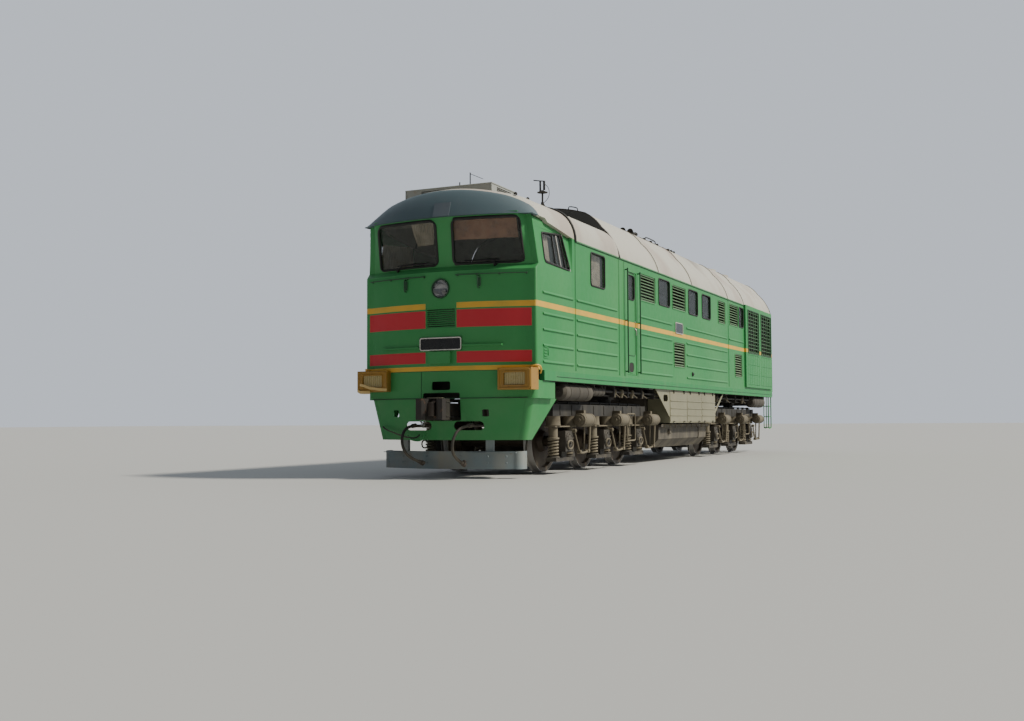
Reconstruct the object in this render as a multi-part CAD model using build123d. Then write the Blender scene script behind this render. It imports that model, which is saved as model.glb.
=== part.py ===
from build123d import *
from math import radians, tan
import os

os.makedirs("parts", exist_ok=True)

# Leading section of a two-section diesel locomotive, in millimetres.
# +Y points to the rear, +X to the loco's left side, +Z up, and Z = 0 is the lowest point of the flanges.
# Stations are measured back from the cab's front corner, heights from the rail top.

# Whole body
BODY_LENGTH = 17000.0
COUPLER_OVERHANG = 575.0
HALF_WIDTH = 1549.0
SEAM = 0.3
RUNNING = 0.3

# Wheelsets and bogies
TREAD_RADIUS = 525.0
FLANGE_HEIGHT = 28.0
FLANGE_WIDTH = 32.0
BACK_TO_BACK = 1440.0
TYRE_WIDTH = 140.0
TYRE_THICKNESS = 75.0
WEB_THICKNESS = 40.0
HUB_RADIUS = 155.0
AXLE_RADIUS = 100.0
AXLE_PITCH = 1850.0
FRONT_BOGIE_STATION = 3700.0
BOGIE_SPACING = BODY_LENGTH - 2 * FRONT_BOGIE_STATION
SPRING_LINE_X = 1170.0
SPRING_OFFSET = 330.0
SPRING_RADIUS = 95.0
SPRING_SEAT_HEIGHT = 250.0
WING_THICKNESS = 60.0
SPRING_TOP_HEIGHT = 590.0
SPRING_CAP_RADIUS = 80.0
CUP_RADIUS = 125.0
CUP_PLATE_HEIGHT = 760.0
CUP_PLATE_THICKNESS = 25.0
CUP_PLATE_HALF_WIDTH = 70.0
CUP_PLATE_LAP = 110.0
BOX_HALF_LENGTH = 150.0
BOX_HALF_HEIGHT = 175.0
BOX_WIDTH = 300.0
BOX_END = 40.0
BOX_FOOT_HALF_WIDTH = 60.0
BOX_FOOT_HALF_LENGTH = 110.0
BORE_LEAD = 10.0
JOURNAL_RADIUS = 90.0
BEAM_WIDTH = 190.0
BEAM_BOTTOM = 950.0
BEAM_TOP = 1150.0
BEAM_OVERHANG = 560.0
TRANSOM_WIDTH = 300.0
TRANSOM_DROP = 20.0
CASTING_HALF_WIDTH = 420.0
END_BEAM_WIDTH = 110.0
CENTRE_PIN_RADIUS = 150.0
BEARER_RADIUS = 130.0
BEARER_X = 930.0
BEARER_OFFSET = 925.0
MOTOR_LENGTH = 880.0
MOTOR_RADIUS = 330.0
MOTOR_SETBACK = 560.0
BRAKE_CYLINDER_RADIUS = 115.0
BRAKE_CYLINDER_LENGTH = 480.0
BRAKE_CYLINDER_SETBACK = 500.0
BRAKE_CYLINDER_HEIGHT = 880.0
BRAKE_CYLINDER_GAP = 5.0
BRAKE_CYLINDER_X = SPRING_LINE_X + CUP_RADIUS + BRAKE_CYLINDER_GAP + BRAKE_CYLINDER_RADIUS
BRAKE_ROD_RADIUS = 35.0
BRAKE_ROD_LENGTH = 160.0
BRAKE_BRACKET_TOP = 1050.0
BRAKE_BRACKET_GAP = 10.0
SHOE_GAP = 10.0
SHOE_THICKNESS = 55.0
SHOE_INNER_X = 768.0
SHOE_WIDTH = 90.0
SHOE_HALF_HEIGHT = 150.0
SHOE_HOLLOW = 25.0
HANGER_THICKNESS = 40.0
HANGER_TOP = 1050.0
MOTOR_NOSE_HALF_WIDTH = 200.0
MOTOR_DROP = 20.0
BOLSTER_HALF_LENGTH = 150.0
BOLSTER_PLATE_HALF_LENGTH = 300.0

# Underframe
SILL_BOTTOM = 1506.0
FLOOR_TOP = 1665.0
FLOOR_THICKNESS = 40.0
SILL_DEPTH = 150.0
CENTRE_SILL_X = 380.0
CENTRE_SILL_WIDTH = 60.0
FRAME_BOTTOM = 1270.0
FRAME_FRONT_STATION = 300.0
BEAM_PLATE = 60.0
END_CROSSING_REACH = 1300.0
JACK_STATIONS = (5700.0, 11700.0)
JACK_PAD_LENGTH = 240.0
JACK_PAD_WIDTH = 130.0
JACK_PAD_THICKNESS = 20.0

# Body walls
WALL = 40.0
EAVE = 3877.0
ROOF_THICKNESS = 50.0
HIGH_ROOF_TOP = 4930.0
LOW_ROOF_TOP = 4620.0
ROOF_STEP_STATION = 3820.0
CAB_JOINT_STATION = 1626.0
RADIATOR_FRONT_STATION = BODY_LENGTH - 3400.0
RADIATOR_REAR_STATION = BODY_LENGTH - 240.0
RADIATOR_PROUD = 50.0
ENGINE_ROOF_END_STATION = RADIATOR_FRONT_STATION + 30.0
RADIATOR_WALL_BOTTOM = 1730.0
RIB_HEIGHTS = (1800.0, 2060.0, 2310.0, 2560.0, 2895.0)
RIB_HALF_HEIGHT = 22.0
RIB_CREST_HALF_HEIGHT = 9.0
RIB_PROUD = 10.0
CAB_RIB_RUN = (250.0, 1520.0)

# Limits of cutting shapes, clear of the body on every side
AHEAD = -900.0
BESIDE = HALF_WIDTH + 450.0
ABOVE = HIGH_ROOF_TOP + 600.0
UNDER_ROOF = EAVE - 800.0

# Cab
NOSE_BOW = 250.0
NOSE_CORNER = 110.0
LEDGE_FRONT_HEIGHT = 3245.0
LEDGE_BACK_HEIGHT = 3330.0
LEDGE_DEPTH = 100.0
BROW_HEIGHT = 4130.0
BROW_LEAN = -120.0
VISOR_REACH = -170.0
ROOF_HOLLOW_STATION = 60.0
ROOF_EDGE_FRONT = 4150.0
ROOF_EDGE_REAR = 3905.0
PILLAR_HALF = 100.0
WINDSHIELD_OUTER_X = 1270.0
WINDSHIELD_BOTTOM = 3360.0
WINDSHIELD_TOP = 4100.0
WINDOW_RADIUS = 70.0
SIDE_WINDOW_RADIUS = 40.0
GLASS = 8.0
GLASS_RECESS = 14.0
HEADLIGHT_HEIGHT = 2975.0
HEADLIGHT_RADIUS = 160.0
HEADLIGHT_DEPTH = 150.0
GRILLE_HALF_WIDTH = 270.0
GRILLE_BOTTOM = 2350.0
GRILLE_TOP = 2680.0
GRILLE_CORNER = 10.0
GRILLE_RECESS = 6.0
GRILLE_BORDER = 18.0
GRILLE_SLATS = 9
GRILLE_SLAT_HEIGHT = 14.0
BUMPER_TOP = 1660.0
BUMPER_BOTTOM = 1225.0
BUMPER_INSET = 30.0
BUMPER_BACK_STATION = 790.0
BUMPER_NOTCH_HEIGHT = 1490.0
SKIRT_BOTTOM = 575.0
SKIRT_TOP_HALF = 1450.0
SKIRT_BOTTOM_HALF = 1310.0
SKIRT_PLATE = 20.0
SKIRT_LEAN = 60.0
SKIRT_SETBACK = 10.0
SKIRT_LOW_BACK = 340.0
SKIRT_TOP_BACK = 1010.0
SKIRT_OPEN_BACK = 1200.0
LAMP_INNER_X = 990.0
LAMP_OUTER_X = 1560.0
LAMP_BOTTOM = 1355.0
LAMP_TOP = 1695.0
LAMP_FACE_STATION = -240.0
POCKET_HALF_WIDTH = 330.0
POCKET_TOP = 1320.0
POCKET_BOTTOM = 880.0
SLOT_BOTTOM = 730.0
SLOT_TOP = 870.0
SLOT_INNER_X = 200.0
SLOT_OUTER_X = 700.0
BEAM_HOLE_HALF_WIDTH = 165.0
BEAM_HOLE_BOTTOM = 1365.0
BEAM_HOLE_TOP = 1500.0
SQUARE_HOLE_XS = (-900.0, 730.0)
SQUARE_HOLE_HEIGHT = 1000.0
SQUARE_HOLE_SIDE = 110.0
HOLE_CORNER = 30.0
PLOUGH_BOTTOM = 120.0
PLOUGH_TOP = 400.0
PLOUGH_HALF_WIDTH = 1240.0
PLOUGH_PLATE = 30.0
PLOUGH_HANGER_X = 700.0
PLOUGH_HANGER_WIDTH = 120.0
PLOUGH_HANGER_INSET = 60.0
PLOUGH_HANGER_LAP = 150.0
PLOUGH_SETBACK = 60.0
PLOUGH_BACK_STATION = 300.0
DESK_HALF_WIDTH = 1350.0
SEAT_INNER_X = 600.0
SEAT_OUTER_X = 1080.0
SEAT_FRONT_STATION = 1300.0
SEAT_REAR_STATION = 1780.0
SEAT_HEIGHT = 2080.0
CUSHION_THICKNESS = 100.0
SEAT_BACK_TOP = 2780.0
PEDESTAL_HALF_WIDTH = 60.0

# Couplers
COUPLER_HEIGHT = 1060.0
COUPLER_HALF_HEIGHT = 165.0
SHANK_HALF_WIDTH = 80.0
SHANK_HALF_HEIGHT = 100.0
COUPLER_PIVOT_BACK = 1000.0
COUPLER_PIN_RADIUS = 45.0
SHANK_PLAY = 20.0
POCKET_PLATE = 50.0
POCKET_HALF_LENGTH = 150.0
CLAW_REACH = 110.0
HEAD_BACK = 250.0
HEAD_HALF_WIDTH = 258.0
NECK_BACK = 430.0
NECK_HALF_HEIGHT = 125.0
NECK_HALF_WIDTH = 185.0

# Brake hoses: side, station and height of each point on the route, from the cock to the free end
HOSE_RADIUS = 23.0
PIPE_BACK_STATION = 420.0
PIPE_HANGER_STATION = 330.0
PIPE_RADIUS = 24.0
HOSE_RIGHT = [
    (-500.0, -275.0, 800.0),
    (-505.0, -425.0, 785.0),
    (-514.0, -548.0, 700.0),
    (-508.0, -605.0, 560.0),
    (-472.0, -588.0, 412.0),
    (-410.0, -500.0, 300.0),
    (-328.0, -385.0, 245.0),
]
HOSE_LEFT = [
    (500.0, -275.0, 800.0),
    (470.0, -425.0, 785.0),
    (428.0, -548.0, 702.0),
    (396.0, -605.0, 566.0),
    (382.0, -590.0, 418.0),
    (392.0, -504.0, 302.0),
    (428.0, -392.0, 238.0),
]

# Doors
DOOR_FRONT_STATION = 4260.0
DOOR_REAR_STATION = 4800.0
DOOR_BOTTOM = 1730.0
DOOR_TOP = 3700.0
DOOR_THICKNESS = 30.0
DOOR_WINDOW_FRONT_STATION = DOOR_FRONT_STATION + 70.0
DOOR_WINDOW_REAR_STATION = DOOR_REAR_STATION - 100.0
DOOR_WINDOW_BOTTOM = 3170.0
DOOR_WINDOW_TOP = 3640.0
DOOR_WINDOW_RADIUS = 40.0
RAIL_STANDOFF = 55.0
RAIL_RADIUS = 14.0
RAIL_BOTTOM = 1760.0
RAIL_TOP = 3740.0
DOOR_GAP = 6.0
HINGE_RADIUS = 14.0
HINGE_PIN_RADIUS = 8.0
HINGE_INSET = 30.0
HINGE_AXIS_BACK = 10.0
HINGE_LENGTH = 90.0
GANGWAY_HALF_WIDTH = 330.0
GANGWAY_TOP = 3600.0
GANGWAY_CORNER = 20.0
GANGWAY_WINDOW_HALF_WIDTH = 170.0
GANGWAY_WINDOW_BOTTOM = 2900.0
GANGWAY_WINDOW_TOP = 3400.0
REAR_WALL_STATION = BODY_LENGTH - 50.0

# Underfloor boxes
BATTERY_FRONT_STATION = 7070.0
BATTERY_REAR_STATION = BODY_LENGTH - 6280.0
BATTERY_BOTTOM = 810.0
BATTERY_OUTER_X = 1500.0
BATTERY_INNER_X = 1010.0
BRACKET_INSET = 15.0
BRACKET_PLATE = 12.0
BRACKET_LENGTH = 960.0
BRACKET_BOTTOM = 940.0
BRACE_BOTTOM = 1000.0
BRACE_DEPTH = 90.0
BRACE_LENGTH = 850.0
TANK_FRONT_STATION = 6900.0
TANK_REAR_STATION = BODY_LENGTH - 6400.0
TANK_BOTTOM = 290.0
TANK_LIP = 745.0
TANK_HALF_WIDTH = 1300.0
RESERVOIR_X = 1360.0
RESERVOIR_STRAP_HALF_WIDTH = 60.0
RESERVOIR_STRAP_HALF_LENGTH = 15.0

# Roof fittings
FAN_RADIUS = 560.0
FAN_STATIONS = (RADIATOR_FRONT_STATION + 760.0, RADIATOR_FRONT_STATION + 2120.0)
FAN_BLADES = 8
FAN_HUB_RADIUS = 150.0
FAN_HUB_FOOT = 120.0
FAN_HUB_HEIGHT = 90.0
FAN_HUB_GAP = 10.0
FAN_SHAFT_RADIUS = 40.0
FAN_SHAFT_LENGTH = 70.0
BLADE_ROOT = 8.0
BLADE_PITCH = 28.0
BLADE_WIDTH = 150.0
BLADE_THICKNESS = 10.0
MOTOR_BAR = 50.0
MOTOR_BAR_WIDTH = 80.0
FAN_CLEARANCE = 15.0
COWL_RISE = 55.0
COWL_WALL = 20.0
COWL_DEPTH = 260.0
COWL_FLOOR = HIGH_ROOF_TOP + COWL_RISE - COWL_DEPTH
COWL_RADIUS = FAN_RADIUS + FAN_CLEARANCE + COWL_WALL
STACK_RISE = 145.0
STACK_FOOT = 130.0
STACK_HALF_WIDTH = 330.0
STACK_MOUTH_HALF_WIDTH = 250.0
STACK_MOUTH_DEPTH = 60.0
HORN_STATION = 6300.0
HORN_LENGTH = 600.0
HORN_XS = (620.0, 860.0)
HORN_MOUTH_RADIUS = 110.0
HORN_THROAT_RADIUS = 25.0
HORN_RISE = 60.0
HORN_POST_BACK = 400.0
UNIT_RIGHT_X = -1000.0
UNIT_LEFT_X = 600.0
UNIT_FRONT_STATION = 380.0
UNIT_REAR_STATION = 1250.0
UNIT_FOOT = 170.0
UNIT_RISE = 130.0
ENGINE_HALF_WIDTH = 700.0
ENGINE_TOP = 3750.0

HALF_BODY = BODY_LENGTH / 2
HALF_COUPLED = HALF_BODY + COUPLER_OVERHANG
BOGIE_STATIONS = (FRONT_BOGIE_STATION, FRONT_BOGIE_STATION + BOGIE_SPACING)
AXLE_OFFSETS = (-AXLE_PITCH, 0.0, AXLE_PITCH)

# Pieces on the nose: first and last X, bottom and top height, and how far each stands out
NOSE_PIECES = [
    ("number plate pad", -375.0, 375.0, 1985.0, 2205.0, 25.0),
    ("socket box", -190.0, 190.0, 1780.0, 1970.0, 60.0),
    ("right foot ledge", -1140.0, -390.0, 2030.0, 2055.0, 45.0),
    ("left foot ledge", 390.0, 1030.0, 2050.0, 2075.0, 45.0),
]
# Air reservoirs: front station, length, radius, and how far the middle hangs below the sill
RESERVOIRS = [
    ("front", 1290.0, 1300.0, 145.0, 157.0),
    ("small", 2700.0, 650.0, 80.0, 120.0),
    ("rear", BODY_LENGTH - 2100.0, 1300.0, 145.0, 157.0),
]
# Aerial masts on the cab roof: X, station, height over the ridge
MASTS = [
    ("radio", 1000.0, 1500.0, 280.0),
    ("loudspeaker", -600.0, 1900.0, 360.0),
]


STANDING = (Align.CENTER, Align.CENTER, Align.MIN)
HANGING = (Align.CENTER, Align.CENTER, Align.MAX)


def at(station):
    """Y of a station behind the cab's front corner."""
    return station - HALF_BODY


def up(height):
    """Z of a height above the rail top."""
    return height + FLANGE_HEIGHT


def block(x0, x1, s0, s1, h0, h1):
    """Box between two X values, two stations and two heights."""
    corner = Pos((x0 + x1) / 2, (at(s0) + at(s1)) / 2, (up(h0) + up(h1)) / 2)
    return corner * Box(x1 - x0, s1 - s0, h1 - h0)


def pair(shape):
    """A shape and its mirror on the other side of the centre line."""
    return [shape, mirror(shape, about=Plane.YZ)]


def rod(start, end, radius):
    """Round bar between two points."""
    path = Vector(*end) - Vector(*start)
    return Plane(origin=start, z_dir=path) * Cylinder(
        radius, path.length, align=STANDING
    )


def side_prism(points, x0, x1):
    """Outline of (station, height) points, extruded from x0 to x1."""
    face = make_face(Polyline([(x0, at(s), up(h)) for s, h in points], close=True))
    return extrude(face, x1 - x0, dir=(1, 0, 0))


def section(outline, s0, s1):
    """Face of an (x, z) outline in the XZ plane, extruded between two stations."""
    return extrude(Pos(0, at(s0), 0) * make_face(outline), s1 - s0, dir=(0, 1, 0))


def window_prism(s0, s1, h0, h1, x0, x1, radius=WINDOW_RADIUS):
    """Window opening with rounded corners, cut through a side wall."""
    face = Plane(
        origin=(x0, (at(s0) + at(s1)) / 2, (up(h0) + up(h1)) / 2), x_dir=(0, 1, 0), z_dir=(1, 0, 0)
    ) * RectangleRounded(s1 - s0, h1 - h0, radius)
    return extrude(face, x1 - x0, dir=(1, 0, 0))


def front_prism(x0, x1, h0, h1, s0, s1, radius=WINDOW_RADIUS):
    """Opening with rounded corners, cut through the nose or an end wall."""
    face = Plane(
        origin=((x0 + x1) / 2, at(s0), (up(h0) + up(h1)) / 2), x_dir=(1, 0, 0), z_dir=(0, -1, 0)
    ) * RectangleRounded(x1 - x0, h1 - h0, radius)
    return extrude(face, s1 - s0, dir=(0, 1, 0))


# Bends of the two roofs, as shares of the half width and of the rise from the eaves to the ridge
HIGH_ROOF_BENDS = [((0.917, 0.321), (0.762, 0.601)), ((0.676, 0.751), (0.568, 0.867))]
LOW_ROOF_BENDS = [((0.944, 0.408), (0.826, 0.623))]


def high_section(inset, low):
    """Body outline under the high roof, from the height low to the ridge."""
    return roof_outline(HALF_WIDTH - inset, low, HIGH_ROOF_BENDS, HIGH_ROOF_TOP - inset)


def low_section(inset, low):
    """Body outline under the low cab roof, from the height low to the ridge."""
    return roof_outline(HALF_WIDTH - inset, low, LOW_ROOF_BENDS, LOW_ROOF_TOP - inset)


def roof_outline(side, low, bends, ridge):
    """Closed outline with straight sides and the roof's arcs, mirrored about the centre line."""
    edges = []
    point = (side, up(EAVE))
    for shares in bends:
        middle, end = [(side * across, up(EAVE + (ridge - EAVE) * rise)) for across, rise in shares]
        for hand in (1, -1):
            edges.append(ThreePointArc(*[(hand * x, 0, z) for x, z in (point, middle, end)]))
        point = end
    edges.append(ThreePointArc((point[0], 0, point[1]), (0, 0, up(ridge)), (-point[0], 0, point[1])))
    foot = Polyline((side, 0, up(EAVE)), (side, 0, up(low)), (-side, 0, up(low)), (-side, 0, up(EAVE)))
    return edges + [foot]


def nose_plan(front, half, back, height, bow=NOSE_BOW, corner=NOSE_CORNER):
    """Plan of the bowed nose at one height: front station at the corners, half width, back station."""
    z = up(height)
    y = at(front)
    turn = corner * 0.29
    side = y + corner
    return make_face(
        [
            ThreePointArc((half - corner, y, z), (0, y - bow, z), (corner - half, y, z)),
            ThreePointArc((half - corner, y, z), (half - turn, y + turn, z), (half, side, z)),
            ThreePointArc((corner - half, y, z), (turn - half, y + turn, z), (-half, side, z)),
            Polyline((half, side, z), (half, at(back), z), (-half, at(back), z), (-half, side, z)),
        ]
    )


def cab_body(inset, back, low):
    """Nose, ledge and raked windshield zone of the cab as one solid, inset all round."""
    half = HALF_WIDTH - inset
    levels = [
        (low, inset),
        (LEDGE_FRONT_HEIGHT - inset * 0.3, inset),
        (LEDGE_BACK_HEIGHT - inset * 0.3, LEDGE_DEPTH + inset),
        (BROW_HEIGHT + 40.0, BROW_LEAN + inset),
    ]
    faces = [nose_plan(front, half, back, height) for height, front in levels]
    body = extrude(faces[0], levels[1][0] - low, dir=(0, 0, 1))
    body += loft([faces[1], faces[2]], ruled=True)
    body += loft([faces[2], faces[3]], ruled=True)
    return body


def save(shape, name):
    """Write one node, from one shape or a list of separate solids."""
    solids = shape if isinstance(shape, list) else [shape]
    if len(solids) == 1:
        export_step(solids[0], f"parts/{name}.step")
    else:
        export_step(Compound(children=[s for item in solids for s in item.solids()]), f"parts/{name}.step")


# Length of the engine room between the door and the radiators, from which the openings' places were taken
ENGINE_ROOM_BUILT = 8800.0


def along(station):
    """Station beside the engine room, moved in proportion when that room is longer or shorter."""
    room = RADIATOR_FRONT_STATION - DOOR_REAR_STATION
    return DOOR_REAR_STATION + (station - DOOR_REAR_STATION) * room / ENGINE_ROOM_BUILT


# Side openings: name, first and last station, bottom and top height
GLAZED_WINDOWS = [
    ("rear of cab", 2350.0, 3050.0, 3220.0, 3800.0),
    ("engine room one", along(6220.0), along(6980.0), 3240.0, 3780.0),
    ("engine room two", along(8390.0), along(9130.0), 3230.0, 3780.0),
    ("engine room three", along(9500.0), along(10230.0), 3230.0, 3780.0),
    ("engine room four", along(13050.0), along(13510.0), 3275.0, 3790.0),
]
LOUVRES = [
    ("front filter", along(5030.0), along(5990.0), 3210.0, 3750.0),
    ("second filter", along(7160.0), along(8170.0), 3235.0, 3760.0),
    ("third filter", along(10950.0), along(11630.0), 3220.0, 3780.0),
    ("rear filter", along(12060.0), along(12970.0), 3250.0, 3800.0),
    ("lower front", along(7250.0), along(8070.0), 2000.0, 2540.0),
    ("lower rear", along(12560.0), along(13310.0), 1960.0, 2560.0),
]
# Roof hatches: first and last station, half width and rise over the roof's skin
ROOF_HATCHES = [
    ("dome", ROOF_STEP_STATION + 330.0, along(5950.0), 620.0, 35.0),
    ("engine front", along(7050.0), along(8400.0), 900.0, 12.0),
    ("engine rear", along(8900.0), along(9550.0), 900.0, 12.0),
    ("hump", along(12200.0), along(13350.0), 700.0, 40.0),
]
# Pressed ribs of the side sheet: first and last station of each run, and of the upper rib's last run
RIB_RUNS = [(1690.0, 3680.0), (along(5000.0), along(7120.0)), (along(8220.0), along(11780.0))]
UPPER_RIB_RUN = (along(12000.0), along(13500.0))
SLAT_PITCH = 60.0
SLAT_THICKNESS = 8.0
SHUTTER_BAYS = [
    (RADIATOR_FRONT_STATION + start, RADIATOR_FRONT_STATION + start + 1300.0) for start in (220.0, 1760.0)
]
SHUTTER_BOTTOM = 2640.0
SHUTTER_TOP = 3790.0
SHUTTER_SLATS = 12
CORE_INNER_X = 1330.0
CORE_OUTER_X = 1500.0
CORE_LAP = 60.0
PANEL_BOTTOM = 1800.0
PANEL_TOP = 2590.0
PANEL_COLUMNS = 6
PANEL_ROWS = 3
GROOVE_DEPTH = 8.0
GROOVE_HALF_WIDTH = 6.0


def underframe():
    """Floor, sills, cross members and the couplers' pockets, as members that meet at their seams."""
    tail = BODY_LENGTH - BEAM_PLATE
    floor = FLOOR_TOP - FLOOR_THICKNESS
    top = floor - SEAM
    spine = CENTRE_SILL_X + CENTRE_SILL_WIDTH
    members = [block(-HALF_WIDTH, HALF_WIDTH, FRAME_FRONT_STATION, tail, floor, FLOOR_TOP)]
    members += pair(block(HALF_WIDTH - SILL_DEPTH, HALF_WIDTH, FRAME_FRONT_STATION, tail, SILL_BOTTOM, top))
    members += pair(block(CENTRE_SILL_X, spine, FRAME_FRONT_STATION, tail, FRAME_BOTTOM, top))
    crossings = [
        (FRAME_FRONT_STATION, FRAME_FRONT_STATION + BEAM_PLATE * 3, END_CROSSING_REACH),
        (BODY_LENGTH - BEAM_PLATE * 3, tail, END_CROSSING_REACH),
    ]
    for centre in BOGIE_STATIONS:
        members.append(
            block(
                SEAM - CENTRE_SILL_X,
                CENTRE_SILL_X - SEAM,
                centre - BOLSTER_PLATE_HALF_LENGTH,
                centre + BOLSTER_PLATE_HALF_LENGTH,
                FRAME_BOTTOM,
                FRAME_BOTTOM + BEAM_PLATE,
            )
        )
        for offset in (-BEARER_OFFSET, BEARER_OFFSET):
            middle = centre + offset
            crossings.append(
                (middle - BOLSTER_HALF_LENGTH, middle + BOLSTER_HALF_LENGTH, BEARER_X + BEARER_RADIUS + 10.0)
            )
    for front, back, reach in crossings:
        members.append(block(SEAM - CENTRE_SILL_X, CENTRE_SILL_X - SEAM, front, back, FRAME_BOTTOM, top))
        members += pair(block(spine + SEAM, reach, front, back, FRAME_BOTTOM, top))
    for station in JACK_STATIONS:
        middle = HALF_WIDTH - SILL_DEPTH / 2
        members += pair(
            block(
                middle - JACK_PAD_WIDTH / 2,
                middle + JACK_PAD_WIDTH / 2,
                station - JACK_PAD_LENGTH / 2,
                station + JACK_PAD_LENGTH / 2,
                SILL_BOTTOM - SEAM - JACK_PAD_THICKNESS,
                SILL_BOTTOM - SEAM,
            )
        )
    for end in (-1, 1):
        members += coupler_pocket(end * (HALF_COUPLED - COUPLER_PIVOT_BACK))
    return members


def coupler_pocket(pivot):
    """Plates above and below a coupler's shank, the pin between them and the cheeks that carry them."""
    roof = COUPLER_HEIGHT + SHANK_HALF_HEIGHT + SHANK_PLAY
    floor = COUPLER_HEIGHT - SHANK_HALF_HEIGHT - SHANK_PLAY
    length = 2 * POCKET_HALF_LENGTH
    width = (CENTRE_SILL_X - SEAM) * 2
    parts = []
    for low, high in ((roof, roof + POCKET_PLATE), (floor - POCKET_PLATE, floor)):
        parts.append(Pos(0, pivot, up((low + high) / 2)) * Box(width, length, high - low))
    parts.append(Pos(0, pivot, up(COUPLER_HEIGHT)) * Cylinder(COUPLER_PIN_RADIUS, roof - floor - 2 * SEAM))
    foot = floor - POCKET_PLATE
    cheek = Box(CENTRE_SILL_WIDTH, length, FRAME_BOTTOM - SEAM - foot)
    middle = CENTRE_SILL_X + CENTRE_SILL_WIDTH / 2
    return parts + pair(Pos(middle, pivot, up((FRAME_BOTTOM - SEAM + foot) / 2)) * cheek)


def centre_pins():
    """Pins under the two bolsters, on which the bogies swivel."""
    pin = Cylinder(CENTRE_PIN_RADIUS, FRAME_BOTTOM - SEAM - BEAM_BOTTOM, align=STANDING)
    return [Pos(0, at(centre), up(BEAM_BOTTOM)) * pin for centre in BOGIE_STATIONS]


def side_ribs(heights, runs):
    """Long ridges pressed out of the left side, flat on top with sloping edges, at each height and run."""
    ribs = []
    for height in heights:
        profile = [
            (HALF_WIDTH - WALL / 2, height - RIB_HALF_HEIGHT),
            (HALF_WIDTH, height - RIB_HALF_HEIGHT),
            (HALF_WIDTH + RIB_PROUD, height - RIB_CREST_HALF_HEIGHT),
            (HALF_WIDTH + RIB_PROUD, height + RIB_CREST_HALF_HEIGHT),
            (HALF_WIDTH, height + RIB_HALF_HEIGHT),
            (HALF_WIDTH - WALL / 2, height + RIB_HALF_HEIGHT),
        ]
        outline = Polyline([(x, 0, up(h)) for x, h in profile], close=True)
        ribs += [section(outline, s0, s1) for s0, s1 in runs]
    return ribs


def grille_opening(gap):
    """Opening of the nose grille, made smaller by a gap all round."""
    half = GRILLE_HALF_WIDTH - gap
    return front_prism(-half, half, GRILLE_BOTTOM + gap, GRILLE_TOP - gap, AHEAD, 0.0, GRILLE_CORNER)


def cab_shell():
    """Nose and cab sides as one welded shell, its ribs pressed and its window, grille and lamp holes cut."""
    back = CAB_JOINT_STATION + WALL
    shell = cab_body(0.0, CAB_JOINT_STATION, FLOOR_TOP)
    shell &= section(low_section(0.0, SILL_BOTTOM), AHEAD, CAB_JOINT_STATION)
    shell -= cab_body(WALL, back, FLOOR_TOP - WALL)
    roof_line = [(AHEAD, ROOF_EDGE_FRONT), (0.0, ROOF_EDGE_FRONT), (CAB_JOINT_STATION, ROOF_EDGE_REAR)]
    shell -= side_prism(roof_line + [(back, ROOF_EDGE_REAR), (back, ABOVE), (AHEAD, ABOVE)], -BESIDE, BESIDE)
    side_window = side_prism(cab_window_outline(0.0), HALF_WIDTH - 2 * WALL, BESIDE)
    for opening in pair(windshield_opening()) + pair(side_window):
        shell -= opening
    shell -= Pos(0, at(0.0), up(HEADLIGHT_HEIGHT)) * Rot(90, 0, 0) * Cylinder(HEADLIGHT_RADIUS, -AHEAD)
    shell -= grille_opening(0.0)
    return shell + [side for rib in side_ribs(RIB_HEIGHTS, [CAB_RIB_RUN]) for side in pair(rib)]


def nose_fittings():
    """Slatted grille in the nose's opening, and the pad, box and foot ledges that follow the nose's bow."""
    grille = cab_body(GRILLE_RECESS, CAB_JOINT_STATION, FLOOR_TOP)
    grille -= cab_body(WALL - GRILLE_RECESS, CAB_JOINT_STATION + WALL, FLOOR_TOP - WALL)
    grille &= grille_opening(SEAM)
    reach = GRILLE_HALF_WIDTH - GRILLE_BORDER
    first = GRILLE_BOTTOM + GRILLE_BORDER
    pitch = (GRILLE_TOP - GRILLE_BORDER - first) / GRILLE_SLATS
    for step in range(GRILLE_SLATS):
        low = first + pitch * step
        grille -= block(-reach, reach, AHEAD, 0.0, low, low + pitch - GRILLE_SLAT_HEIGHT)
    nose = cab_body(-SEAM, CAB_JOINT_STATION, FLOOR_TOP)
    fittings = [grille]
    for name, x0, x1, low, high, proud in NOSE_PIECES:
        piece = cab_body(-proud, CAB_JOINT_STATION, FLOOR_TOP) & block(x0, x1, AHEAD, 0.0, low, high)
        fittings.append(piece - nose)
    return fittings


def cab_window_outline(inset):
    """Leaning cab side window, as stations and heights."""
    return [
        (225.0 + inset, 3830.0 - inset),
        (320.0 + inset, 3365.0 + inset),
        (1370.0 - inset, 3365.0 + inset),
        (1240.0 - inset, 3830.0 - inset),
    ]


def windshield_opening():
    """Opening of the left windshield, cut straight back through the raked front."""
    return front_prism(
        PILLAR_HALF, WINDSHIELD_OUTER_X, WINDSHIELD_BOTTOM, WINDSHIELD_TOP, -600.0, 400.0, WINDOW_RADIUS
    )


def windshields():
    """Two panes that follow the raked and bowed front inside their openings."""
    pane = cab_body(GLASS_RECESS, CAB_JOINT_STATION, FLOOR_TOP)
    pane -= cab_body(GLASS_RECESS + GLASS, CAB_JOINT_STATION + 50.0, FLOOR_TOP - 50.0)
    left = pane & front_prism(
        PILLAR_HALF + SEAM,
        WINDSHIELD_OUTER_X - SEAM,
        WINDSHIELD_BOTTOM + SEAM,
        WINDSHIELD_TOP - SEAM,
        -600.0,
        200.0,
        WINDOW_RADIUS,
    )
    return pair(left)


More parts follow.
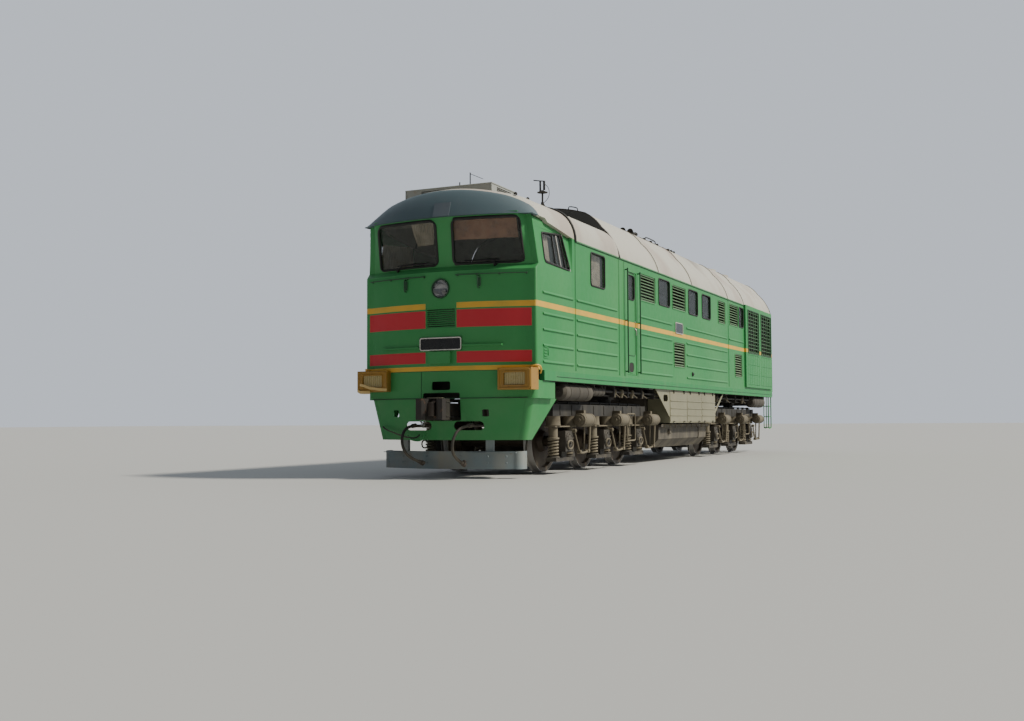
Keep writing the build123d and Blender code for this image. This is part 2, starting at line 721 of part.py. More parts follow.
def cab_roof():
    """Low cab roof with its visor, hollow over the cab."""
    top = section(low_section(0.0, UNDER_ROOF), AHEAD, ROOF_STEP_STATION)
    plan = nose_plan(VISOR_REACH, HALF_WIDTH + SEAM, ROOF_STEP_STATION + WALL, UNDER_ROOF)
    top &= extrude(plan, ABOVE - UNDER_ROOF, dir=(0, 0, 1))
    keep = [(AHEAD, ROOF_EDGE_FRONT), (0.0, ROOF_EDGE_FRONT), (CAB_JOINT_STATION, ROOF_EDGE_REAR)]
    tail = [(ROOF_STEP_STATION, ROOF_EDGE_REAR), (ROOF_STEP_STATION, ABOVE), (AHEAD, ABOVE)]
    top &= side_prism(keep + tail, -BESIDE, BESIDE)
    hollow = low_section(ROOF_THICKNESS, UNDER_ROOF - WALL)
    return top - section(hollow, ROOF_HOLLOW_STATION, ROOF_STEP_STATION + WALL)


def high_roof(s0, s1):
    """One length of the high roof as an arched shell down to the eaves."""
    shell = section(high_section(0.0, UNDER_ROOF), s0, s1)
    shell -= section(high_section(ROOF_THICKNESS, UNDER_ROOF - WALL), s0 - WALL, s1 + WALL)
    return shell & block(-BESIDE, BESIDE, s0, s1, ROOF_EDGE_REAR, ABOVE)


def engine_roof():
    """High roof over the engine room with its hatches, and the bulkhead that faces forward over the cab."""
    shell = high_roof(ROOF_STEP_STATION + WALL + SEAM, ENGINE_ROOF_END_STATION)
    for name, s0, s1, half, rise in ROOF_HATCHES:
        lid = section(high_section(-rise, UNDER_ROOF), s0, s1)
        lid -= section(high_section(ROOF_THICKNESS / 2, UNDER_ROOF - WALL), s0 - WALL, s1 + WALL)
        shell += lid & block(-half, half, s0, s1, EAVE, ABOVE)
    face_end = ROOF_STEP_STATION + WALL
    face = section(high_section(0.0, UNDER_ROOF), ROOF_STEP_STATION, face_end)
    face &= block(-HALF_WIDTH, HALF_WIDTH, ROOF_STEP_STATION, face_end, ROOF_EDGE_REAR, ABOVE)
    return [shell, face]


def radiator_roof():
    """High roof over the radiators, with the round holes of the fan cowls."""
    shell = high_roof(ENGINE_ROOF_END_STATION, REAR_WALL_STATION)
    for station in FAN_STATIONS:
        shell -= Pos(0, at(station), up(HIGH_ROOF_TOP)) * Cylinder(COWL_RADIUS + SEAM, HIGH_ROOF_TOP - EAVE)
    return shell


def fan_cowls():
    """Round fan cowls through the roof, each with a cross bar that holds the fan's motor and shaft."""
    cowls = []
    for station in FAN_STATIONS:
        cowl = Cylinder(COWL_RADIUS, COWL_DEPTH, align=STANDING)
        cowl -= Cylinder(COWL_RADIUS - COWL_WALL, COWL_DEPTH, align=STANDING)
        cowl += Pos(0, 0, MOTOR_BAR / 2) * Box(2 * COWL_RADIUS - COWL_WALL, MOTOR_BAR_WIDTH, MOTOR_BAR)
        cowl += Cylinder(FAN_HUB_RADIUS, FAN_HUB_FOOT - FAN_HUB_GAP, align=STANDING)
        cowl += Cylinder(FAN_SHAFT_RADIUS, FAN_HUB_FOOT + FAN_SHAFT_LENGTH, align=STANDING)
        cowls.append(Pos(0, at(station), up(COWL_FLOOR)) * cowl)
    return cowls


def fan(station):
    """Radiator fan: hub with pitched blades, turning on the motor's shaft."""
    wheel = Pos(0, 0, FAN_HUB_FOOT) * Cylinder(FAN_HUB_RADIUS, FAN_HUB_HEIGHT, align=STANDING)
    reach = FAN_RADIUS - FAN_HUB_RADIUS
    root = Pos(FAN_HUB_RADIUS + reach / 2 - BLADE_ROOT, 0, FAN_HUB_FOOT + FAN_HUB_HEIGHT / 2)
    blade = root * Rot(BLADE_PITCH, 0, 0) * Box(reach, BLADE_WIDTH, BLADE_THICKNESS)
    for turn in range(FAN_BLADES):
        wheel += Rot(0, 0, turn * 360.0 / FAN_BLADES) * blade
    wheel -= Cylinder(FAN_SHAFT_RADIUS + RUNNING, FAN_HUB_FOOT + FAN_SHAFT_LENGTH + RUNNING, align=STANDING)
    return Pos(0, at(station), up(COWL_FLOOR)) * wheel


def side_wall():
    """Left side sheet between the cab joint and the radiators, its openings cut and its ribs pressed."""
    inner = HALF_WIDTH - WALL
    wall = block(inner, HALF_WIDTH, CAB_JOINT_STATION, RADIATOR_FRONT_STATION, FLOOR_TOP, ROOF_EDGE_REAR)
    doorway = (DOOR_FRONT_STATION, DOOR_REAR_STATION, DOOR_BOTTOM, DOOR_TOP)
    for name, s0, s1, h0, h1 in GLAZED_WINDOWS + LOUVRES:
        wall -= window_prism(s0, s1, h0, h1, inner - WALL, HALF_WIDTH + WALL, SIDE_WINDOW_RADIUS)
    wall -= block(inner - WALL, HALF_WIDTH + WALL, *doorway)
    wall += side_ribs(RIB_HEIGHTS, RIB_RUNS) + side_ribs(RIB_HEIGHTS[-1:], [UPPER_RIB_RUN])
    wall += side_hinges(False)
    return wall


def hinge(moving):
    """Knuckle of a door, or pin and brackets of its jamb: x runs into the opening, y outwards, z up."""
    if moving:
        part = Cylinder(HINGE_RADIUS, HINGE_LENGTH)
        part += Pos(18.0, 3.0, 0) * Box(24.0 + HINGE_AXIS_BACK, 16.0, HINGE_LENGTH)
        part += Pos(HINGE_AXIS_BACK + DOOR_GAP + 15.0, HINGE_INSET / 2 + 1.0, 0) * Box(
            30.0, HINGE_INSET + 2.0, HINGE_LENGTH
        )
        part -= Cylinder(HINGE_PIN_RADIUS + RUNNING, HINGE_LENGTH * 2)
        return part
    part = Cylinder(HINGE_PIN_RADIUS, HINGE_LENGTH + 60.0)
    outward = HINGE_INSET / 2 - HINGE_PIN_RADIUS / 2 + 0.5
    bracket = Box(38.0, HINGE_INSET + HINGE_PIN_RADIUS + 1.0, 28.0)
    for end in (-1, 1):
        part += Pos(-11.0, outward, end * (HINGE_LENGTH / 2 + 16.0)) * bracket
    return part


def side_hinges(moving):
    """Both hinges of the left side door, at the front edge of its opening."""
    parts = []
    for height in (DOOR_BOTTOM + 300.0, DOOR_TOP - 300.0):
        place = Plane(
            origin=(HALF_WIDTH - WALL - HINGE_INSET, at(DOOR_FRONT_STATION) - HINGE_AXIS_BACK, up(height)),
            x_dir=(0, 1, 0),
            z_dir=(0, 0, -1),
        )
        parts.append(place * hinge(moving))
    return parts


def gangway_hinges(moving):
    """Both hinges of the gangway door, at the right edge of its opening."""
    parts = []
    for height in (DOOR_BOTTOM + 300.0, GANGWAY_TOP - 300.0):
        place = Pos(-GANGWAY_HALF_WIDTH - HINGE_AXIS_BACK, at(REAR_WALL_STATION) - HINGE_INSET, up(height))
        parts.append(place * hinge(moving))
    return parts


def side_door():
    """Left side door, hinged at its front edge and opening inwards, with its window cut."""
    inner = HALF_WIDTH - WALL
    leaf = block(
        inner,
        inner + DOOR_THICKNESS,
        DOOR_FRONT_STATION + DOOR_GAP,
        DOOR_REAR_STATION - DOOR_GAP,
        DOOR_BOTTOM + DOOR_GAP,
        DOOR_TOP - DOOR_GAP,
    )
    leaf -= window_prism(
        DOOR_WINDOW_FRONT_STATION,
        DOOR_WINDOW_REAR_STATION,
        DOOR_WINDOW_BOTTOM,
        DOOR_WINDOW_TOP,
        inner - WALL,
        inner + 2 * WALL,
        DOOR_WINDOW_RADIUS,
    )
    leaf += side_hinges(True)
    return leaf


def radiator_wall():
    """Left wall of the radiator chamber, proud of the side, with two shutter openings over panels."""
    outer = HALF_WIDTH + RADIATOR_PROUD
    inner = HALF_WIDTH - WALL
    low = RADIATOR_WALL_BOTTOM
    front = RADIATOR_FRONT_STATION
    rear = RADIATOR_REAR_STATION
    wall = block(outer - WALL, outer, front, rear, low, EAVE)
    wall += block(inner, outer, front, front + WALL, low, EAVE)
    wall += block(inner, outer, rear - WALL, rear, low, EAVE)
    wall += block(inner, outer, front, rear, low, low + WALL)
    wall += block(inner, HALF_WIDTH, front, REAR_WALL_STATION, FLOOR_TOP, low + WALL)
    wall += block(inner, HALF_WIDTH, rear - WALL, REAR_WALL_STATION, FLOOR_TOP, ROOF_EDGE_REAR)
    wall += block(inner, outer, front, rear, EAVE - WALL, ROOF_EDGE_REAR)
    for s0, s1 in SHUTTER_BAYS:
        wall -= block(outer - 2 * WALL, outer + WALL, s0, s1, SHUTTER_BOTTOM, SHUTTER_TOP)
        wall -= panel_grooves(s0, s1)
    return wall


def panel_grooves(s0, s1):
    """Grooves that divide the low panel under a shutter bay into columns and rows."""
    outer = HALF_WIDTH + RADIATOR_PROUD
    deep = outer - GROOVE_DEPTH
    grooves = []
    for step in range(PANEL_ROWS + 1):
        height = PANEL_BOTTOM + (PANEL_TOP - PANEL_BOTTOM) * step / PANEL_ROWS
        low = height - GROOVE_HALF_WIDTH
        grooves.append(block(deep, outer + WALL, s0, s1, low, height + GROOVE_HALF_WIDTH))
    for step in range(PANEL_COLUMNS + 1):
        station = s0 + (s1 - s0) * step / PANEL_COLUMNS
        front = station - GROOVE_HALF_WIDTH
        back = station + GROOVE_HALF_WIDTH
        grooves.append(block(deep, outer + WALL, front, back, PANEL_BOTTOM, PANEL_TOP))
    return grooves


def shutters():
    """Slanted slats across each shutter opening, let into the frame's two posts."""
    slats = []
    outer = HALF_WIDTH + RADIATOR_PROUD
    pitch = (SHUTTER_TOP - SHUTTER_BOTTOM) / SHUTTER_SLATS
    for s0, s1 in SHUTTER_BAYS:
        frame = block(outer - WALL + 5.0, outer - 5.0, s0, s1, SHUTTER_BOTTOM, SHUTTER_TOP)
        frame -= block(
            outer - 2 * WALL, outer + WALL, s0 + 30.0, s1 - 30.0, SHUTTER_BOTTOM + 20.0, SHUTTER_TOP - 20.0
        )
        for step in range(SHUTTER_SLATS):
            height = SHUTTER_BOTTOM + pitch * (step + 0.5)
            place = Pos(outer - WALL / 2, (at(s0) + at(s1)) / 2, up(height)) * Rot(0, 35, 0)
            frame += place * Box(46.0, s1 - s0 - 50.0, 8.0) & block(
                outer - WALL, outer, s0, s1, SHUTTER_BOTTOM, SHUTTER_TOP
            )
        slats.append(frame)
    return [item for frame in slats for item in pair(frame)]


def radiator_cores():
    """Finned radiator blocks behind the shutters, standing on the floor."""
    cores = []
    for s0, s1 in SHUTTER_BAYS:
        cores += pair(block(CORE_INNER_X, CORE_OUTER_X, s0 - CORE_LAP, s1 + CORE_LAP, FLOOR_TOP, SHUTTER_TOP))
    return cores


def side_louvres():
    """Louvre panels of the side sheets: a frame with slanted slats in each opening."""
    panels = []
    for name, s0, s1, h0, h1 in LOUVRES:
        frame = block(HALF_WIDTH - WALL, HALF_WIDTH - 4.0, s0 + SEAM, s1 - SEAM, h0 + SEAM, h1 - SEAM)
        frame -= block(HALF_WIDTH - 2 * WALL, HALF_WIDTH + WALL, s0 + 35.0, s1 - 35.0, h0 + 30.0, h1 - 30.0)
        count = int((h1 - h0) / SLAT_PITCH)
        frame &= window_prism(s0 + SEAM, s1 - SEAM, h0 + SEAM, h1 - SEAM, HALF_WIDTH - WALL, HALF_WIDTH, 40.0)
        for step in range(1, count):
            height = h0 + (h1 - h0) * step / count
            place = Pos(HALF_WIDTH - WALL / 2, (at(s0) + at(s1)) / 2, up(height)) * Rot(0, 40, 0)
            frame += place * Box(40.0, s1 - s0 - 60.0, SLAT_THICKNESS)
        panels += pair(frame)
    return panels


def side_windows():
    """Flat panes in the cab's side windows and in the side sheets."""
    panes = []
    x = HALF_WIDTH - WALL / 2
    panes += pair(side_prism(cab_window_outline(SEAM), x - GLASS / 2, x + GLASS / 2))
    for name, s0, s1, h0, h1 in GLAZED_WINDOWS:
        opening = (s0 + SEAM, s1 - SEAM, h0 + SEAM, h1 - SEAM)
        panes += pair(window_prism(*opening, x - GLASS / 2, x + GLASS / 2, SIDE_WINDOW_RADIUS))
    return panes


def rear_wall():
    """End wall with the gangway doorway."""
    front = REAR_WALL_STATION - WALL
    wall = section(high_section(0.0, FLOOR_TOP), REAR_WALL_STATION, BODY_LENGTH)
    half = GANGWAY_HALF_WIDTH
    wall -= front_prism(-half, half, DOOR_BOTTOM, GANGWAY_TOP, front, BODY_LENGTH + WALL, GANGWAY_CORNER)
    wall += gangway_hinges(False)
    return wall


def gangway_door():
    """Door of the rear end wall, hinged on its right edge and opening inwards."""
    y0 = REAR_WALL_STATION
    leaf = block(
        -GANGWAY_HALF_WIDTH + DOOR_GAP,
        GANGWAY_HALF_WIDTH - DOOR_GAP,
        y0,
        y0 + DOOR_THICKNESS,
        DOOR_BOTTOM + DOOR_GAP,
        GANGWAY_TOP - DOOR_GAP,
    )
    leaf -= front_prism(
        -GANGWAY_WINDOW_HALF_WIDTH,
        GANGWAY_WINDOW_HALF_WIDTH,
        GANGWAY_WINDOW_BOTTOM,
        GANGWAY_WINDOW_TOP,
        y0 - WALL,
        y0 + 2 * WALL,
        DOOR_WINDOW_RADIUS,
    )
    leaf += gangway_hinges(True)
    return leaf


def cab_bulkhead():
    """Wall between the cab and the engine room, under the roof step."""
    wall = section(low_section(ROOF_THICKNESS + SEAM, FLOOR_TOP), ROOF_STEP_STATION - WALL, ROOF_STEP_STATION)
    return wall - front_prism(
        -1100.0, -450.0, DOOR_BOTTOM, DOOR_TOP, ROOF_STEP_STATION - 2 * WALL, ROOF_STEP_STATION + WALL, 20.0
    )


def control_desk():
    """Driver's desk across the cab under the windshields, with its sloping panel."""
    outline = [
        (150.0, FLOOR_TOP),
        (700.0, FLOOR_TOP),
        (700.0, 2350.0),
        (1000.0, 2450.0),
        (800.0, 2800.0),
        (150.0, 2950.0),
    ]
    return side_prism(outline, -DESK_HALF_WIDTH, DESK_HALF_WIDTH)


def driver_seats():
    """Two cab seats: cushion, back and pedestal."""
    back = SEAT_REAR_STATION - CUSHION_THICKNESS
    cushion_top = SEAT_HEIGHT + CUSHION_THICKNESS
    middle_x = (SEAT_INNER_X + SEAT_OUTER_X) / 2
    middle = (SEAT_FRONT_STATION + SEAT_REAR_STATION) / 2
    parts = pair(block(SEAT_INNER_X, SEAT_OUTER_X, SEAT_FRONT_STATION, back - SEAM, SEAT_HEIGHT, cushion_top))
    parts += pair(block(SEAT_INNER_X, SEAT_OUTER_X, back, SEAT_REAR_STATION, SEAT_HEIGHT, SEAT_BACK_TOP))
    pedestal = block(
        middle_x - PEDESTAL_HALF_WIDTH,
        middle_x + PEDESTAL_HALF_WIDTH,
        middle - PEDESTAL_HALF_WIDTH,
        middle + PEDESTAL_HALF_WIDTH,
        FLOOR_TOP,
        SEAT_HEIGHT - SEAM,
    )
    return parts + pair(pedestal)


def headlight():
    """Round headlight let into the nose, with its rim and lens."""
    front = at(-NOSE_BOW)
    ring = Pos(0, front - 20.0, up(HEADLIGHT_HEIGHT)) * Rot(-90, 0, 0) * Cylinder(
        HEADLIGHT_RADIUS - SEAM, HEADLIGHT_DEPTH, align=STANDING
    )
    ring -= Pos(0, front - 30.0, up(HEADLIGHT_HEIGHT)) * Rot(-90, 0, 0) * Cylinder(
        HEADLIGHT_RADIUS - 25.0, 45.0, align=STANDING
    )
    return ring


def buffer_lamps():
    """Orange lamp boxes on the front corners of the bumper."""
    lamp = block(LAMP_INNER_X, LAMP_OUTER_X, LAMP_FACE_STATION, 40.0, LAMP_BOTTOM, LAMP_TOP)
    cut = block(
        LAMP_INNER_X + 105.0,
        LAMP_OUTER_X - 105.0,
        LAMP_FACE_STATION - 10.0,
        LAMP_FACE_STATION + 30.0,
        LAMP_BOTTOM + 75.0,
        LAMP_TOP - 75.0,
    )
    lamp -= cut
    lamp -= bumper_body(-SEAM)
    lamp -= extrude(nose_plan(-SEAM, HALF_WIDTH + SEAM, 900.0, BUMPER_TOP), 200.0, dir=(0, 0, 1))
    return pair(lamp)


def bumper_body(inset):
    """Bowed bumper between the nose and the skirt, as one solid."""
    half = HALF_WIDTH - BUMPER_INSET - inset
    plan = nose_plan(inset, half, BUMPER_BACK_STATION - inset, BUMPER_BOTTOM)
    return extrude(plan, BUMPER_TOP - BUMPER_BOTTOM, dir=(0, 0, 1))


def skirt_loft(inset, low_back, top_back):
    """Tapered part under the bumper as one solid, leaning back towards its lower edge."""
    top = nose_plan(SKIRT_SETBACK + inset, SKIRT_TOP_HALF - inset, top_back, BUMPER_BOTTOM)
    low = nose_plan(SKIRT_SETBACK + SKIRT_LEAN + inset, SKIRT_BOTTOM_HALF - inset, low_back, SKIRT_BOTTOM)
    return loft([low, top], ruled=True)


def front_skirt():
    """Bumper and the tapered skirt under it, a bent plate open at the back, with the coupler's opening."""
    half = HALF_WIDTH - BUMPER_INSET
    inner = nose_plan(SKIRT_PLATE, half - SKIRT_PLATE, BUMPER_BACK_STATION + WALL, SKIRT_BOTTOM)
    skirt = bumper_body(0.0) - extrude(inner, SILL_BOTTOM, dir=(0, 0, 1))
    hollow = skirt_loft(SKIRT_PLATE, SKIRT_OPEN_BACK, SKIRT_OPEN_BACK)
    skirt += skirt_loft(0.0, SKIRT_LOW_BACK, SKIRT_TOP_BACK) - hollow
    sill = BUMPER_BACK_STATION + 2 * WALL
    notch = [
        (160.0, SILL_BOTTOM),
        (BUMPER_BACK_STATION, BUMPER_NOTCH_HEIGHT),
        (sill, BUMPER_NOTCH_HEIGHT),
        (sill, FLOOR_TOP + WALL),
        (0.0, BUMPER_TOP),
    ]
    skirt -= side_prism(notch, -BESIDE, BESIDE)
    pocket = (-POCKET_HALF_WIDTH, POCKET_HALF_WIDTH, POCKET_BOTTOM, POCKET_TOP)
    skirt -= front_prism(*pocket, AHEAD, -AHEAD, HOLE_CORNER)
    beam_hole = (-BEAM_HOLE_HALF_WIDTH, BEAM_HOLE_HALF_WIDTH, BEAM_HOLE_BOTTOM, BEAM_HOLE_TOP)
    skirt -= front_prism(*beam_hole, AHEAD, 0.0, HOLE_CORNER)
    for x in SQUARE_HOLE_XS:
        side = SQUARE_HOLE_SIDE / 2
        bottom = SQUARE_HOLE_HEIGHT - side
        skirt -= front_prism(x - side, x + side, bottom, bottom + 2 * side, AHEAD, 0.0, HOLE_CORNER / 2)
    slot_end = (SLOT_TOP - SLOT_BOTTOM) / 2 - 2.0
    for slot in pair(front_prism(SLOT_INNER_X, SLOT_OUTER_X, SLOT_BOTTOM, SLOT_TOP, AHEAD, 0.0, slot_end)):
        skirt -= slot
    return skirt


def snow_plough():
    """Bowed plough blade under the skirt, on two hangers."""
    blade = nose_plan(PLOUGH_SETBACK, PLOUGH_HALF_WIDTH, PLOUGH_BACK_STATION, PLOUGH_BOTTOM)
    inset = PLOUGH_SETBACK + PLOUGH_PLATE
    hollow = nose_plan(inset, PLOUGH_HALF_WIDTH - PLOUGH_PLATE, PLOUGH_BACK_STATION + WALL, PLOUGH_BOTTOM)
    height = PLOUGH_TOP - PLOUGH_BOTTOM
    body = extrude(blade, height, dir=(0, 0, 1)) - extrude(hollow, height, dir=(0, 0, 1))
    setback = SKIRT_SETBACK + SKIRT_LEAN + SKIRT_PLATE + SEAM
    behind = nose_plan(setback, SKIRT_BOTTOM_HALF - SKIRT_PLATE, SKIRT_OPEN_BACK, PLOUGH_BOTTOM)
    inside = skirt_loft(SKIRT_PLATE + SEAM, SKIRT_OPEN_BACK, SKIRT_OPEN_BACK)
    inside += extrude(behind, SKIRT_BOTTOM - PLOUGH_BOTTOM, dir=(0, 0, 1))
    low = PLOUGH_BOTTOM + PLOUGH_HANGER_INSET
    high = SKIRT_BOTTOM + PLOUGH_HANGER_LAP
    hanger = block(PLOUGH_HANGER_X, PLOUGH_HANGER_X + PLOUGH_HANGER_WIDTH, AHEAD, 0.0, low, high) & inside
    for side in pair(hanger):
        body += side
    return body


def battery_boxes():
    """Battery boxes hung below each sill, with the pierced bracket ahead of each and the brace behind it."""
    front = BATTERY_FRONT_STATION
    rear = BATTERY_REAR_STATION
    outer = BATTERY_OUTER_X - BRACKET_INSET + BRACKET_PLATE
    inner = outer - BRACKET_PLATE
    box = block(BATTERY_INNER_X, BATTERY_OUTER_X, front, rear, BATTERY_BOTTOM, SILL_BOTTOM)
    bracket = [
        (front - BRACKET_LENGTH, SILL_BOTTOM),
        (front + BRACKET_PLATE, SILL_BOTTOM),
        (front + BRACKET_PLATE, BRACKET_BOTTOM),
        (front - 2 * BRACKET_PLATE, BRACKET_BOTTOM),
    ]
    hole = window_prism(front - 440.0, front - 130.0, 1260.0, 1400.0, inner - WALL, outer + WALL, 60.0)
    brace = [
        (rear - BRACKET_PLATE, BRACE_BOTTOM),
        (rear + BRACE_LENGTH, SILL_BOTTOM),
        (rear + BRACE_LENGTH - BRACE_DEPTH, SILL_BOTTOM),
        (rear - BRACKET_PLATE, BRACE_BOTTOM + BRACE_DEPTH),
    ]
    box += side_prism(bracket, inner, outer) - hole
    box += side_prism(brace, inner, outer)
    return pair(box)


def fuel_tank():
    """Fuel tank across the loco, with a lip and slanted lower edges."""
    inner = BATTERY_INNER_X - 10.0
    points = [
        (inner, FRAME_BOTTOM + 100.0),
        (inner, TANK_LIP + 20.0),
        (TANK_HALF_WIDTH + 60.0, TANK_LIP + 20.0),
        (TANK_HALF_WIDTH + 60.0, TANK_LIP - 20.0),
        (TANK_HALF_WIDTH, TANK_LIP - 20.0),
        (TANK_HALF_WIDTH - 10.0, 470.0),
        (TANK_HALF_WIDTH - 190.0, TANK_BOTTOM),
    ]
    outline = [(x, 0, up(h)) for x, h in points] + [(-x, 0, up(h)) for x, h in reversed(points)]
    tank = section(Polyline(outline, close=True), TANK_FRONT_STATION, TANK_REAR_STATION)
    for side in pair(
        block(
            CENTRE_SILL_X - 10.0,
            CENTRE_SILL_X + CENTRE_SILL_WIDTH + 10.0,
            TANK_FRONT_STATION - 10.0,
            TANK_REAR_STATION + 10.0,
            FRAME_BOTTOM,
            FRAME_BOTTOM + 200.0,
        )
    ):
        tank -= side
    return tank


def air_reservoirs():
    """Air reservoirs slung below the sills on both sides, with rounded ends and two straps each."""
    tanks = []
    for name, front, length, radius, drop in RESERVOIRS:
        height = SILL_BOTTOM - drop
        place = Pos(RESERVOIR_X, at(front), up(height)) * Rot(-90, 0, 0)
        tank = place * Cylinder(radius, length, align=STANDING)
        tank = chamfer(tank.edges().filter_by(GeomType.CIRCLE), radius * 0.35)
        for share in (0.2, 0.8):
            station = front + length * share
            tank += block(
                RESERVOIR_X - RESERVOIR_STRAP_HALF_WIDTH,
                RESERVOIR_X + RESERVOIR_STRAP_HALF_WIDTH,
                station - RESERVOIR_STRAP_HALF_LENGTH,
                station + RESERVOIR_STRAP_HALF_LENGTH,
                height,
                SILL_BOTTOM,
            )
        tanks += pair(tank)
    return tanks


def handrails():
    """Upright handrails on both sides of the side doors, each on three stand-offs."""
    rails = []
    x = HALF_WIDTH + RAIL_STANDOFF
    for station in (DOOR_FRONT_STATION - 110.0, DOOR_REAR_STATION + 80.0):
        rails += pair(rod((x, at(station), up(RAIL_BOTTOM)), (x, at(station), up(RAIL_TOP)), RAIL_RADIUS))
        for height in (RAIL_BOTTOM + 30.0, (RAIL_BOTTOM + RAIL_TOP) / 2, RAIL_TOP - 30.0):
            wall = (HALF_WIDTH + SEAM, at(station), up(height))
            rails += pair(rod(wall, (x - RAIL_RADIUS - SEAM, at(station), up(height)), RAIL_RADIUS - 2.0))
    return rails


def engine_block():
    """Diesel engine and generator as one plain mass on the floor."""
    return block(-ENGINE_HALF_WIDTH, ENGINE_HALF_WIDTH, along(5600.0), along(11300.0), FLOOR_TOP, ENGINE_TOP)


def cooling_unit():
    """Cab cooling unit on the low roof."""
    foot = LOW_ROOF_TOP - UNIT_FOOT
    top = LOW_ROOF_TOP + UNIT_RISE
    unit = block(UNIT_RIGHT_X, UNIT_LEFT_X, UNIT_FRONT_STATION, UNIT_REAR_STATION, foot, top)
    return unit - section(low_section(-SEAM, UNDER_ROOF), 0.0, UNIT_REAR_STATION + WALL)


def exhaust_stack():
    """Exhaust box on the ridge of the engine roof, open at the top."""
    top = HIGH_ROOF_TOP + STACK_RISE
    foot = HIGH_ROOF_TOP - STACK_FOOT
    front = along(9700.0)
    back = along(11200.0)
    outline = [(front, foot), (front + 100.0, top), (back - 250.0, top), (back, foot)]
    stack = side_prism(outline, -STACK_HALF_WIDTH, STACK_HALF_WIDTH)
    mouth = STACK_MOUTH_HALF_WIDTH
    stack -= block(-mouth, mouth, front + 200.0, back - 350.0, top - STACK_MOUTH_DEPTH, ABOVE)
    return stack - section(high_section(-SEAM, UNDER_ROOF), front, back)


def roof_horns():
    """Two horns lying on the engine roof behind the step, each on its post."""
    height = HIGH_ROOF_TOP + HORN_RISE
    post = HORN_STATION + HORN_POST_BACK
    horns = []
    for x in HORN_XS:
        bell = Cone(HORN_MOUTH_RADIUS, HORN_THROAT_RADIUS, HORN_LENGTH, align=HANGING)
        horn = Pos(x, at(HORN_STATION), up(height)) * Rot(90, 0, 0) * bell
        horn += rod((x, at(post), up(EAVE)), (x, at(post), up(height)), 20.0)
        horn -= section(high_section(-SEAM, UNDER_ROOF), HORN_STATION - WALL, HORN_STATION + 2 * HORN_LENGTH)
        horns.append(horn)
    return horns


def roof_antennas():
    """Masts of the radio aerial and the loudspeaker on the cab roof, each with its bent head."""
    masts = []
    for name, x, station, rise in MASTS:
        height = LOW_ROOF_TOP + rise
        mast = rod((x, at(station), up(EAVE)), (x, at(station), up(height)), 18.0)
        mast += rod((x, at(station), up(height)), (x, at(station - 220.0), up(height + 60.0)), 14.0)
        masts.append(mast - section(low_section(-SEAM, UNDER_ROOF), 0.0, station + BESIDE))
    return masts


def coupler():
    """Automatic coupler: claw head, neck, shank and the eye that swings on its pin, facing forward."""
    outline = [
        (-200.0, HEAD_BACK),
        (-HEAD_HALF_WIDTH, 120.0),
        (-HEAD_HALF_WIDTH, -20.0),
        (-205.0, -CLAW_REACH),
        (-105.0, -CLAW_REACH),
        (-62.0, -70.0),
        (-88.0, 25.0),
        (-30.0, 120.0),
        (55.0, 120.0),
        (105.0, -10.0),
        (150.0, -45.0),
        (225.0, -45.0),
        (HEAD_HALF_WIDTH, 10.0),
        (HEAD_HALF_WIDTH, 140.0),
        (200.0, HEAD_BACK),
    ]
    head = extrude(make_face(Polyline(outline, close=True)), COUPLER_HALF_HEIGHT, both=True)
    neck = [
        (-NECK_HALF_WIDTH, HEAD_BACK - 10.0),
        (NECK_HALF_WIDTH, HEAD_BACK - 10.0),
        (SHANK_HALF_WIDTH, NECK_BACK),
        (-SHANK_HALF_WIDTH, NECK_BACK),
    ]
    body = head + extrude(make_face(Polyline(neck, close=True)), NECK_HALF_HEIGHT, both=True)
    body += Pos(0, (HEAD_BACK + COUPLER_PIVOT_BACK) / 2, 0) * Box(
        SHANK_HALF_WIDTH * 2, COUPLER_PIVOT_BACK - HEAD_BACK, SHANK_HALF_HEIGHT * 2
    )
    body += Pos(0, COUPLER_PIVOT_BACK, 0) * Cylinder(SHANK_HALF_WIDTH + 20.0, SHANK_HALF_HEIGHT * 2)
    bore = Cylinder(COUPLER_PIN_RADIUS + RUNNING, SHANK_HALF_HEIGHT * 3)
    return body - Pos(0, COUPLER_PIVOT_BACK, 0) * bore


def wheelset(centre, offset):
    """Axle with two flanged wheels, revolved as one piece."""
    back = BACK_TO_BACK / 2
    front = back + TYRE_WIDTH
    middle = back + TYRE_WIDTH / 2
    rim = TREAD_RADIUS - TYRE_THICKNESS
    end = SPRING_LINE_X + BOX_WIDTH / 2 - BOX_END
    profile = [
        (0.0, 0.0),
        (0.0, AXLE_RADIUS),
        (back - 30.0, AXLE_RADIUS),
        (back - 30.0, HUB_RADIUS),
        (middle - WEB_THICKNESS / 2, HUB_RADIUS + 40.0),
        (middle - WEB_THICKNESS / 2, rim - 20.0),
        (back, rim),
        (back, TREAD_RADIUS + FLANGE_HEIGHT),
        (back + FLANGE_WIDTH * 0.6, TREAD_RADIUS + FLANGE_HEIGHT),
        (back + FLANGE_WIDTH, TREAD_RADIUS),
        (front, TREAD_RADIUS),
        (front, rim),
        (middle + WEB_THICKNESS / 2, rim - 20.0),
        (middle + WEB_THICKNESS / 2, HUB_RADIUS + 40.0),
        (front + 30.0, HUB_RADIUS),
        (front + 30.0, JOURNAL_RADIUS),
        (end, JOURNAL_RADIUS),
        (end, 0.0),
    ]
    half = revolve(make_face(Polyline([(x, 0, r) for x, r in profile], close=True)), Axis.X)
    both = half + mirror(half, about=Plane.YZ)
    return Pos(0, at(centre + offset), up(TREAD_RADIUS)) * both


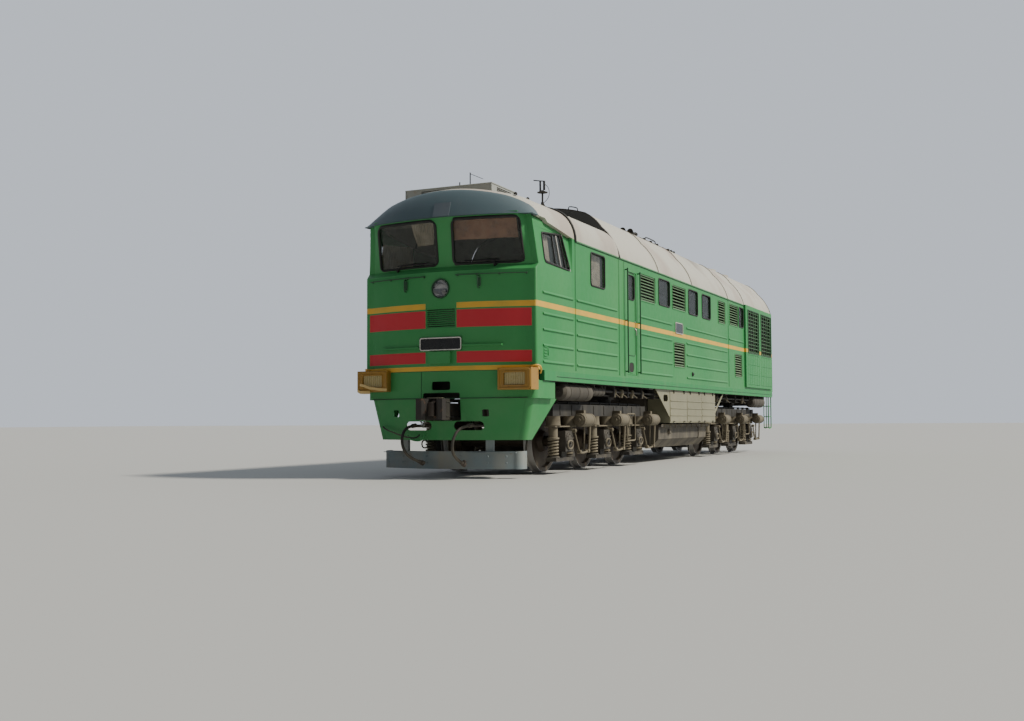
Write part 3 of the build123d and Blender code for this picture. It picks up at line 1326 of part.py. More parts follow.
def bogie_frame(centre):
    """Side beams, transoms, end beams, centre casting with the pin's bore, and side bearers, seam to seam."""
    reach = AXLE_PITCH + BEAM_OVERHANG
    outer = SPRING_LINE_X + BEAM_WIDTH / 2
    inner = SPRING_LINE_X - BEAM_WIDTH / 2
    across = inner - SEAM
    top = BEAM_TOP - TRANSOM_DROP
    parts = pair(block(inner, outer, centre - reach, centre + reach, BEAM_BOTTOM, BEAM_TOP))
    for offset in (-BEARER_OFFSET, BEARER_OFFSET):
        station = centre + offset
        half = TRANSOM_WIDTH / 2
        parts.append(block(-across, across, station - half, station + half, BEAM_BOTTOM, top))
        bearer = Cylinder(BEARER_RADIUS, FRAME_BOTTOM - SEAM - top - SEAM, align=STANDING)
        parts += pair(Pos(BEARER_X, at(station), up(top + SEAM)) * bearer)
    for end in (-1, 1):
        half = END_BEAM_WIDTH / 2
        station = centre + end * (reach - half)
        parts.append(block(-across, across, station - half, station + half, BEAM_BOTTOM, top))
    room = BEARER_OFFSET - TRANSOM_WIDTH / 2 - SEAM
    casting = block(-CASTING_HALF_WIDTH, CASTING_HALF_WIDTH, centre - room, centre + room, BEAM_BOTTOM, top)
    casting -= Pos(0, at(centre), up(BEAM_BOTTOM)) * Cylinder(CENTRE_PIN_RADIUS + RUNNING, BEAM_TOP)
    return parts + [casting]


def axle_boxes(centre):
    """Axle boxes with the wings that carry the springs."""
    boxes = []
    for offset in AXLE_OFFSETS:
        station = centre + offset
        x0 = SPRING_LINE_X - BOX_WIDTH / 2
        x1 = SPRING_LINE_X + BOX_WIDTH / 2
        box = block(
            x0,
            x1,
            station - BOX_HALF_LENGTH,
            station + BOX_HALF_LENGTH,
            TREAD_RADIUS - BOX_HALF_HEIGHT,
            TREAD_RADIUS + BOX_HALF_HEIGHT,
        )
        wing = block(
            SPRING_LINE_X - SPRING_RADIUS,
            SPRING_LINE_X + SPRING_RADIUS,
            station - SPRING_OFFSET - SPRING_RADIUS,
            station + SPRING_OFFSET + SPRING_RADIUS,
            SPRING_SEAT_HEIGHT - WING_THICKNESS,
            SPRING_SEAT_HEIGHT - SEAM,
        )
        wing += block(
            SPRING_LINE_X - BOX_FOOT_HALF_WIDTH,
            SPRING_LINE_X + BOX_FOOT_HALF_WIDTH,
            station - BOX_FOOT_HALF_LENGTH,
            station + BOX_FOOT_HALF_LENGTH,
            SPRING_SEAT_HEIGHT - WING_THICKNESS,
            TREAD_RADIUS - BOX_HALF_HEIGHT - SEAM,
        )
        bore = Pos(x0 - BORE_LEAD, at(station), up(TREAD_RADIUS)) * Rot(0, 90, 0)
        depth = BOX_WIDTH - BOX_END + BORE_LEAD + 2.0
        box -= bore * Cylinder(JOURNAL_RADIUS + RUNNING, depth, align=STANDING)
        boxes += pair(box) + pair(wing)
    return boxes


def bogie_springs(centre):
    """Coil springs with their caps, cups and the plates under the side beams."""
    sets = []
    for offset in AXLE_OFFSETS:
        station = centre + offset
        sets += pair(
            block(
                SPRING_LINE_X - CUP_PLATE_HALF_WIDTH,
                SPRING_LINE_X + CUP_PLATE_HALF_WIDTH,
                station - SPRING_OFFSET - CUP_PLATE_LAP,
                station + SPRING_OFFSET + CUP_PLATE_LAP,
                CUP_PLATE_HEIGHT,
                CUP_PLATE_HEIGHT + CUP_PLATE_THICKNESS,
            )
        )
        for side in (-SPRING_OFFSET, SPRING_OFFSET):
            foot = Pos(SPRING_LINE_X, at(station + side), up(SPRING_SEAT_HEIGHT))
            column = Cylinder(SPRING_RADIUS, SPRING_TOP_HEIGHT - SPRING_SEAT_HEIGHT, align=STANDING)
            rise = CUP_PLATE_HEIGHT - SEAM - SPRING_SEAT_HEIGHT
            column += Cylinder(SPRING_CAP_RADIUS, rise, align=STANDING)
            sets += pair(foot * column)
            low = CUP_PLATE_HEIGHT + CUP_PLATE_THICKNESS + SEAM
            cup = Cylinder(CUP_RADIUS, BEAM_BOTTOM - SEAM - low, align=STANDING)
            sets += pair(Pos(SPRING_LINE_X, at(station + side), up(low)) * cup)
    return sets


def brake_gear(centre):
    """Brake cylinders on brackets outside the side beams, and the shoes beside the wheels."""
    beam = SPRING_LINE_X + BEAM_WIDTH / 2
    first = SPRING_OFFSET + CUP_RADIUS + BRAKE_BRACKET_GAP
    last = BEAM_OVERHANG - BRAKE_BRACKET_GAP
    gear = []
    for offset in AXLE_OFFSETS:
        station = centre + offset
        front = at(station + BRAKE_CYLINDER_SETBACK - BRAKE_CYLINDER_LENGTH / 2)
        place = Pos(BRAKE_CYLINDER_X, front, up(BRAKE_CYLINDER_HEIGHT)) * Rot(-90, 0, 0)
        cylinder = place * Cylinder(BRAKE_CYLINDER_RADIUS, BRAKE_CYLINDER_LENGTH, align=STANDING)
        reach = BRAKE_CYLINDER_LENGTH + BRAKE_ROD_LENGTH
        cylinder += place * Cylinder(BRAKE_ROD_RADIUS, reach, align=STANDING)
        bracket = (beam + SEAM, BRAKE_CYLINDER_X, station + first, station + last)
        cylinder += block(*bracket, BRAKE_CYLINDER_HEIGHT, BRAKE_BRACKET_TOP)
        gear += pair(cylinder)
        gear += pair(brake_shoe(station, 1.0 if offset <= 0.0 else -1.0))
    return gear


def brake_shoe(station, way):
    """Left brake shoe behind its wheel (way 1) or ahead of it (way -1), on a hanger from the side beam."""
    face = TREAD_RADIUS + SHOE_GAP
    back = face + SHOE_THICKNESS
    middle = SHOE_INNER_X + SHOE_WIDTH / 2
    x0 = middle - HANGER_THICKNESS / 2
    x1 = middle + HANGER_THICKNESS / 2
    low = TREAD_RADIUS - SHOE_HALF_HEIGHT
    high = TREAD_RADIUS + SHOE_HALF_HEIGHT
    near, far = sorted((station + way * (face - SHOE_HOLLOW), station + way * back))
    shoe = block(SHOE_INNER_X, SHOE_INNER_X + SHOE_WIDTH, near, far, low, high)
    shoe -= Pos(0, at(station), up(TREAD_RADIUS)) * Rot(0, 90, 0) * Cylinder(face, 2 * BESIDE)
    near, far = sorted((station + way * (back - SEAM), station + way * (back + HANGER_THICKNESS)))
    shoe += block(x0, x1, near, far, TREAD_RADIUS, HANGER_TOP)
    inner = SPRING_LINE_X - BEAM_WIDTH / 2 - SEAM
    return shoe + block(x0, inner, near, far, HANGER_TOP - HANGER_THICKNESS, HANGER_TOP)


def traction_motors(centre):
    """Axle-hung traction motors, one beside each axle."""
    motors = []
    for offset in AXLE_OFFSETS:
        back = 1.0 if offset <= 0.0 else -1.0
        station = centre + offset + back * MOTOR_SETBACK
        height = TREAD_RADIUS - MOTOR_DROP
        motor = Pos(0, at(station), up(height)) * Rot(0, 90, 0) * Cylinder(MOTOR_RADIUS, MOTOR_LENGTH)
        transom = centre - AXLE_PITCH / 2 if offset < 0.0 else centre + AXLE_PITCH / 2
        nose = MOTOR_NOSE_HALF_WIDTH
        motor += block(-nose, nose, min(station, transom), max(station, transom), height, BEAM_BOTTOM)
        motors.append(motor)
    return motors


def brake_hose(points):
    """Brake hose hanging from its cock: straight runs joined by arcs as large as the runs allow."""
    route = [Vector(x, at(station), up(height)) for x, station, height in points]
    radii = []
    for before, corner, after in zip(route, route[1:], route[2:]):
        turn = radians((corner - before).get_angle(after - corner))
        run = min((corner - before).length, (after - corner).length)
        radii.append(0.45 * run / tan(turn / 2))
    line = FilletPolyline(*route, radius=radii)
    print("hose length", round(line.length), "radii", [round(value) for value in radii])
    start = Plane(origin=route[0], z_dir=route[1] - route[0])
    return sweep(start * Circle(HOSE_RADIUS), path=line)


def hose_head(points):
    """Coupling head on the free end of a brake hose."""
    end = Vector(points[-1][0], at(points[-1][1]), up(points[-1][2]))
    before = Vector(points[-2][0], at(points[-2][1]), up(points[-2][2]))
    head = Cylinder(HOSE_RADIUS + 8.0, 50.0, align=STANDING)
    head += Pos(0, 0, 50.0) * Cylinder(HOSE_RADIUS + 16.0, 45.0, align=STANDING)
    head += Pos(30.0, 0, 72.0) * Box(70.0, 34.0, 44.0)
    return Plane(origin=end, z_dir=end - before) * head


def brake_pipes():
    """Brake pipes that come through the skirt's slots, each with its cock and hanger."""
    pipes = []
    for points in (HOSE_RIGHT, HOSE_LEFT):
        x, station, height = points[0]
        end = Vector(x, at(station), up(height))
        ahead = Vector(points[1][0], at(points[1][1]), up(points[1][2]))
        cock = Plane(origin=end, z_dir=end - ahead) * Cylinder(
            HOSE_RADIUS + 12.0, 90.0, align=STANDING
        )
        pipe = rod((x, at(station + 60.0), up(height)), (x, at(PIPE_BACK_STATION), up(height)), PIPE_RADIUS)
        pipes.append(pipe + cock)
        pipes.append(
            block(
                x - PIPE_RADIUS,
                x + PIPE_RADIUS,
                PIPE_HANGER_STATION,
                PIPE_HANGER_STATION + 20.0,
                height + PIPE_RADIUS + SEAM,
                FRAME_BOTTOM - SEAM,
            )
        )
    return pipes


save(underframe(), "underframe")
save(centre_pins(), "centre_pins")
save(cab_shell(), "cab_shell")
save(nose_fittings(), "nose_fittings")
wall_left = side_wall()
save(wall_left, "side_wall_left")
save(mirror(wall_left, about=Plane.YZ), "side_wall_right")
save(pair(radiator_wall()), "radiator_walls")
save(radiator_cores(), "radiator_cores")
save(shutters(), "radiator_shutters")
save(rear_wall(), "rear_wall")
save(cab_roof(), "cab_roof")
save(engine_roof(), "engine_roof")
save(radiator_roof(), "radiator_roof")
save(fan_cowls(), "fan_cowls")
save(cab_bulkhead(), "cab_bulkhead")
save(control_desk(), "control_desk")
save(driver_seats(), "driver_seats")
save(engine_block(), "engine_block")
save(headlight(), "headlight")
save(buffer_lamps(), "buffer_lamps")
save(windshields(), "windshields")
save(side_windows(), "side_windows")
save(side_louvres(), "side_louvres")
save(front_skirt(), "front_skirt")
save(snow_plough(), "snow_plough")
save(battery_boxes(), "battery_boxes")
save(fuel_tank(), "fuel_tank")
save(air_reservoirs(), "air_reservoirs")
save(handrails(), "handrails")
save(cooling_unit(), "cooling_unit")
save(exhaust_stack(), "exhaust_stack")
save(roof_horns(), "roof_horns")
save(roof_antennas(), "roof_antennas")
for side, points in (("right", HOSE_RIGHT), ("left", HOSE_LEFT)):
    save(brake_hose(points), f"brake_hose_{side}")
save([hose_head(HOSE_RIGHT), hose_head(HOSE_LEFT)], "hose_heads")
save(brake_pipes(), "brake_pipes")
door = side_door()
save(door, "side_door_left")
save(mirror(door, about=Plane.YZ), "side_door_right")
save(gangway_door(), "gangway_door")
for number, station in enumerate(FAN_STATIONS, 1):
    save(fan(station), f"radiator_fan_{number}")
head = coupler()
save(Pos(0, -HALF_COUPLED, up(COUPLER_HEIGHT)) * head, "coupler_front")
save(Pos(0, HALF_COUPLED, up(COUPLER_HEIGHT)) * Rot(0, 0, 180) * head, "coupler_rear")
axle = 0
for place, centre in zip(("front", "rear"), BOGIE_STATIONS):
    save(bogie_frame(centre), f"bogie_frame_{place}")
    save(axle_boxes(centre), f"axle_boxes_{place}")
    save(bogie_springs(centre), f"bogie_springs_{place}")
    save(brake_gear(centre), f"brake_gear_{place}")
    save(traction_motors(centre), f"traction_motors_{place}")
    for offset in AXLE_OFFSETS:
        axle += 1
        save(wheelset(centre, offset), f"wheelset_{axle}")
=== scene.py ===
import logging
import math
from dataclasses import dataclass, field
from enum import Enum
from typing import Callable, Iterable, Sequence

import bmesh
import bpy
from mathutils import Matrix, Vector


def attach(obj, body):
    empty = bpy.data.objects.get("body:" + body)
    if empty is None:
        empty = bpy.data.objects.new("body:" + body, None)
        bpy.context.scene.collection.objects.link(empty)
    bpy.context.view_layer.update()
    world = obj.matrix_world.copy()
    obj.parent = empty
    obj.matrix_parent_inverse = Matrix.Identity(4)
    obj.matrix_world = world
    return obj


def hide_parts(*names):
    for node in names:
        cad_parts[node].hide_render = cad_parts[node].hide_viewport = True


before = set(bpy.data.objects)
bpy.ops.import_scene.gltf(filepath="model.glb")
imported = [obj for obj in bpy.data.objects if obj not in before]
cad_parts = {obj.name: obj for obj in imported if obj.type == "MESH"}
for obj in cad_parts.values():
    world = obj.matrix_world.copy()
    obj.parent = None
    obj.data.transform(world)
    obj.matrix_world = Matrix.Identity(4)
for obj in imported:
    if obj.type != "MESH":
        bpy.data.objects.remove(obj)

LOG = logging.getLogger("locomotive")
Piece = bpy.types.Object
Socket = bpy.types.NodeSocket
Pair = tuple[float, float]
Triple = tuple[float, float, float]
Point = Triple
Four = tuple[float, float, float, float]
Colour = Triple
Line = Sequence[Sequence[float]]
Test = Callable[[Vector, Vector], bool]

# Row frame: stations are metres behind the cab's front corner, heights are metres above the rail top
HALF_BODY = 8.5
RAIL_TOP = 0.028
HALF_WIDTH = 1.549
EAVE = 3.877

# Points nearer to each other than this become one
MERGE = 0.00001

UPWARD = (0, 0, 1)
FORWARD = (0, -1, 0)
REARWARD = (0, 1, 0)
OUTWARD = (1, 0, 0)


class Side(Enum):
    """Hand of the locomotive, with the sign of its X."""

    LEFT = 1
    RIGHT = -1


def at(station: float) -> float:
    """Y of a station behind the cab's front corner."""
    return station - HALF_BODY


def up(height: float) -> float:
    """Z of a height above the rail top."""
    return height + RAIL_TOP


def mark(across: float, station: float, height: float) -> Point:
    """Place of an X, a station and a height."""
    return (across, at(station), up(height))


def wall(across: float, outline: Iterable[Pair]) -> list[Point]:
    """Places of an outline of (station, height) points on an upright plane along the locomotive."""
    return [mark(across, station, height) for station, height in outline]


def disc(radius: float, thickness: float) -> list[Pair]:
    """Profile of a plain disc, as distance along its axis and radius."""
    return [(0, 0), (0, radius), (thickness, radius), (thickness, 0)]


def put_in_scene(item: Piece) -> None:
    """Links a new object to the scene."""
    bpy.context.scene.collection.objects.link(item)


class Graph:
    """Shader graph of one finish, with short calls for the nodes that the finishes share."""

    def __init__(self, name: str) -> None:
        """Starts a material with its shader and its object coordinates.

        Args:
            name: name of the material.
        """
        self.material = bpy.data.materials.new(name)
        self.material.use_nodes = True
        self.tree = self.material.node_tree
        self.shader = self.tree.nodes["Principled BSDF"]
        self.place = self.node("TexCoord").outputs["Object"]
        split = self.node("SeparateXYZ")
        self.put(split.inputs[0], self.place)
        self.x, self.y, self.z = split.outputs

    def node(self, kind: str, **settings: object) -> bpy.types.Node:
        """Adds a shader node of a kind and gives it its settings."""
        node = self.tree.nodes.new("ShaderNode" + kind)
        for key, value in settings.items():
            setattr(node, key, value)
        return node

    def put(self, socket: Socket, value: object) -> None:
        """Links a socket to another node's output, or sets its plain value.

        Args:
            socket: the input to fill.
            value: an output socket, a number or a colour.
        """
        if isinstance(value, Socket):
            self.tree.links.new(value, socket)
        elif isinstance(value, (tuple, list)) and socket.type == "RGBA":
            socket.default_value = (*value[:3], 1.0)
        else:
            socket.default_value = value

    def calc(self, operation: str, *operands: object, clamp: bool = False) -> Socket:
        """One step of arithmetic.

        Args:
            operation: name of the Math node's operation.
            operands: sockets or numbers, in the node's order.
            clamp: whether the result stays between 0 and 1.

        Returns:
            The result's socket.
        """
        node = self.node("Math", operation=operation, use_clamp=clamp)
        for socket, operand in zip(node.inputs, operands):
            self.put(socket, operand)
        return node.outputs[0]

    def mix(self, share: object, first: object, second: object) -> Socket:
        """Colour between two colours, by a share from 0 to 1."""
        node = self.node("Mix", data_type="RGBA")
        self.put(node.inputs[0], share)
        self.put(node.inputs[6], first)
        self.put(node.inputs[7], second)
        return node.outputs[2]

    def step(self, value: object, low: float, high: float) -> Socket:
        """Smooth rise from 0 at low to 1 at high, or a fall where high is below low."""
        node = self.node("MapRange", interpolation_type="SMOOTHSTEP")
        falling = high < low
        self.put(node.inputs[0], value)
        self.put(node.inputs[1], min(low, high))
        self.put(node.inputs[2], max(low, high))
        self.put(node.inputs[3], 1.0 if falling else 0.0)
        self.put(node.inputs[4], 0.0 if falling else 1.0)
        return node.outputs[0]

    def band(self, value: object, low: float, high: float, edge: float = 0.004) -> Socket:
        """Mask that is 1 between two values, with soft edges."""
        rise = self.step(value, low - edge, low + edge)
        return self.calc("MULTIPLY", rise, self.step(value, high + edge, high - edge))

    def noise(self, scale: float, detail: float = 4.0, stretch: Point = (1.0, 1.0, 1.0)) -> Socket:
        """Noise on object coordinates.

        Args:
            scale: grains per metre.
            detail: octaves.
            stretch: scale along X, Y and Z, below 1 to draw the grain out.

        Returns:
            The noise's socket, around 0.5.
        """
        mapping = self.node("Mapping")
        self.put(mapping.inputs["Vector"], self.place)
        mapping.inputs["Scale"].default_value = stretch
        node = self.node("TexNoise")
        self.put(node.inputs["Vector"], mapping.outputs[0])
        node.inputs["Scale"].default_value = scale
        node.inputs["Detail"].default_value = detail
        return node.outputs[0]

    def bump(self, height: object, strength: float, distance: float) -> None:
        """Raises the shader's normal by a height map."""
        node = self.node("Bump")
        node.inputs["Strength"].default_value = strength
        node.inputs["Distance"].default_value = distance
        self.put(node.inputs["Height"], height)
        self.put(self.shader.inputs["Normal"], node.outputs[0])

    def done(self, **sockets: object) -> bpy.types.Material:
        """Fills the shader's sockets and hands the material over.

        Args:
            sockets: values by socket name, underscores standing for spaces.

        Returns:
            The finished material.
        """
        for key, value in sockets.items():
            self.put(self.shader.inputs[key.replace("_", " ")], value)
        return self.material


@dataclass(frozen=True)
class Weathered:
    """Paint or metal that varies in tone, wears thin in spots and gathers dust and streaks."""

    name: str
    colour: Colour
    worn: Colour
    dust: Colour = (0.3, 0.26, 0.19)
    roughness: float = 0.55
    metallic: float = 0.0
    wear: float = 0.25
    dusty: float = 0.3
    dust_height: float = 1.4
    grain: float = 9.0
    bump: float = 0.15

    def tone(self, graph: Graph) -> Socket:
        """Colour before wear and dust."""
        cloud = graph.step(graph.noise(0.7, 3.0), 0.35, 0.7)
        faded = tuple(min(1.0, channel * 1.25 + 0.01) for channel in self.colour)
        return graph.mix(graph.calc("MULTIPLY", cloud, 0.55), self.colour, faded)

    def build(self) -> bpy.types.Material:
        """Builds the material.

        Returns:
            The material, on object coordinates.
        """
        graph = Graph(self.name)
        tone = self.tone(graph)
        grain = graph.noise(self.grain, 7.0)
        spots = graph.step(grain, 0.74 - self.wear * 0.35, 0.8)
        tone = graph.mix(graph.calc("MULTIPLY", spots, min(1.0, self.wear * 1.6)), tone, self.worn)
        streak = graph.step(graph.noise(5.0, 5.0, (1.0, 1.0, 0.12)), 0.45, 0.8)
        low = graph.step(graph.z, self.dust_height, 0.1)
        film = graph.step(graph.noise(2.2, 6.0), 0.3, 0.75)
        share = graph.calc("ADD", graph.calc("MULTIPLY", streak, 0.35), graph.calc("MULTIPLY", low, film))
        share = graph.calc("MULTIPLY", share, self.dusty, clamp=True)
        tone = graph.mix(share, tone, self.dust)
        rough = graph.calc("MULTIPLY_ADD", grain, 0.25, self.roughness - 0.12)
        graph.bump(grain, self.bump, 0.002)
        return graph.done(Base_Color=tone, Roughness=rough, Metallic=self.metallic)


@dataclass(frozen=True)
class Livery(Weathered):
    """Green body paint with its yellow stripes and red front panels, laid out by height and side."""

    yellow: Colour = (0.74, 0.42, 0.045)
    red: Colour = (0.56, 0.022, 0.036)
    front_edge: float = -8.37
    panel_inner: float = 0.28
    panel_outer: float = 1.47

    def tone(self, graph: Graph) -> Socket:
        """Green with stripes and panels."""
        cloud = graph.step(graph.noise(0.55, 4.0), 0.3, 0.72)
        pale = (self.colour[0] * 1.5 + 0.02, self.colour[1] * 1.18, self.colour[2] * 1.35)
        tone = graph.mix(graph.calc("MULTIPLY", cloud, 0.7), self.colour, pale)
        across = graph.calc("ABSOLUTE", graph.x)
        front = graph.step(graph.y, self.front_edge + 0.002, self.front_edge - 0.002)
        panels = graph.calc("MULTIPLY", graph.band(across, self.panel_inner, self.panel_outer), front)
        for low, high in ((2.35, 2.63), (1.79, 1.97)):
            tone = graph.mix(
                graph.calc("MULTIPLY", graph.band(graph.z, up(low), up(high)), panels), tone, self.red
            )
        gap = graph.calc(
            "MULTIPLY", graph.step(across, self.panel_inner + 0.002, self.panel_inner - 0.002), front
        )
        upper = graph.calc(
            "MULTIPLY", graph.band(graph.z, up(2.655), up(2.745)), graph.calc("SUBTRACT", 1.0, gap)
        )
        lower = graph.calc("MULTIPLY", graph.band(graph.z, up(1.67), up(1.74)), front)
        fade = graph.calc("MULTIPLY_ADD", graph.step(graph.noise(3.0, 5.0), 0.25, 0.6), 0.25, 0.75)
        return graph.mix(
            graph.calc("MULTIPLY", graph.calc("MAXIMUM", upper, lower), fade), tone, self.yellow
        )


@dataclass(frozen=True)
class SillPaint(Weathered):
    """Dark frame paint, with body green on the outer sill."""

    green: Colour = (0.03, 0.25, 0.078)
    inner: float = 1.46
    low: float = 1.508

    def tone(self, graph: Graph) -> Socket:
        """Dark paint below and inside, green outside."""
        dark = Weathered.tone(self, graph)
        outside = graph.step(graph.calc("ABSOLUTE", graph.x), self.inner, self.inner + 0.01)
        above = graph.step(graph.z, up(self.low) - 0.003, up(self.low) + 0.003)
        return graph.mix(graph.calc("MULTIPLY", outside, above), dark, self.green)


@dataclass(frozen=True)
class RoofPaintAndShade(Weathered):
    """Pale roof paint, sooty round the exhaust and stained, with painted shade on the visor's front face and
    on the front face of the roof step.
    """

    soot: Colour = (0.035, 0.03, 0.028)
    stain: Colour = (0.34, 0.24, 0.2)
    # Painted shade on the visor's front face: the pale roof paint coloured dark blue-grey, as it looks in
    # shade.
    visor_shade_colour: Colour = (0.075, 0.115, 0.135)
    # Painted shade on the upright front face of the step up to the high roof: near black.
    bulkhead: Colour = (0.048, 0.05, 0.052)
    exhaust_station: float = 10.5
    visor_station: float = -0.185
    visor_bow: float = 0.149
    step_station: float = 3.82

    def tone(self, graph: Graph) -> Socket:
        """Pale paint with stains and soot, and painted shade on the visor's face and the roof step's face.
        """
        stains = graph.step(graph.noise(1.1, 6.0, (1.0, 1.0, 0.5)), 0.48, 0.68)
        tone = graph.mix(graph.calc("MULTIPLY", stains, 0.45), self.colour, self.stain)
        away = graph.calc("ABSOLUTE", graph.calc("SUBTRACT", graph.y, at(self.exhaust_station)))
        reach = graph.calc("ADD", away, graph.calc("MULTIPLY", graph.calc("ABSOLUTE", graph.x), 1.6))
        ragged = graph.calc("ADD", reach, graph.calc("MULTIPLY", graph.noise(1.7, 6.0), 2.2))
        tone = graph.mix(graph.calc("MULTIPLY", graph.step(ragged, 3.9, 1.5), 0.85), tone, self.soot)
        # Painted shade: the visor's bowed front face, with a thin edge on its top, gets the dark blue-grey
        # shade colour.
        bowed = graph.calc("MULTIPLY", graph.calc("MULTIPLY", graph.x, graph.x), -self.visor_bow)
        visor = graph.step(
            graph.calc("ADD", graph.y, bowed), at(self.visor_station) + 0.016, at(self.visor_station) + 0.01
        )
        # Painted shade: a thin band at the step's station covers the upright face where the low roof rises
        # to the high roof, coloured near black as in shade.
        step_shade_mask = graph.band(graph.y, at(self.step_station) - 0.004, at(self.step_station) + 0.004, 0.001)
        return graph.mix(step_shade_mask, graph.mix(visor, tone, self.visor_shade_colour), self.bulkhead)


@dataclass(frozen=True)
class WheelSteel(Weathered):
    """Rusty wheel with a tread and flange that the rail keeps bright, about each axle."""

    axles: tuple[float, ...] = (1.85, 3.7, 5.55, 11.45, 13.3, 15.15)
    axle_height: float = 0.525
    tread: float = 0.519
    bright: Colour = (0.42, 0.41, 0.4)

    def tone(self, graph: Graph) -> Socket:
        """Rust with bright treads."""
        tone = Weathered.tone(self, graph)
        nearest = None
        for station in self.axles:
            away = graph.calc("ABSOLUTE", graph.calc("SUBTRACT", graph.y, at(station)))
            nearest = away if nearest is None else graph.calc("MINIMUM", nearest, away)
        rise = graph.calc("SUBTRACT", graph.z, up(self.axle_height))
        squares = graph.calc("ADD", graph.calc("POWER", nearest, 2.0), graph.calc("MULTIPLY", rise, rise))
        radius = graph.calc("SQRT", squares)
        return graph.mix(graph.step(radius, self.tread - 0.006, self.tread), tone, self.bright)


@dataclass(frozen=True)
class Glass:
    """Window or lamp glass, clear or dark, with a film of dust."""

    name: str
    colour: Colour
    alpha: float
    roughness: float = 0.06
    dust: float = 0.25

    def build(self) -> bpy.types.Material:
        """Builds the see-through material."""
        graph = Graph(self.name)
        film = graph.step(graph.noise(6.0, 6.0), 0.4, 0.8)
        rough = graph.calc("MULTIPLY_ADD", film, self.dust, self.roughness)
        opacity = graph.calc("MULTIPLY_ADD", film, self.dust * 0.6, self.alpha, clamp=True)
        graph.material.surface_render_method = "DITHERED"
        return graph.done(Base_Color=self.colour, Roughness=rough, Alpha=opacity, Specular_IOR_Level=0.7)


@dataclass(frozen=True)
class Cloth:
    """Woven cloth or leather, with its weave as bump and a soft sheen."""

    name: str
    colour: Colour
    shade: Colour
    threads: float = 900.0
    sheen: float = 0.3
    roughness: float = 0.85

    def build(self) -> bpy.types.Material:
        """Builds the material."""
        graph = Graph(self.name)
        cloud = graph.step(graph.noise(4.0, 5.0), 0.35, 0.7)
        warp = graph.noise(self.threads, 1.0, (1.0, 1.0, 0.2))
        weave = graph.calc("ADD", warp, graph.noise(self.threads, 1.0, (0.2, 0.2, 1.0)))
        tone = graph.mix(cloud, self.colour, self.shade)
        graph.bump(weave, 0.35, 0.0006)
        return graph.done(Base_Color=tone, Roughness=self.roughness, Sheen_Weight=self.sheen)


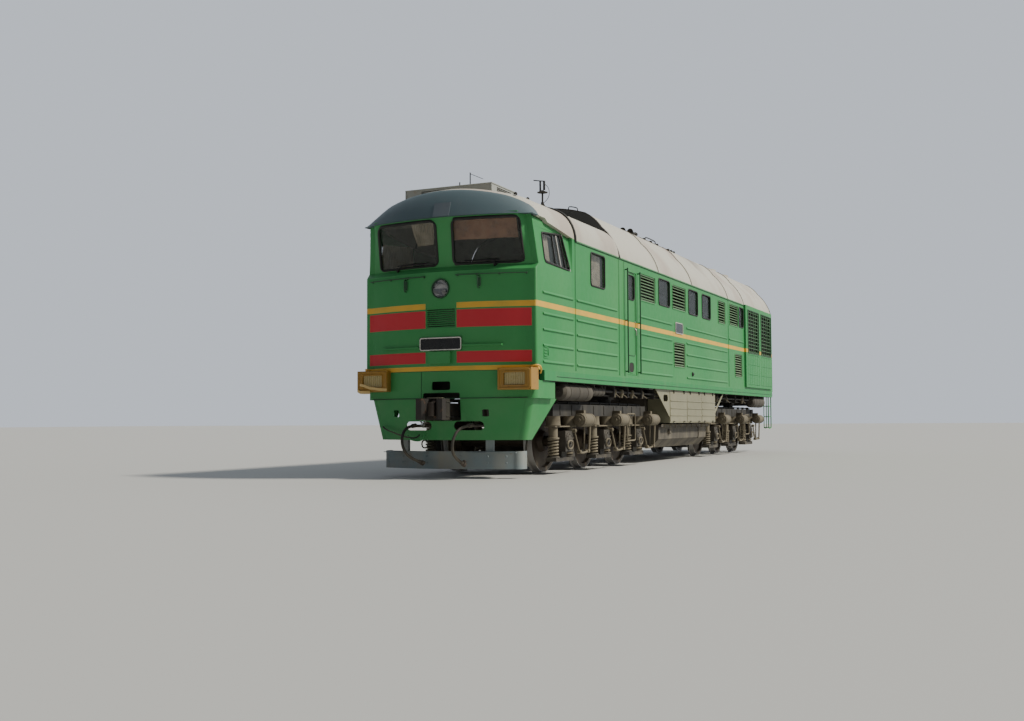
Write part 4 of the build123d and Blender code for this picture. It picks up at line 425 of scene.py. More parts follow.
class Coat(Enum):
    """Every finish of the locomotive."""

    GREEN = Livery(
        "green_body_paint", (0.026, 0.245, 0.064), (0.12, 0.08, 0.045), wear=0.1, dusty=0.1, dust_height=2.2,
        bump=0.1,
    )
    SILL = SillPaint("sill_paint", (0.03, 0.028, 0.026), (0.09, 0.06, 0.04), dusty=0.35, roughness=0.7)
    # Pale roof paint, with painted shade on the visor's face and on the roof step's face.
    ROOF = RoofPaintAndShade(
        "pale_roof_paint_and_painted_shade", (0.52, 0.5, 0.43), (0.22, 0.13, 0.09), wear=0.22, dusty=0.1, bump=0.12
    )
    BOGIE = Weathered(
        "bogie_paint", (0.02, 0.019, 0.018), (0.06, 0.04, 0.025), dusty=0.28, roughness=0.75, bump=0.3
    )
    IRON = Weathered(
        "bogie_castings", (0.028, 0.025, 0.023), (0.08, 0.05, 0.03), dusty=0.3, roughness=0.75, bump=0.4
    )
    DUSTY = Weathered(
        "dusty_spring_steel", (0.13, 0.11, 0.075), (0.07, 0.05, 0.035), dusty=0.6, roughness=0.8, wear=0.45
    )
    WHEEL = WheelSteel(
        "wheel_steel", (0.06, 0.042, 0.03), (0.13, 0.07, 0.035), roughness=0.55, metallic=0.35, dusty=0.3
    )
    STEEL = Weathered(
        "bare_steel", (0.32, 0.31, 0.29), (0.16, 0.09, 0.05), roughness=0.4, metallic=0.8, dusty=0.15
    )
    COUPLER = Weathered(
        "coupler_iron", (0.03, 0.026, 0.024), (0.2, 0.1, 0.05), roughness=0.6, metallic=0.3, wear=0.5,
        bump=0.5,
    )
    CAST = Weathered(
        "cast_fittings", (0.075, 0.06, 0.05), (0.2, 0.1, 0.05), roughness=0.65, metallic=0.3, wear=0.4,
        bump=0.4,
    )
    RUBBER = Weathered(
        "hose_rubber", (0.016, 0.015, 0.014), (0.05, 0.045, 0.04), roughness=0.75, wear=0.3, dusty=0.45,
        bump=0.2,
    )
    GASKET = Weathered(
        "window_rubber", (0.012, 0.012, 0.012), (0.04, 0.04, 0.038), roughness=0.6, dusty=0.15
    )
    OCHRE = Weathered(
        "ochre_lamp_paint", (0.34, 0.18, 0.02), (0.16, 0.06, 0.02), wear=0.45, dusty=0.3, dust_height=2.4
    )
    PLOUGH = Weathered("plough_paint", (0.17, 0.22, 0.24), (0.14, 0.08, 0.05), wear=0.45, dusty=0.5)
    BATTERY = Weathered(
        "battery_box_paint", (0.23, 0.22, 0.145), (0.16, 0.12, 0.08), wear=0.35, dusty=0.45,
        dust=(0.36, 0.3, 0.2),
    )
    SOOT = Weathered(
        "sooty_steel", (0.025, 0.023, 0.022), (0.09, 0.06, 0.045), roughness=0.85, wear=0.35, dusty=0.1
    )
    CORE = Weathered(
        "radiator_fins", (0.012, 0.012, 0.012), (0.05, 0.045, 0.04), roughness=0.7, metallic=0.4
    )
    SHUTTER = Weathered(
        "shutter_paint", (0.05, 0.13, 0.06), (0.12, 0.08, 0.05), roughness=0.6, dusty=0.3, dust_height=4.0
    )
    INTERIOR = Weathered("interior_paint", (0.3, 0.36, 0.28), (0.14, 0.12, 0.09), roughness=0.5, dusty=0.05)
    ENGINE = Weathered("engine_iron", (0.12, 0.14, 0.12), (0.05, 0.04, 0.035), roughness=0.5, metallic=0.3)
    FAN = Weathered(
        "fan_metal", (0.25, 0.25, 0.24), (0.12, 0.1, 0.08), roughness=0.5, metallic=0.6, dusty=0.1
    )
    LENS = Glass("lamp_glass", (0.085, 0.085, 0.1), 0.3, 0.05, 0.1)
    WINDOW = Glass("window_glass", (0.04, 0.048, 0.044), 0.3, 0.05, 0.22)
    LEATHER = Cloth(
        "seat_leather", (0.06, 0.04, 0.03), (0.085, 0.055, 0.04), threads=180.0, sheen=0.1, roughness=0.5
    )
    CURTAIN = Cloth("curtain_cloth", (0.88, 0.8, 0.64), (0.74, 0.66, 0.5))
    BLIND = Cloth("sun_blind_cloth", (0.85, 0.47, 0.3), (0.7, 0.36, 0.22))
    GREEN_DARK = Weathered(
        "dark_green_trim", (0.018, 0.075, 0.032), (0.08, 0.06, 0.04), wear=0.2, dusty=0.15
    )
    ENAMEL = Weathered(
        "black_enamel", (0.01, 0.01, 0.012), (0.05, 0.05, 0.05), roughness=0.25, wear=0.08, dusty=0.1
    )
    WHITE = Weathered("white_trim_paint", (0.6, 0.58, 0.54), (0.25, 0.2, 0.16), wear=0.25, dusty=0.2)
    YELLOW = Weathered("yellow_trim_paint", (0.72, 0.42, 0.07), (0.2, 0.12, 0.06), wear=0.25, dusty=0.2)
    MIRROR = Weathered(
        "lamp_bowl_silver", (0.75, 0.76, 0.78), (0.5, 0.5, 0.5), roughness=0.2, metallic=1.0, wear=0.05,
        dusty=0.05, bump=0.02
    )
    RIBBED = Weathered(
        "ribbed_lamp_glass", (0.44, 0.36, 0.16), (0.25, 0.22, 0.15), roughness=0.3, wear=0.1, dust_height=2.4
    )
    STRIP = Weathered(
        "bright_bent_strip", (0.7, 0.5, 0.2), (0.3, 0.15, 0.05), roughness=0.5, wear=0.3, dusty=0.1
    )
    SLATE_LIGHT = Weathered(
        "slate_patch_paint", (0.11, 0.135, 0.16), (0.05, 0.05, 0.06), wear=0.3, dusty=0.15
    )
    LOUVRE = Weathered(
        "dusty_louvre_paint", (0.1, 0.19, 0.1), (0.12, 0.1, 0.06), wear=0.3, dusty=0.45, dust_height=4.0
    )
    UNIT = Weathered("cooling_unit_paint", (0.3, 0.31, 0.29), (0.24, 0.16, 0.1), wear=0.35, dusty=0.15)
    TANK = Weathered(
        "dusty_tank_paint", (0.06, 0.052, 0.042), (0.1, 0.075, 0.05), roughness=0.75, wear=0.35, dusty=0.6
    )


class Paintshop:
    """Builds each finish once and puts it on the pieces."""

    def __init__(self) -> None:
        """Starts with no material built."""
        self.made: dict[Coat, bpy.types.Material] = {}

    def material(self, coat: Coat) -> bpy.types.Material:
        """Material of a finish, built the first time it is asked for."""
        if coat not in self.made:
            self.made[coat] = coat.value.build()
        return self.made[coat]

    def coat(self, piece: Piece, coat: Coat) -> None:
        """Gives a piece one finish all over."""
        piece.data.materials.clear()
        piece.data.materials.append(self.material(coat))


SHOP = Paintshop()

# CAD nodes that show as they are, by their finish, and starts of names that several nodes share
COATED_NODES: dict[str, str] = {
    "SILL": "underframe",
    "STEEL": "centre_pins",
    "GREEN": (
        "cab_shell side_wall_left side_wall_right radiator_walls rear_wall front_skirt side_door_left "
        "side_door_right gangway_door nose_fittings"
    ),
    "CORE": "radiator_cores",
    "SHUTTER": "radiator_shutters",
    "ROOF": "cab_roof engine_roof radiator_roof fan_cowls",
    "INTERIOR": "cab_bulkhead control_desk",
    "LEATHER": "driver_seats",
    "ENGINE": "engine_block",
    "LENS": "headlight",
    "OCHRE": "buffer_lamps",
    "WINDOW": "windshields side_windows",
    "LOUVRE": "side_louvres",
    "PLOUGH": "snow_plough",
    "BATTERY": "battery_boxes",
    "TANK": "fuel_tank air_reservoirs",
    "GREEN_DARK": "handrails",
    "UNIT": "cooling_unit",
    "SOOT": "exhaust_stack roof_horns roof_antennas",
    "CAST": "hose_heads brake_pipes",
    "COUPLER": "coupler_front coupler_rear",
}
NODE_COATS = {node: Coat[name] for name, nodes in COATED_NODES.items() for node in nodes.split()}
COATED_PREFIXES: dict[str, str] = {
    "FAN": "radiator_fan_",
    "BOGIE": "bogie_frame_",
    "IRON": "axle_boxes_ traction_motors_",
    "DUSTY": "bogie_springs_ brake_gear_",
    "WHEEL": "wheelset_",
    "RUBBER": "brake_hose_",
}


def dress_nodes() -> None:
    """Gives every CAD node its finish."""
    for name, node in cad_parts.items():
        coat = NODE_COATS.get(name)
        if coat is None:
            starts = {start: Coat[key] for key, names in COATED_PREFIXES.items() for start in names.split()}
            coat = next(value for start, value in starts.items() if name.startswith(start))
        SHOP.coat(node, coat)


class Bench:
    """Modelling steps that the sub-assemblies share, each a Blender operator on what code has selected."""

    @staticmethod
    def clear() -> None:
        """Leaves edit mode and deselects everything."""
        active = bpy.context.view_layer.objects.active
        if active is not None and active.mode != "OBJECT":
            bpy.ops.object.mode_set(mode="OBJECT")
        bpy.ops.object.select_all(action="DESELECT")

    @staticmethod
    def hold(*pieces: Piece) -> None:
        """Selects some pieces and makes the first one active."""
        Bench.clear()
        for piece in pieces:
            piece.select_set(True)
        bpy.context.view_layer.objects.active = pieces[0]

    @staticmethod
    def settle() -> Piece:
        """Writes the active piece's place, turn and scale into its mesh and returns the piece."""
        bpy.ops.object.transform_apply(location=True, rotation=True, scale=True)
        return bpy.context.active_object

    @staticmethod
    def edit() -> None:
        """Goes into edit mode with everything selected."""
        bpy.ops.object.mode_set(mode="EDIT")
        bpy.ops.mesh.select_all(action="SELECT")

    @staticmethod
    def face_outwards() -> None:
        """Turns every face's normal outwards and leaves edit mode."""
        bpy.ops.mesh.select_all(action="SELECT")
        bpy.ops.mesh.normals_make_consistent(inside=False)
        bpy.ops.object.mode_set(mode="OBJECT")

    @staticmethod
    def pick(piece: Piece, kind: str, test: Test) -> None:
        """Goes into edit mode and selects what passes a test.

        Args:
            piece: the piece to edit.
            kind: VERT, EDGE or FACE.
            test: takes the middle and the normal of a point, edge or face.
        """
        Bench.hold(piece)
        bpy.ops.object.mode_set(mode="EDIT")
        bpy.ops.mesh.select_mode(type=kind)
        bpy.ops.mesh.select_all(action="DESELECT")
        mesh = bmesh.from_edit_mesh(piece.data)
        if kind == "FACE":
            for face in mesh.faces:
                face.select_set(test(face.calc_center_median(), face.normal))
        elif kind == "EDGE":
            for edge in mesh.edges:
                ends = [point.co for point in edge.verts]
                edge.select_set(test((ends[0] + ends[1]) / 2, (ends[1] - ends[0]).normalized()))
        else:
            for point in mesh.verts:
                point.select_set(test(point.co, point.normal))
        bmesh.update_edit_mesh(piece.data)

    @staticmethod
    def modify(piece: Piece, kind: str, **settings: object) -> Piece:
        """Adds a modifier with its settings and applies it.

        Args:
            piece: the piece to change.
            kind: type of the modifier.
            settings: the modifier's values by name.

        Returns:
            The same piece.
        """
        Bench.hold(piece)
        modifier = piece.modifiers.new(kind.lower(), kind)
        for key, value in settings.items():
            setattr(modifier, key, value)
        bpy.ops.object.modifier_apply(modifier=modifier.name)
        return piece

    @staticmethod
    def both_sides(piece: Piece) -> Piece:
        """Adds the piece's mirror image on the locomotive's other side."""
        return Bench.modify(piece, "MIRROR", use_mirror_merge=False)

    @staticmethod
    def eased(piece: Piece, width: float, segments: int = 1) -> Piece:
        """Rounds a piece's sharp edges."""
        return Bench.modify(
            piece, "BEVEL", width=width, segments=segments, limit_method="ANGLE",
            angle_limit=math.radians(50)
        )

    @staticmethod
    def block(low: Sequence[float], high: Sequence[float], edge: float = 0.004, segments: int = 1) -> Piece:
        """Box between two corners with its edges rounded.

        Args:
            low: corner with the lowest coordinates.
            high: corner with the highest coordinates.
            edge: width of the rounding.
            segments: faces across the rounding.

        Returns:
            The box.
        """
        Bench.clear()
        middle = [(first + last) / 2 for first, last in zip(low, high)]
        sizes = [last - first for first, last in zip(low, high)]
        bpy.ops.mesh.primitive_cube_add(size=1.0, location=middle, scale=sizes)
        piece = Bench.settle()
        Bench.edit()
        bpy.ops.mesh.bevel(offset=edge, segments=segments, affect="EDGES")
        bpy.ops.object.mode_set(mode="OBJECT")
        return piece

    @staticmethod
    def bar(start: Sequence[float], end: Sequence[float], radius: float, sides: int = 12) -> Piece:
        """Round bar between two points, its ends broken.

        Args:
            start: first end.
            end: last end.
            radius: radius of the bar.
            sides: faces around it.

        Returns:
            The bar.
        """
        Bench.clear()
        way = Vector(end) - Vector(start)
        turn = way.to_track_quat("Z", "Y").to_euler()
        middle = (Vector(start) + Vector(end)) / 2
        bpy.ops.mesh.primitive_cylinder_add(
            vertices=sides, radius=radius, depth=way.length, location=middle, rotation=turn
        )
        return Bench.eased(Bench.settle(), min(radius, way.length) * 0.15)

    @staticmethod
    def ring(
        centre: Sequence[float], radius: float, wire: float, sides: tuple[int, int], turn: Point = (0, 0, 0)
    ) -> Piece:
        """Ring of round wire, level unless turned.

        Args:
            centre: middle of the ring.
            radius: radius of the ring.
            wire: radius of the wire.
            sides: faces around the ring and around the wire.
            turn: rotation about X, Y and Z.

        Returns:
            The ring.
        """
        Bench.clear()
        bpy.ops.mesh.primitive_torus_add(
            major_radius=radius, minor_radius=wire, major_segments=sides[0], minor_segments=sides[1],
            location=centre, rotation=turn,
        )
        return Bench.settle()

    @staticmethod
    def chain(places: Line) -> Piece:
        """Chain of edges through some places, drawn by extruding one point."""
        Bench.clear()
        bpy.ops.mesh.primitive_plane_add(size=0.01, location=places[0])
        piece = Bench.settle()
        bpy.ops.object.mode_set(mode="EDIT")
        bpy.ops.mesh.select_mode(type="VERT")
        bpy.ops.mesh.select_all(action="SELECT")
        bpy.ops.mesh.merge(type="CENTER")
        for before, after in zip(places, places[1:]):
            step = Vector(after) - Vector(before)
            bpy.ops.mesh.extrude_vertices_move(TRANSFORM_OT_translate={"value": step})
        bpy.ops.object.mode_set(mode="OBJECT")
        return piece

    @staticmethod
    def turned(
        origin: Sequence[float], axis: Sequence[float], profile: Sequence[Pair], steps: int = 24
    ) -> Piece:
        """Round piece spun from a profile.

        Args:
            origin: a point on the axis.
            axis: direction of the axis.
            profile: points as distance along the axis and radius.
            steps: faces around the piece.

        Returns:
            The piece, its poles and seam closed.
        """
        line = Vector(axis).normalized()
        side = line.orthogonal().normalized()
        piece = Bench.chain([Vector(origin) + line * along + side * radius for along, radius in profile])
        Bench.edit()
        bpy.ops.mesh.spin(steps=steps, angle=math.tau, center=origin, axis=line)
        bpy.ops.mesh.select_all(action="SELECT")
        bpy.ops.mesh.remove_doubles(threshold=MERGE)
        bpy.ops.mesh.normals_make_consistent(inside=False)
        bpy.ops.object.mode_set(mode="OBJECT")
        return piece

    @staticmethod
    def ribbon(places: Line, sweep: Sequence[float], thickness: float, outward: float = 1.0) -> Piece:
        """Bent strip: a chain of edges drawn out sideways and given its thickness.

        Args:
            places: the line that one edge of the strip follows.
            sweep: how far and which way the line is drawn out.
            thickness: thickness of the strip.
            outward: side that the thickness goes to, 1 or -1.

        Returns:
            The strip.
        """
        piece = Bench.chain(places)
        Bench.edit()
        bpy.ops.mesh.extrude_edges_move(TRANSFORM_OT_translate={"value": sweep})
        bpy.ops.object.mode_set(mode="OBJECT")
        return Bench.modify(piece, "SOLIDIFY", thickness=thickness, offset=outward)

    @staticmethod
    def plate(outline: Line, sweep: Sequence[float], edge: float = 0.0) -> Piece:
        """Flat plate: an outline filled and drawn out to its thickness.

        Args:
            outline: corners in order.
            sweep: direction and size of the thickness.
            edge: width of the rounding, or 0 for none.

        Returns:
            The plate.
        """
        piece = Bench.chain(list(outline))
        Bench.edit()
        bpy.ops.mesh.edge_face_add()
        bpy.ops.mesh.extrude_region_move(TRANSFORM_OT_translate={"value": sweep})
        Bench.face_outwards()
        return Bench.eased(piece, edge) if edge else piece

    @staticmethod
    def pipe(
        places: Line, radius: float, closed: bool = False, sides: int = 3, curved: bool = True
    ) -> Piece:
        """Tube along a line of points.

        Args:
            places: the points.
            radius: radius of the tube.
            closed: whether it returns to its start.
            sides: faces in a quarter of its section.
            curved: whether the tube rounds the points off.

        Returns:
            The tube as a mesh.
        """
        curve = bpy.data.curves.new("tube", "CURVE")
        curve.dimensions = "3D"
        spline = curve.splines.new("NURBS" if curved else "POLY")
        spline.points.add(len(places) - 1)
        for point, place in zip(spline.points, places):
            point.co = (*place, 1.0)
        spline.use_cyclic_u = closed
        if curved:
            spline.order_u = 3
            spline.use_endpoint_u = not closed
            curve.resolution_u = 6
        curve.bevel_depth = radius
        curve.bevel_resolution = sides - 1
        curve.use_fill_caps = not closed
        tube = bpy.data.objects.new("tube", curve)
        put_in_scene(tube)
        Bench.hold(tube)
        bpy.ops.object.convert(target="MESH")
        piece = bpy.context.active_object
        Bench.edit()
        bpy.ops.mesh.remove_doubles(threshold=MERGE)
        bpy.ops.object.mode_set(mode="OBJECT")
        return piece

    @staticmethod
    def border(places: Line, radius: float, sides: int = 3) -> Piece:
        """Closed tube that runs straight from point to point."""
        return Bench.pipe(places, radius, closed=True, sides=sides, curved=False)

    @staticmethod
    def join(pieces: Iterable[Piece]) -> Piece:
        """Joins some pieces into one mesh."""
        Bench.hold(*pieces)
        bpy.ops.object.join()
        return bpy.context.active_object

    @staticmethod
    def repeat(piece: Piece, moves: Iterable[Sequence[float]]) -> Piece:
        """Copies a piece to other places, each copy with its own mesh, and joins them with it.

        Args:
            piece: the piece as first modelled.
            moves: offset of each copy from the first.

        Returns:
            The joined pieces.
        """
        made = [piece]
        for move in moves:
            Bench.hold(piece)
            bpy.ops.object.duplicate()
            bpy.ops.transform.translate(value=move)
            made.append(Bench.settle())
        return Bench.join(made)

    @staticmethod
    def finish(
        piece: Piece | list[Piece], name: str, coat: "Coat", body: str = "hull",
        replaces: Sequence[str] = (),
        angle: float = 40.0,
    ) -> Piece:
        """Names a piece, smooths it, dresses it and hangs it on its body.

        Args:
            piece: the finished mesh, or a list of meshes to join.
            name: its name.
            coat: its finish.
            body: the CAD body that it moves with.
            replaces: CAD nodes that it stands for.
            angle: edges sharper than this stay sharp, in degrees.

        Returns:
            The piece.
        """
        if isinstance(piece, list):
            piece = Bench.join(piece)
        Bench.hold(piece)
        Bench.settle()
        bpy.ops.object.shade_smooth_by_angle(angle=math.radians(angle))
        Bench.clear()
        piece.name = name
        piece.data.name = name
        SHOP.coat(piece, coat)
        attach(piece, body)
        if replaces:
            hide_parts(*replaces)
        LOG.info("made %s, %d faces", name, len(piece.data.polygons))
        return piece

    @staticmethod
    def finish_both(piece: Piece | list[Piece], *dress: object) -> Piece:
        whole = Bench.join(piece) if isinstance(piece, list) else piece
        return Bench.finish(Bench.both_sides(whole), *dress)


def rounded(outline: Sequence[Pair], radius: float, steps: int = 4) -> list[Pair]:
    """Rounds the corners of a flat outline.

    Args:
        outline: corners in order.
        radius: distance from each corner at which its round starts.
        steps: pieces in each round.

    Returns:
        The points of the rounded outline.
    """
    points = []
    for index, corner in enumerate(outline):
        here = Vector(corner)
        before = here + (Vector(outline[index - 1]) - here).normalized() * radius
        after = here + (Vector(outline[(index + 1) % len(outline)]) - here).normalized() * radius
        for step in range(steps + 1):
            share = step / steps
            point = before * (1 - share) ** 2 + here * 2 * share * (1 - share) + after * share**2
            points.append((point.x, point.y))
    return points


def oblong(low: Pair, high: Pair, radius: float) -> list[Pair]:
    """Outline of a rectangle with rounded corners."""
    return rounded([low, (high[0], low[1]), high, (low[0], high[1])], radius)


def filled(outline: Sequence[Pair], spacing: float) -> list[Pair]:
    """Adds points along an outline's long straight stretches, so that it can follow a curved surface."""
    points = []
    for index, (across, height) in enumerate(outline):
        following = outline[(index + 1) % len(outline)]
        pieces = max(1, round(math.dist((across, height), following) / spacing))
        for step in range(pieces):
            share = step / pieces
            points.append((
                across + (following[0] - across) * share, height + (following[1] - height) * share
            ))
    return points


@dataclass(frozen=True)
class NoseShape:
    """Bowed nose with its ledge and raked windshield zone, as the CAD cab has it."""

    reach: float = 1.439
    bow: float = 0.25
    ledge_front: float = 3.245
    ledge_back: float = 3.33
    ledge_depth: float = 0.1
    brow_height: float = 4.17
    brow_lean: float = -0.12

    def station(self, across: float, height: float) -> float:
        """Station of the nose's skin.

        Args:
            across: X of the point.
            height: height above the rail top.

        Returns:
            The station there.
        """
        radius = (self.reach**2 + self.bow**2) / (2 * self.bow)
        swell = math.sqrt(radius**2 - min(abs(across), self.reach) ** 2) - (radius - self.bow)
        if height < self.ledge_front:
            lean = 0.0
        elif height < self.ledge_back:
            lean = self.ledge_depth * (height - self.ledge_front) / (self.ledge_back - self.ledge_front)
        else:
            share = (height - self.ledge_back) / (self.brow_height - self.ledge_back)
            lean = self.ledge_depth + (self.brow_lean - self.ledge_depth) * share
        return lean - swell

    def place(self, across: float, height: float, proud: float = 0.0) -> Point:
        """Point on the nose, or in front of it by a distance."""
        return mark(across, self.station(across, height) - proud, height)

    def path(self, outline: Iterable[Pair], proud: float = 0.0) -> list[Point]:
        """Places of an outline of (across, height) points on the nose."""
        return [self.place(across, height, proud) for across, height in outline]


@dataclass(frozen=True)
class CabForm:
    """Crisp corners and inward leaning window zone of the cab, put on copies of its CAD pieces.

    The CAD cab has upright sides and round corners. The real one has tight corners, and above its ledge the
    sides lean in, up to a narrow return in front of the joint behind the cab.
    """

    nose: NoseShape = NoseShape()
    soft: float = 0.11
    low_corner: float = 0.045
    high_corner: float = 0.012
    lean_in: float = 0.115
    lean_back: float = 0.16
    inner: float = 1.3
    outer: float = 1.48
    returns: Pair = (1.475, 1.495)
    pane_half: float = 1.43
    side_half: float = 1.4
    pane_top: float = 4.1
    pane_drop: float = -0.055
    pane_shifts: tuple[Triple, ...] = (
        (-1.43, 0, 0), (-1.27, 0, 0.07), (-0.1, 0, 0.04), (0.1, 0.095, 0.15), (1.27, 0.065, 0.065),
        (1.43, 0, 0),
    )
    sash_span: Four = (0.32, 3.365, 1.24, 3.83)
    sash_shifts: tuple[Pair, ...] = ((0.03, 0.035), (0.04, -0.01), (0.11, 0.03), (-0.06, 0.1))

    def pane_shift(self, across: float, height: float) -> Pair:
        """X and height of a point of the windshield zone, moved to where the real panes are."""
        low = self.nose.ledge_back
        rise = min(1.0, max(0.0, (height - low - 0.03) / (self.pane_top - low - 0.03)))
        top = self.nose.brow_height
        fade = min(1.0, max(0.0, (height - low) / 0.03), max(0.0, (top - height) / (top - self.pane_top)))
        for (x0, low0, high0), (x1, low1, high1) in zip(self.pane_shifts, self.pane_shifts[1:]):
            if x0 <= across <= x1:
                share = (across - x0) / (x1 - x0)
                first, last = low0 + (high0 - low0) * rise, low1 + (high1 - low1) * rise
                aside = (first + (last - first) * share) * fade
                return across + aside, height + self.pane_drop * rise * fade
        return across, height

    def sash_shift(self, station: float, height: float) -> Pair:
        """Station and height of a point of the cab's side, moved to where the real side window is."""
        front, low, back, high = self.sash_span
        along = min(1.0, max(0.0, (station - front) / (back - front)))
        rise = min(1.0, max(0.0, (height - low) / (high - low)))
        fade = min(1.0, max(0.0, (height - low + 0.03) / 0.03), max(0.0, (3.955 - height) / 0.1))
        fade *= min(1.0, max(0.0, (station - 0.15) / 0.07), max(0.0, (1.47 - station) / 0.08))
        moves = []
        for low_front, low_back, high_front, high_back in zip(*self.sash_shifts):
            below = low_front + (low_back - low_front) * along
            above = high_front + (high_back - high_front) * along
            moves.append((below + (above - below) * rise) * fade)
        return station + moves[0], height + moves[1]

    def reshape(self, spot: Vector) -> Vector:
        """Place on the real cab of a point of the CAD cab."""
        across, station, height = spot.x, spot.y - at(0.0), spot.z - up(0.0)
        lean = self.nose.station(self.nose.reach, height)
        if station < lean + self.soft + 0.001 and abs(across) < self.pane_half:
            depth = station - self.nose.station(across, height)
            across, height = self.pane_shift(across, height)
            station = self.nose.station(across, height) + depth
            lean = self.nose.station(self.nose.reach, height)
        elif abs(across) > self.side_half:
            station, height = self.sash_shift(station, height)
            lean = self.nose.station(self.nose.reach, height)
        across = abs(across)
        above = max(0.0, height - self.nose.ledge_back)
        outward = min(1.0, max(0.0, (across - self.inner) / (self.outer - self.inner)))
        edge = HALF_WIDTH - self.soft
        ahead = station < lean + self.soft + 0.001
        if across > edge + 0.0005 and ahead:
            ledge = self.nose.ledge_back - self.nose.ledge_front
            share = min(1.0, max(0.0, (height - self.nose.ledge_front) / ledge))
            radius = self.low_corner + (self.high_corner - self.low_corner) * share
            across = HALF_WIDTH - radius + (across - edge) * radius / self.soft
            station = lean + radius + (station - lean - self.soft) * radius / self.soft
        if station < sum(self.returns) / 2:
            across -= self.lean_in * above * outward
        if ahead:
            station += self.lean_back * above * outward
        return Vector(mark(math.copysign(across, spot.x), station, height))

    def apply(self, piece: Piece) -> Piece:
        """Moves every point of a piece to its place on the real cab."""
        for point in piece.data.vertices:
            point.co = self.reshape(point.co)
        piece.data.update()
        return piece

    def copy(self, node: str, cuts: Sequence[tuple[Point, Point]] = ()) -> Piece:
        """Copy of a CAD node's mesh, merged and cut along some planes.

        Args:
            node: name of the CAD node.
            cuts: a point and a normal of each plane.

        Returns:
            The copy.
        """
        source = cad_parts[node]
        twin = bpy.data.objects.new(f"{node}_copy", source.data.copy())
        put_in_scene(twin)
        Bench.hold(twin)
        bpy.ops.mesh.customdata_custom_splitnormals_clear()
        Bench.edit()
        bpy.ops.mesh.remove_doubles(threshold=0.00002)
        for place, normal in cuts:
            bpy.ops.mesh.select_all(action="SELECT")
            bpy.ops.mesh.bisect(plane_co=place, plane_no=normal)
        bpy.ops.object.mode_set(mode="OBJECT")
        return twin

    def shell(self) -> None:
        """Cab shell and side window panes in their real form."""
        along = [((0, at(station), 0), (0, 1.0, 0)) for station in self.returns]
        level = [((0, 0, up(self.nose.ledge_back)), (0, 0, 1.0))]
        upright = [((hand * self.inner, 0, 0), (1.0, 0, 0)) for hand in (-1, 1)]
        skin = self.apply(self.copy("cab_shell", along + level + upright))
        Bench.finish(skin, "cab_skin", Coat.GREEN, replaces=["cab_shell"], angle=28.0)
        panes = self.apply(self.copy("side_windows"))
        Bench.finish(panes, "side_window_panes", Coat.WINDOW, replaces=["side_windows"])
        front = self.apply(self.copy("windshields"))
        Bench.finish(front, "windshield_panes", Coat.WINDOW, replaces=["windshields"])


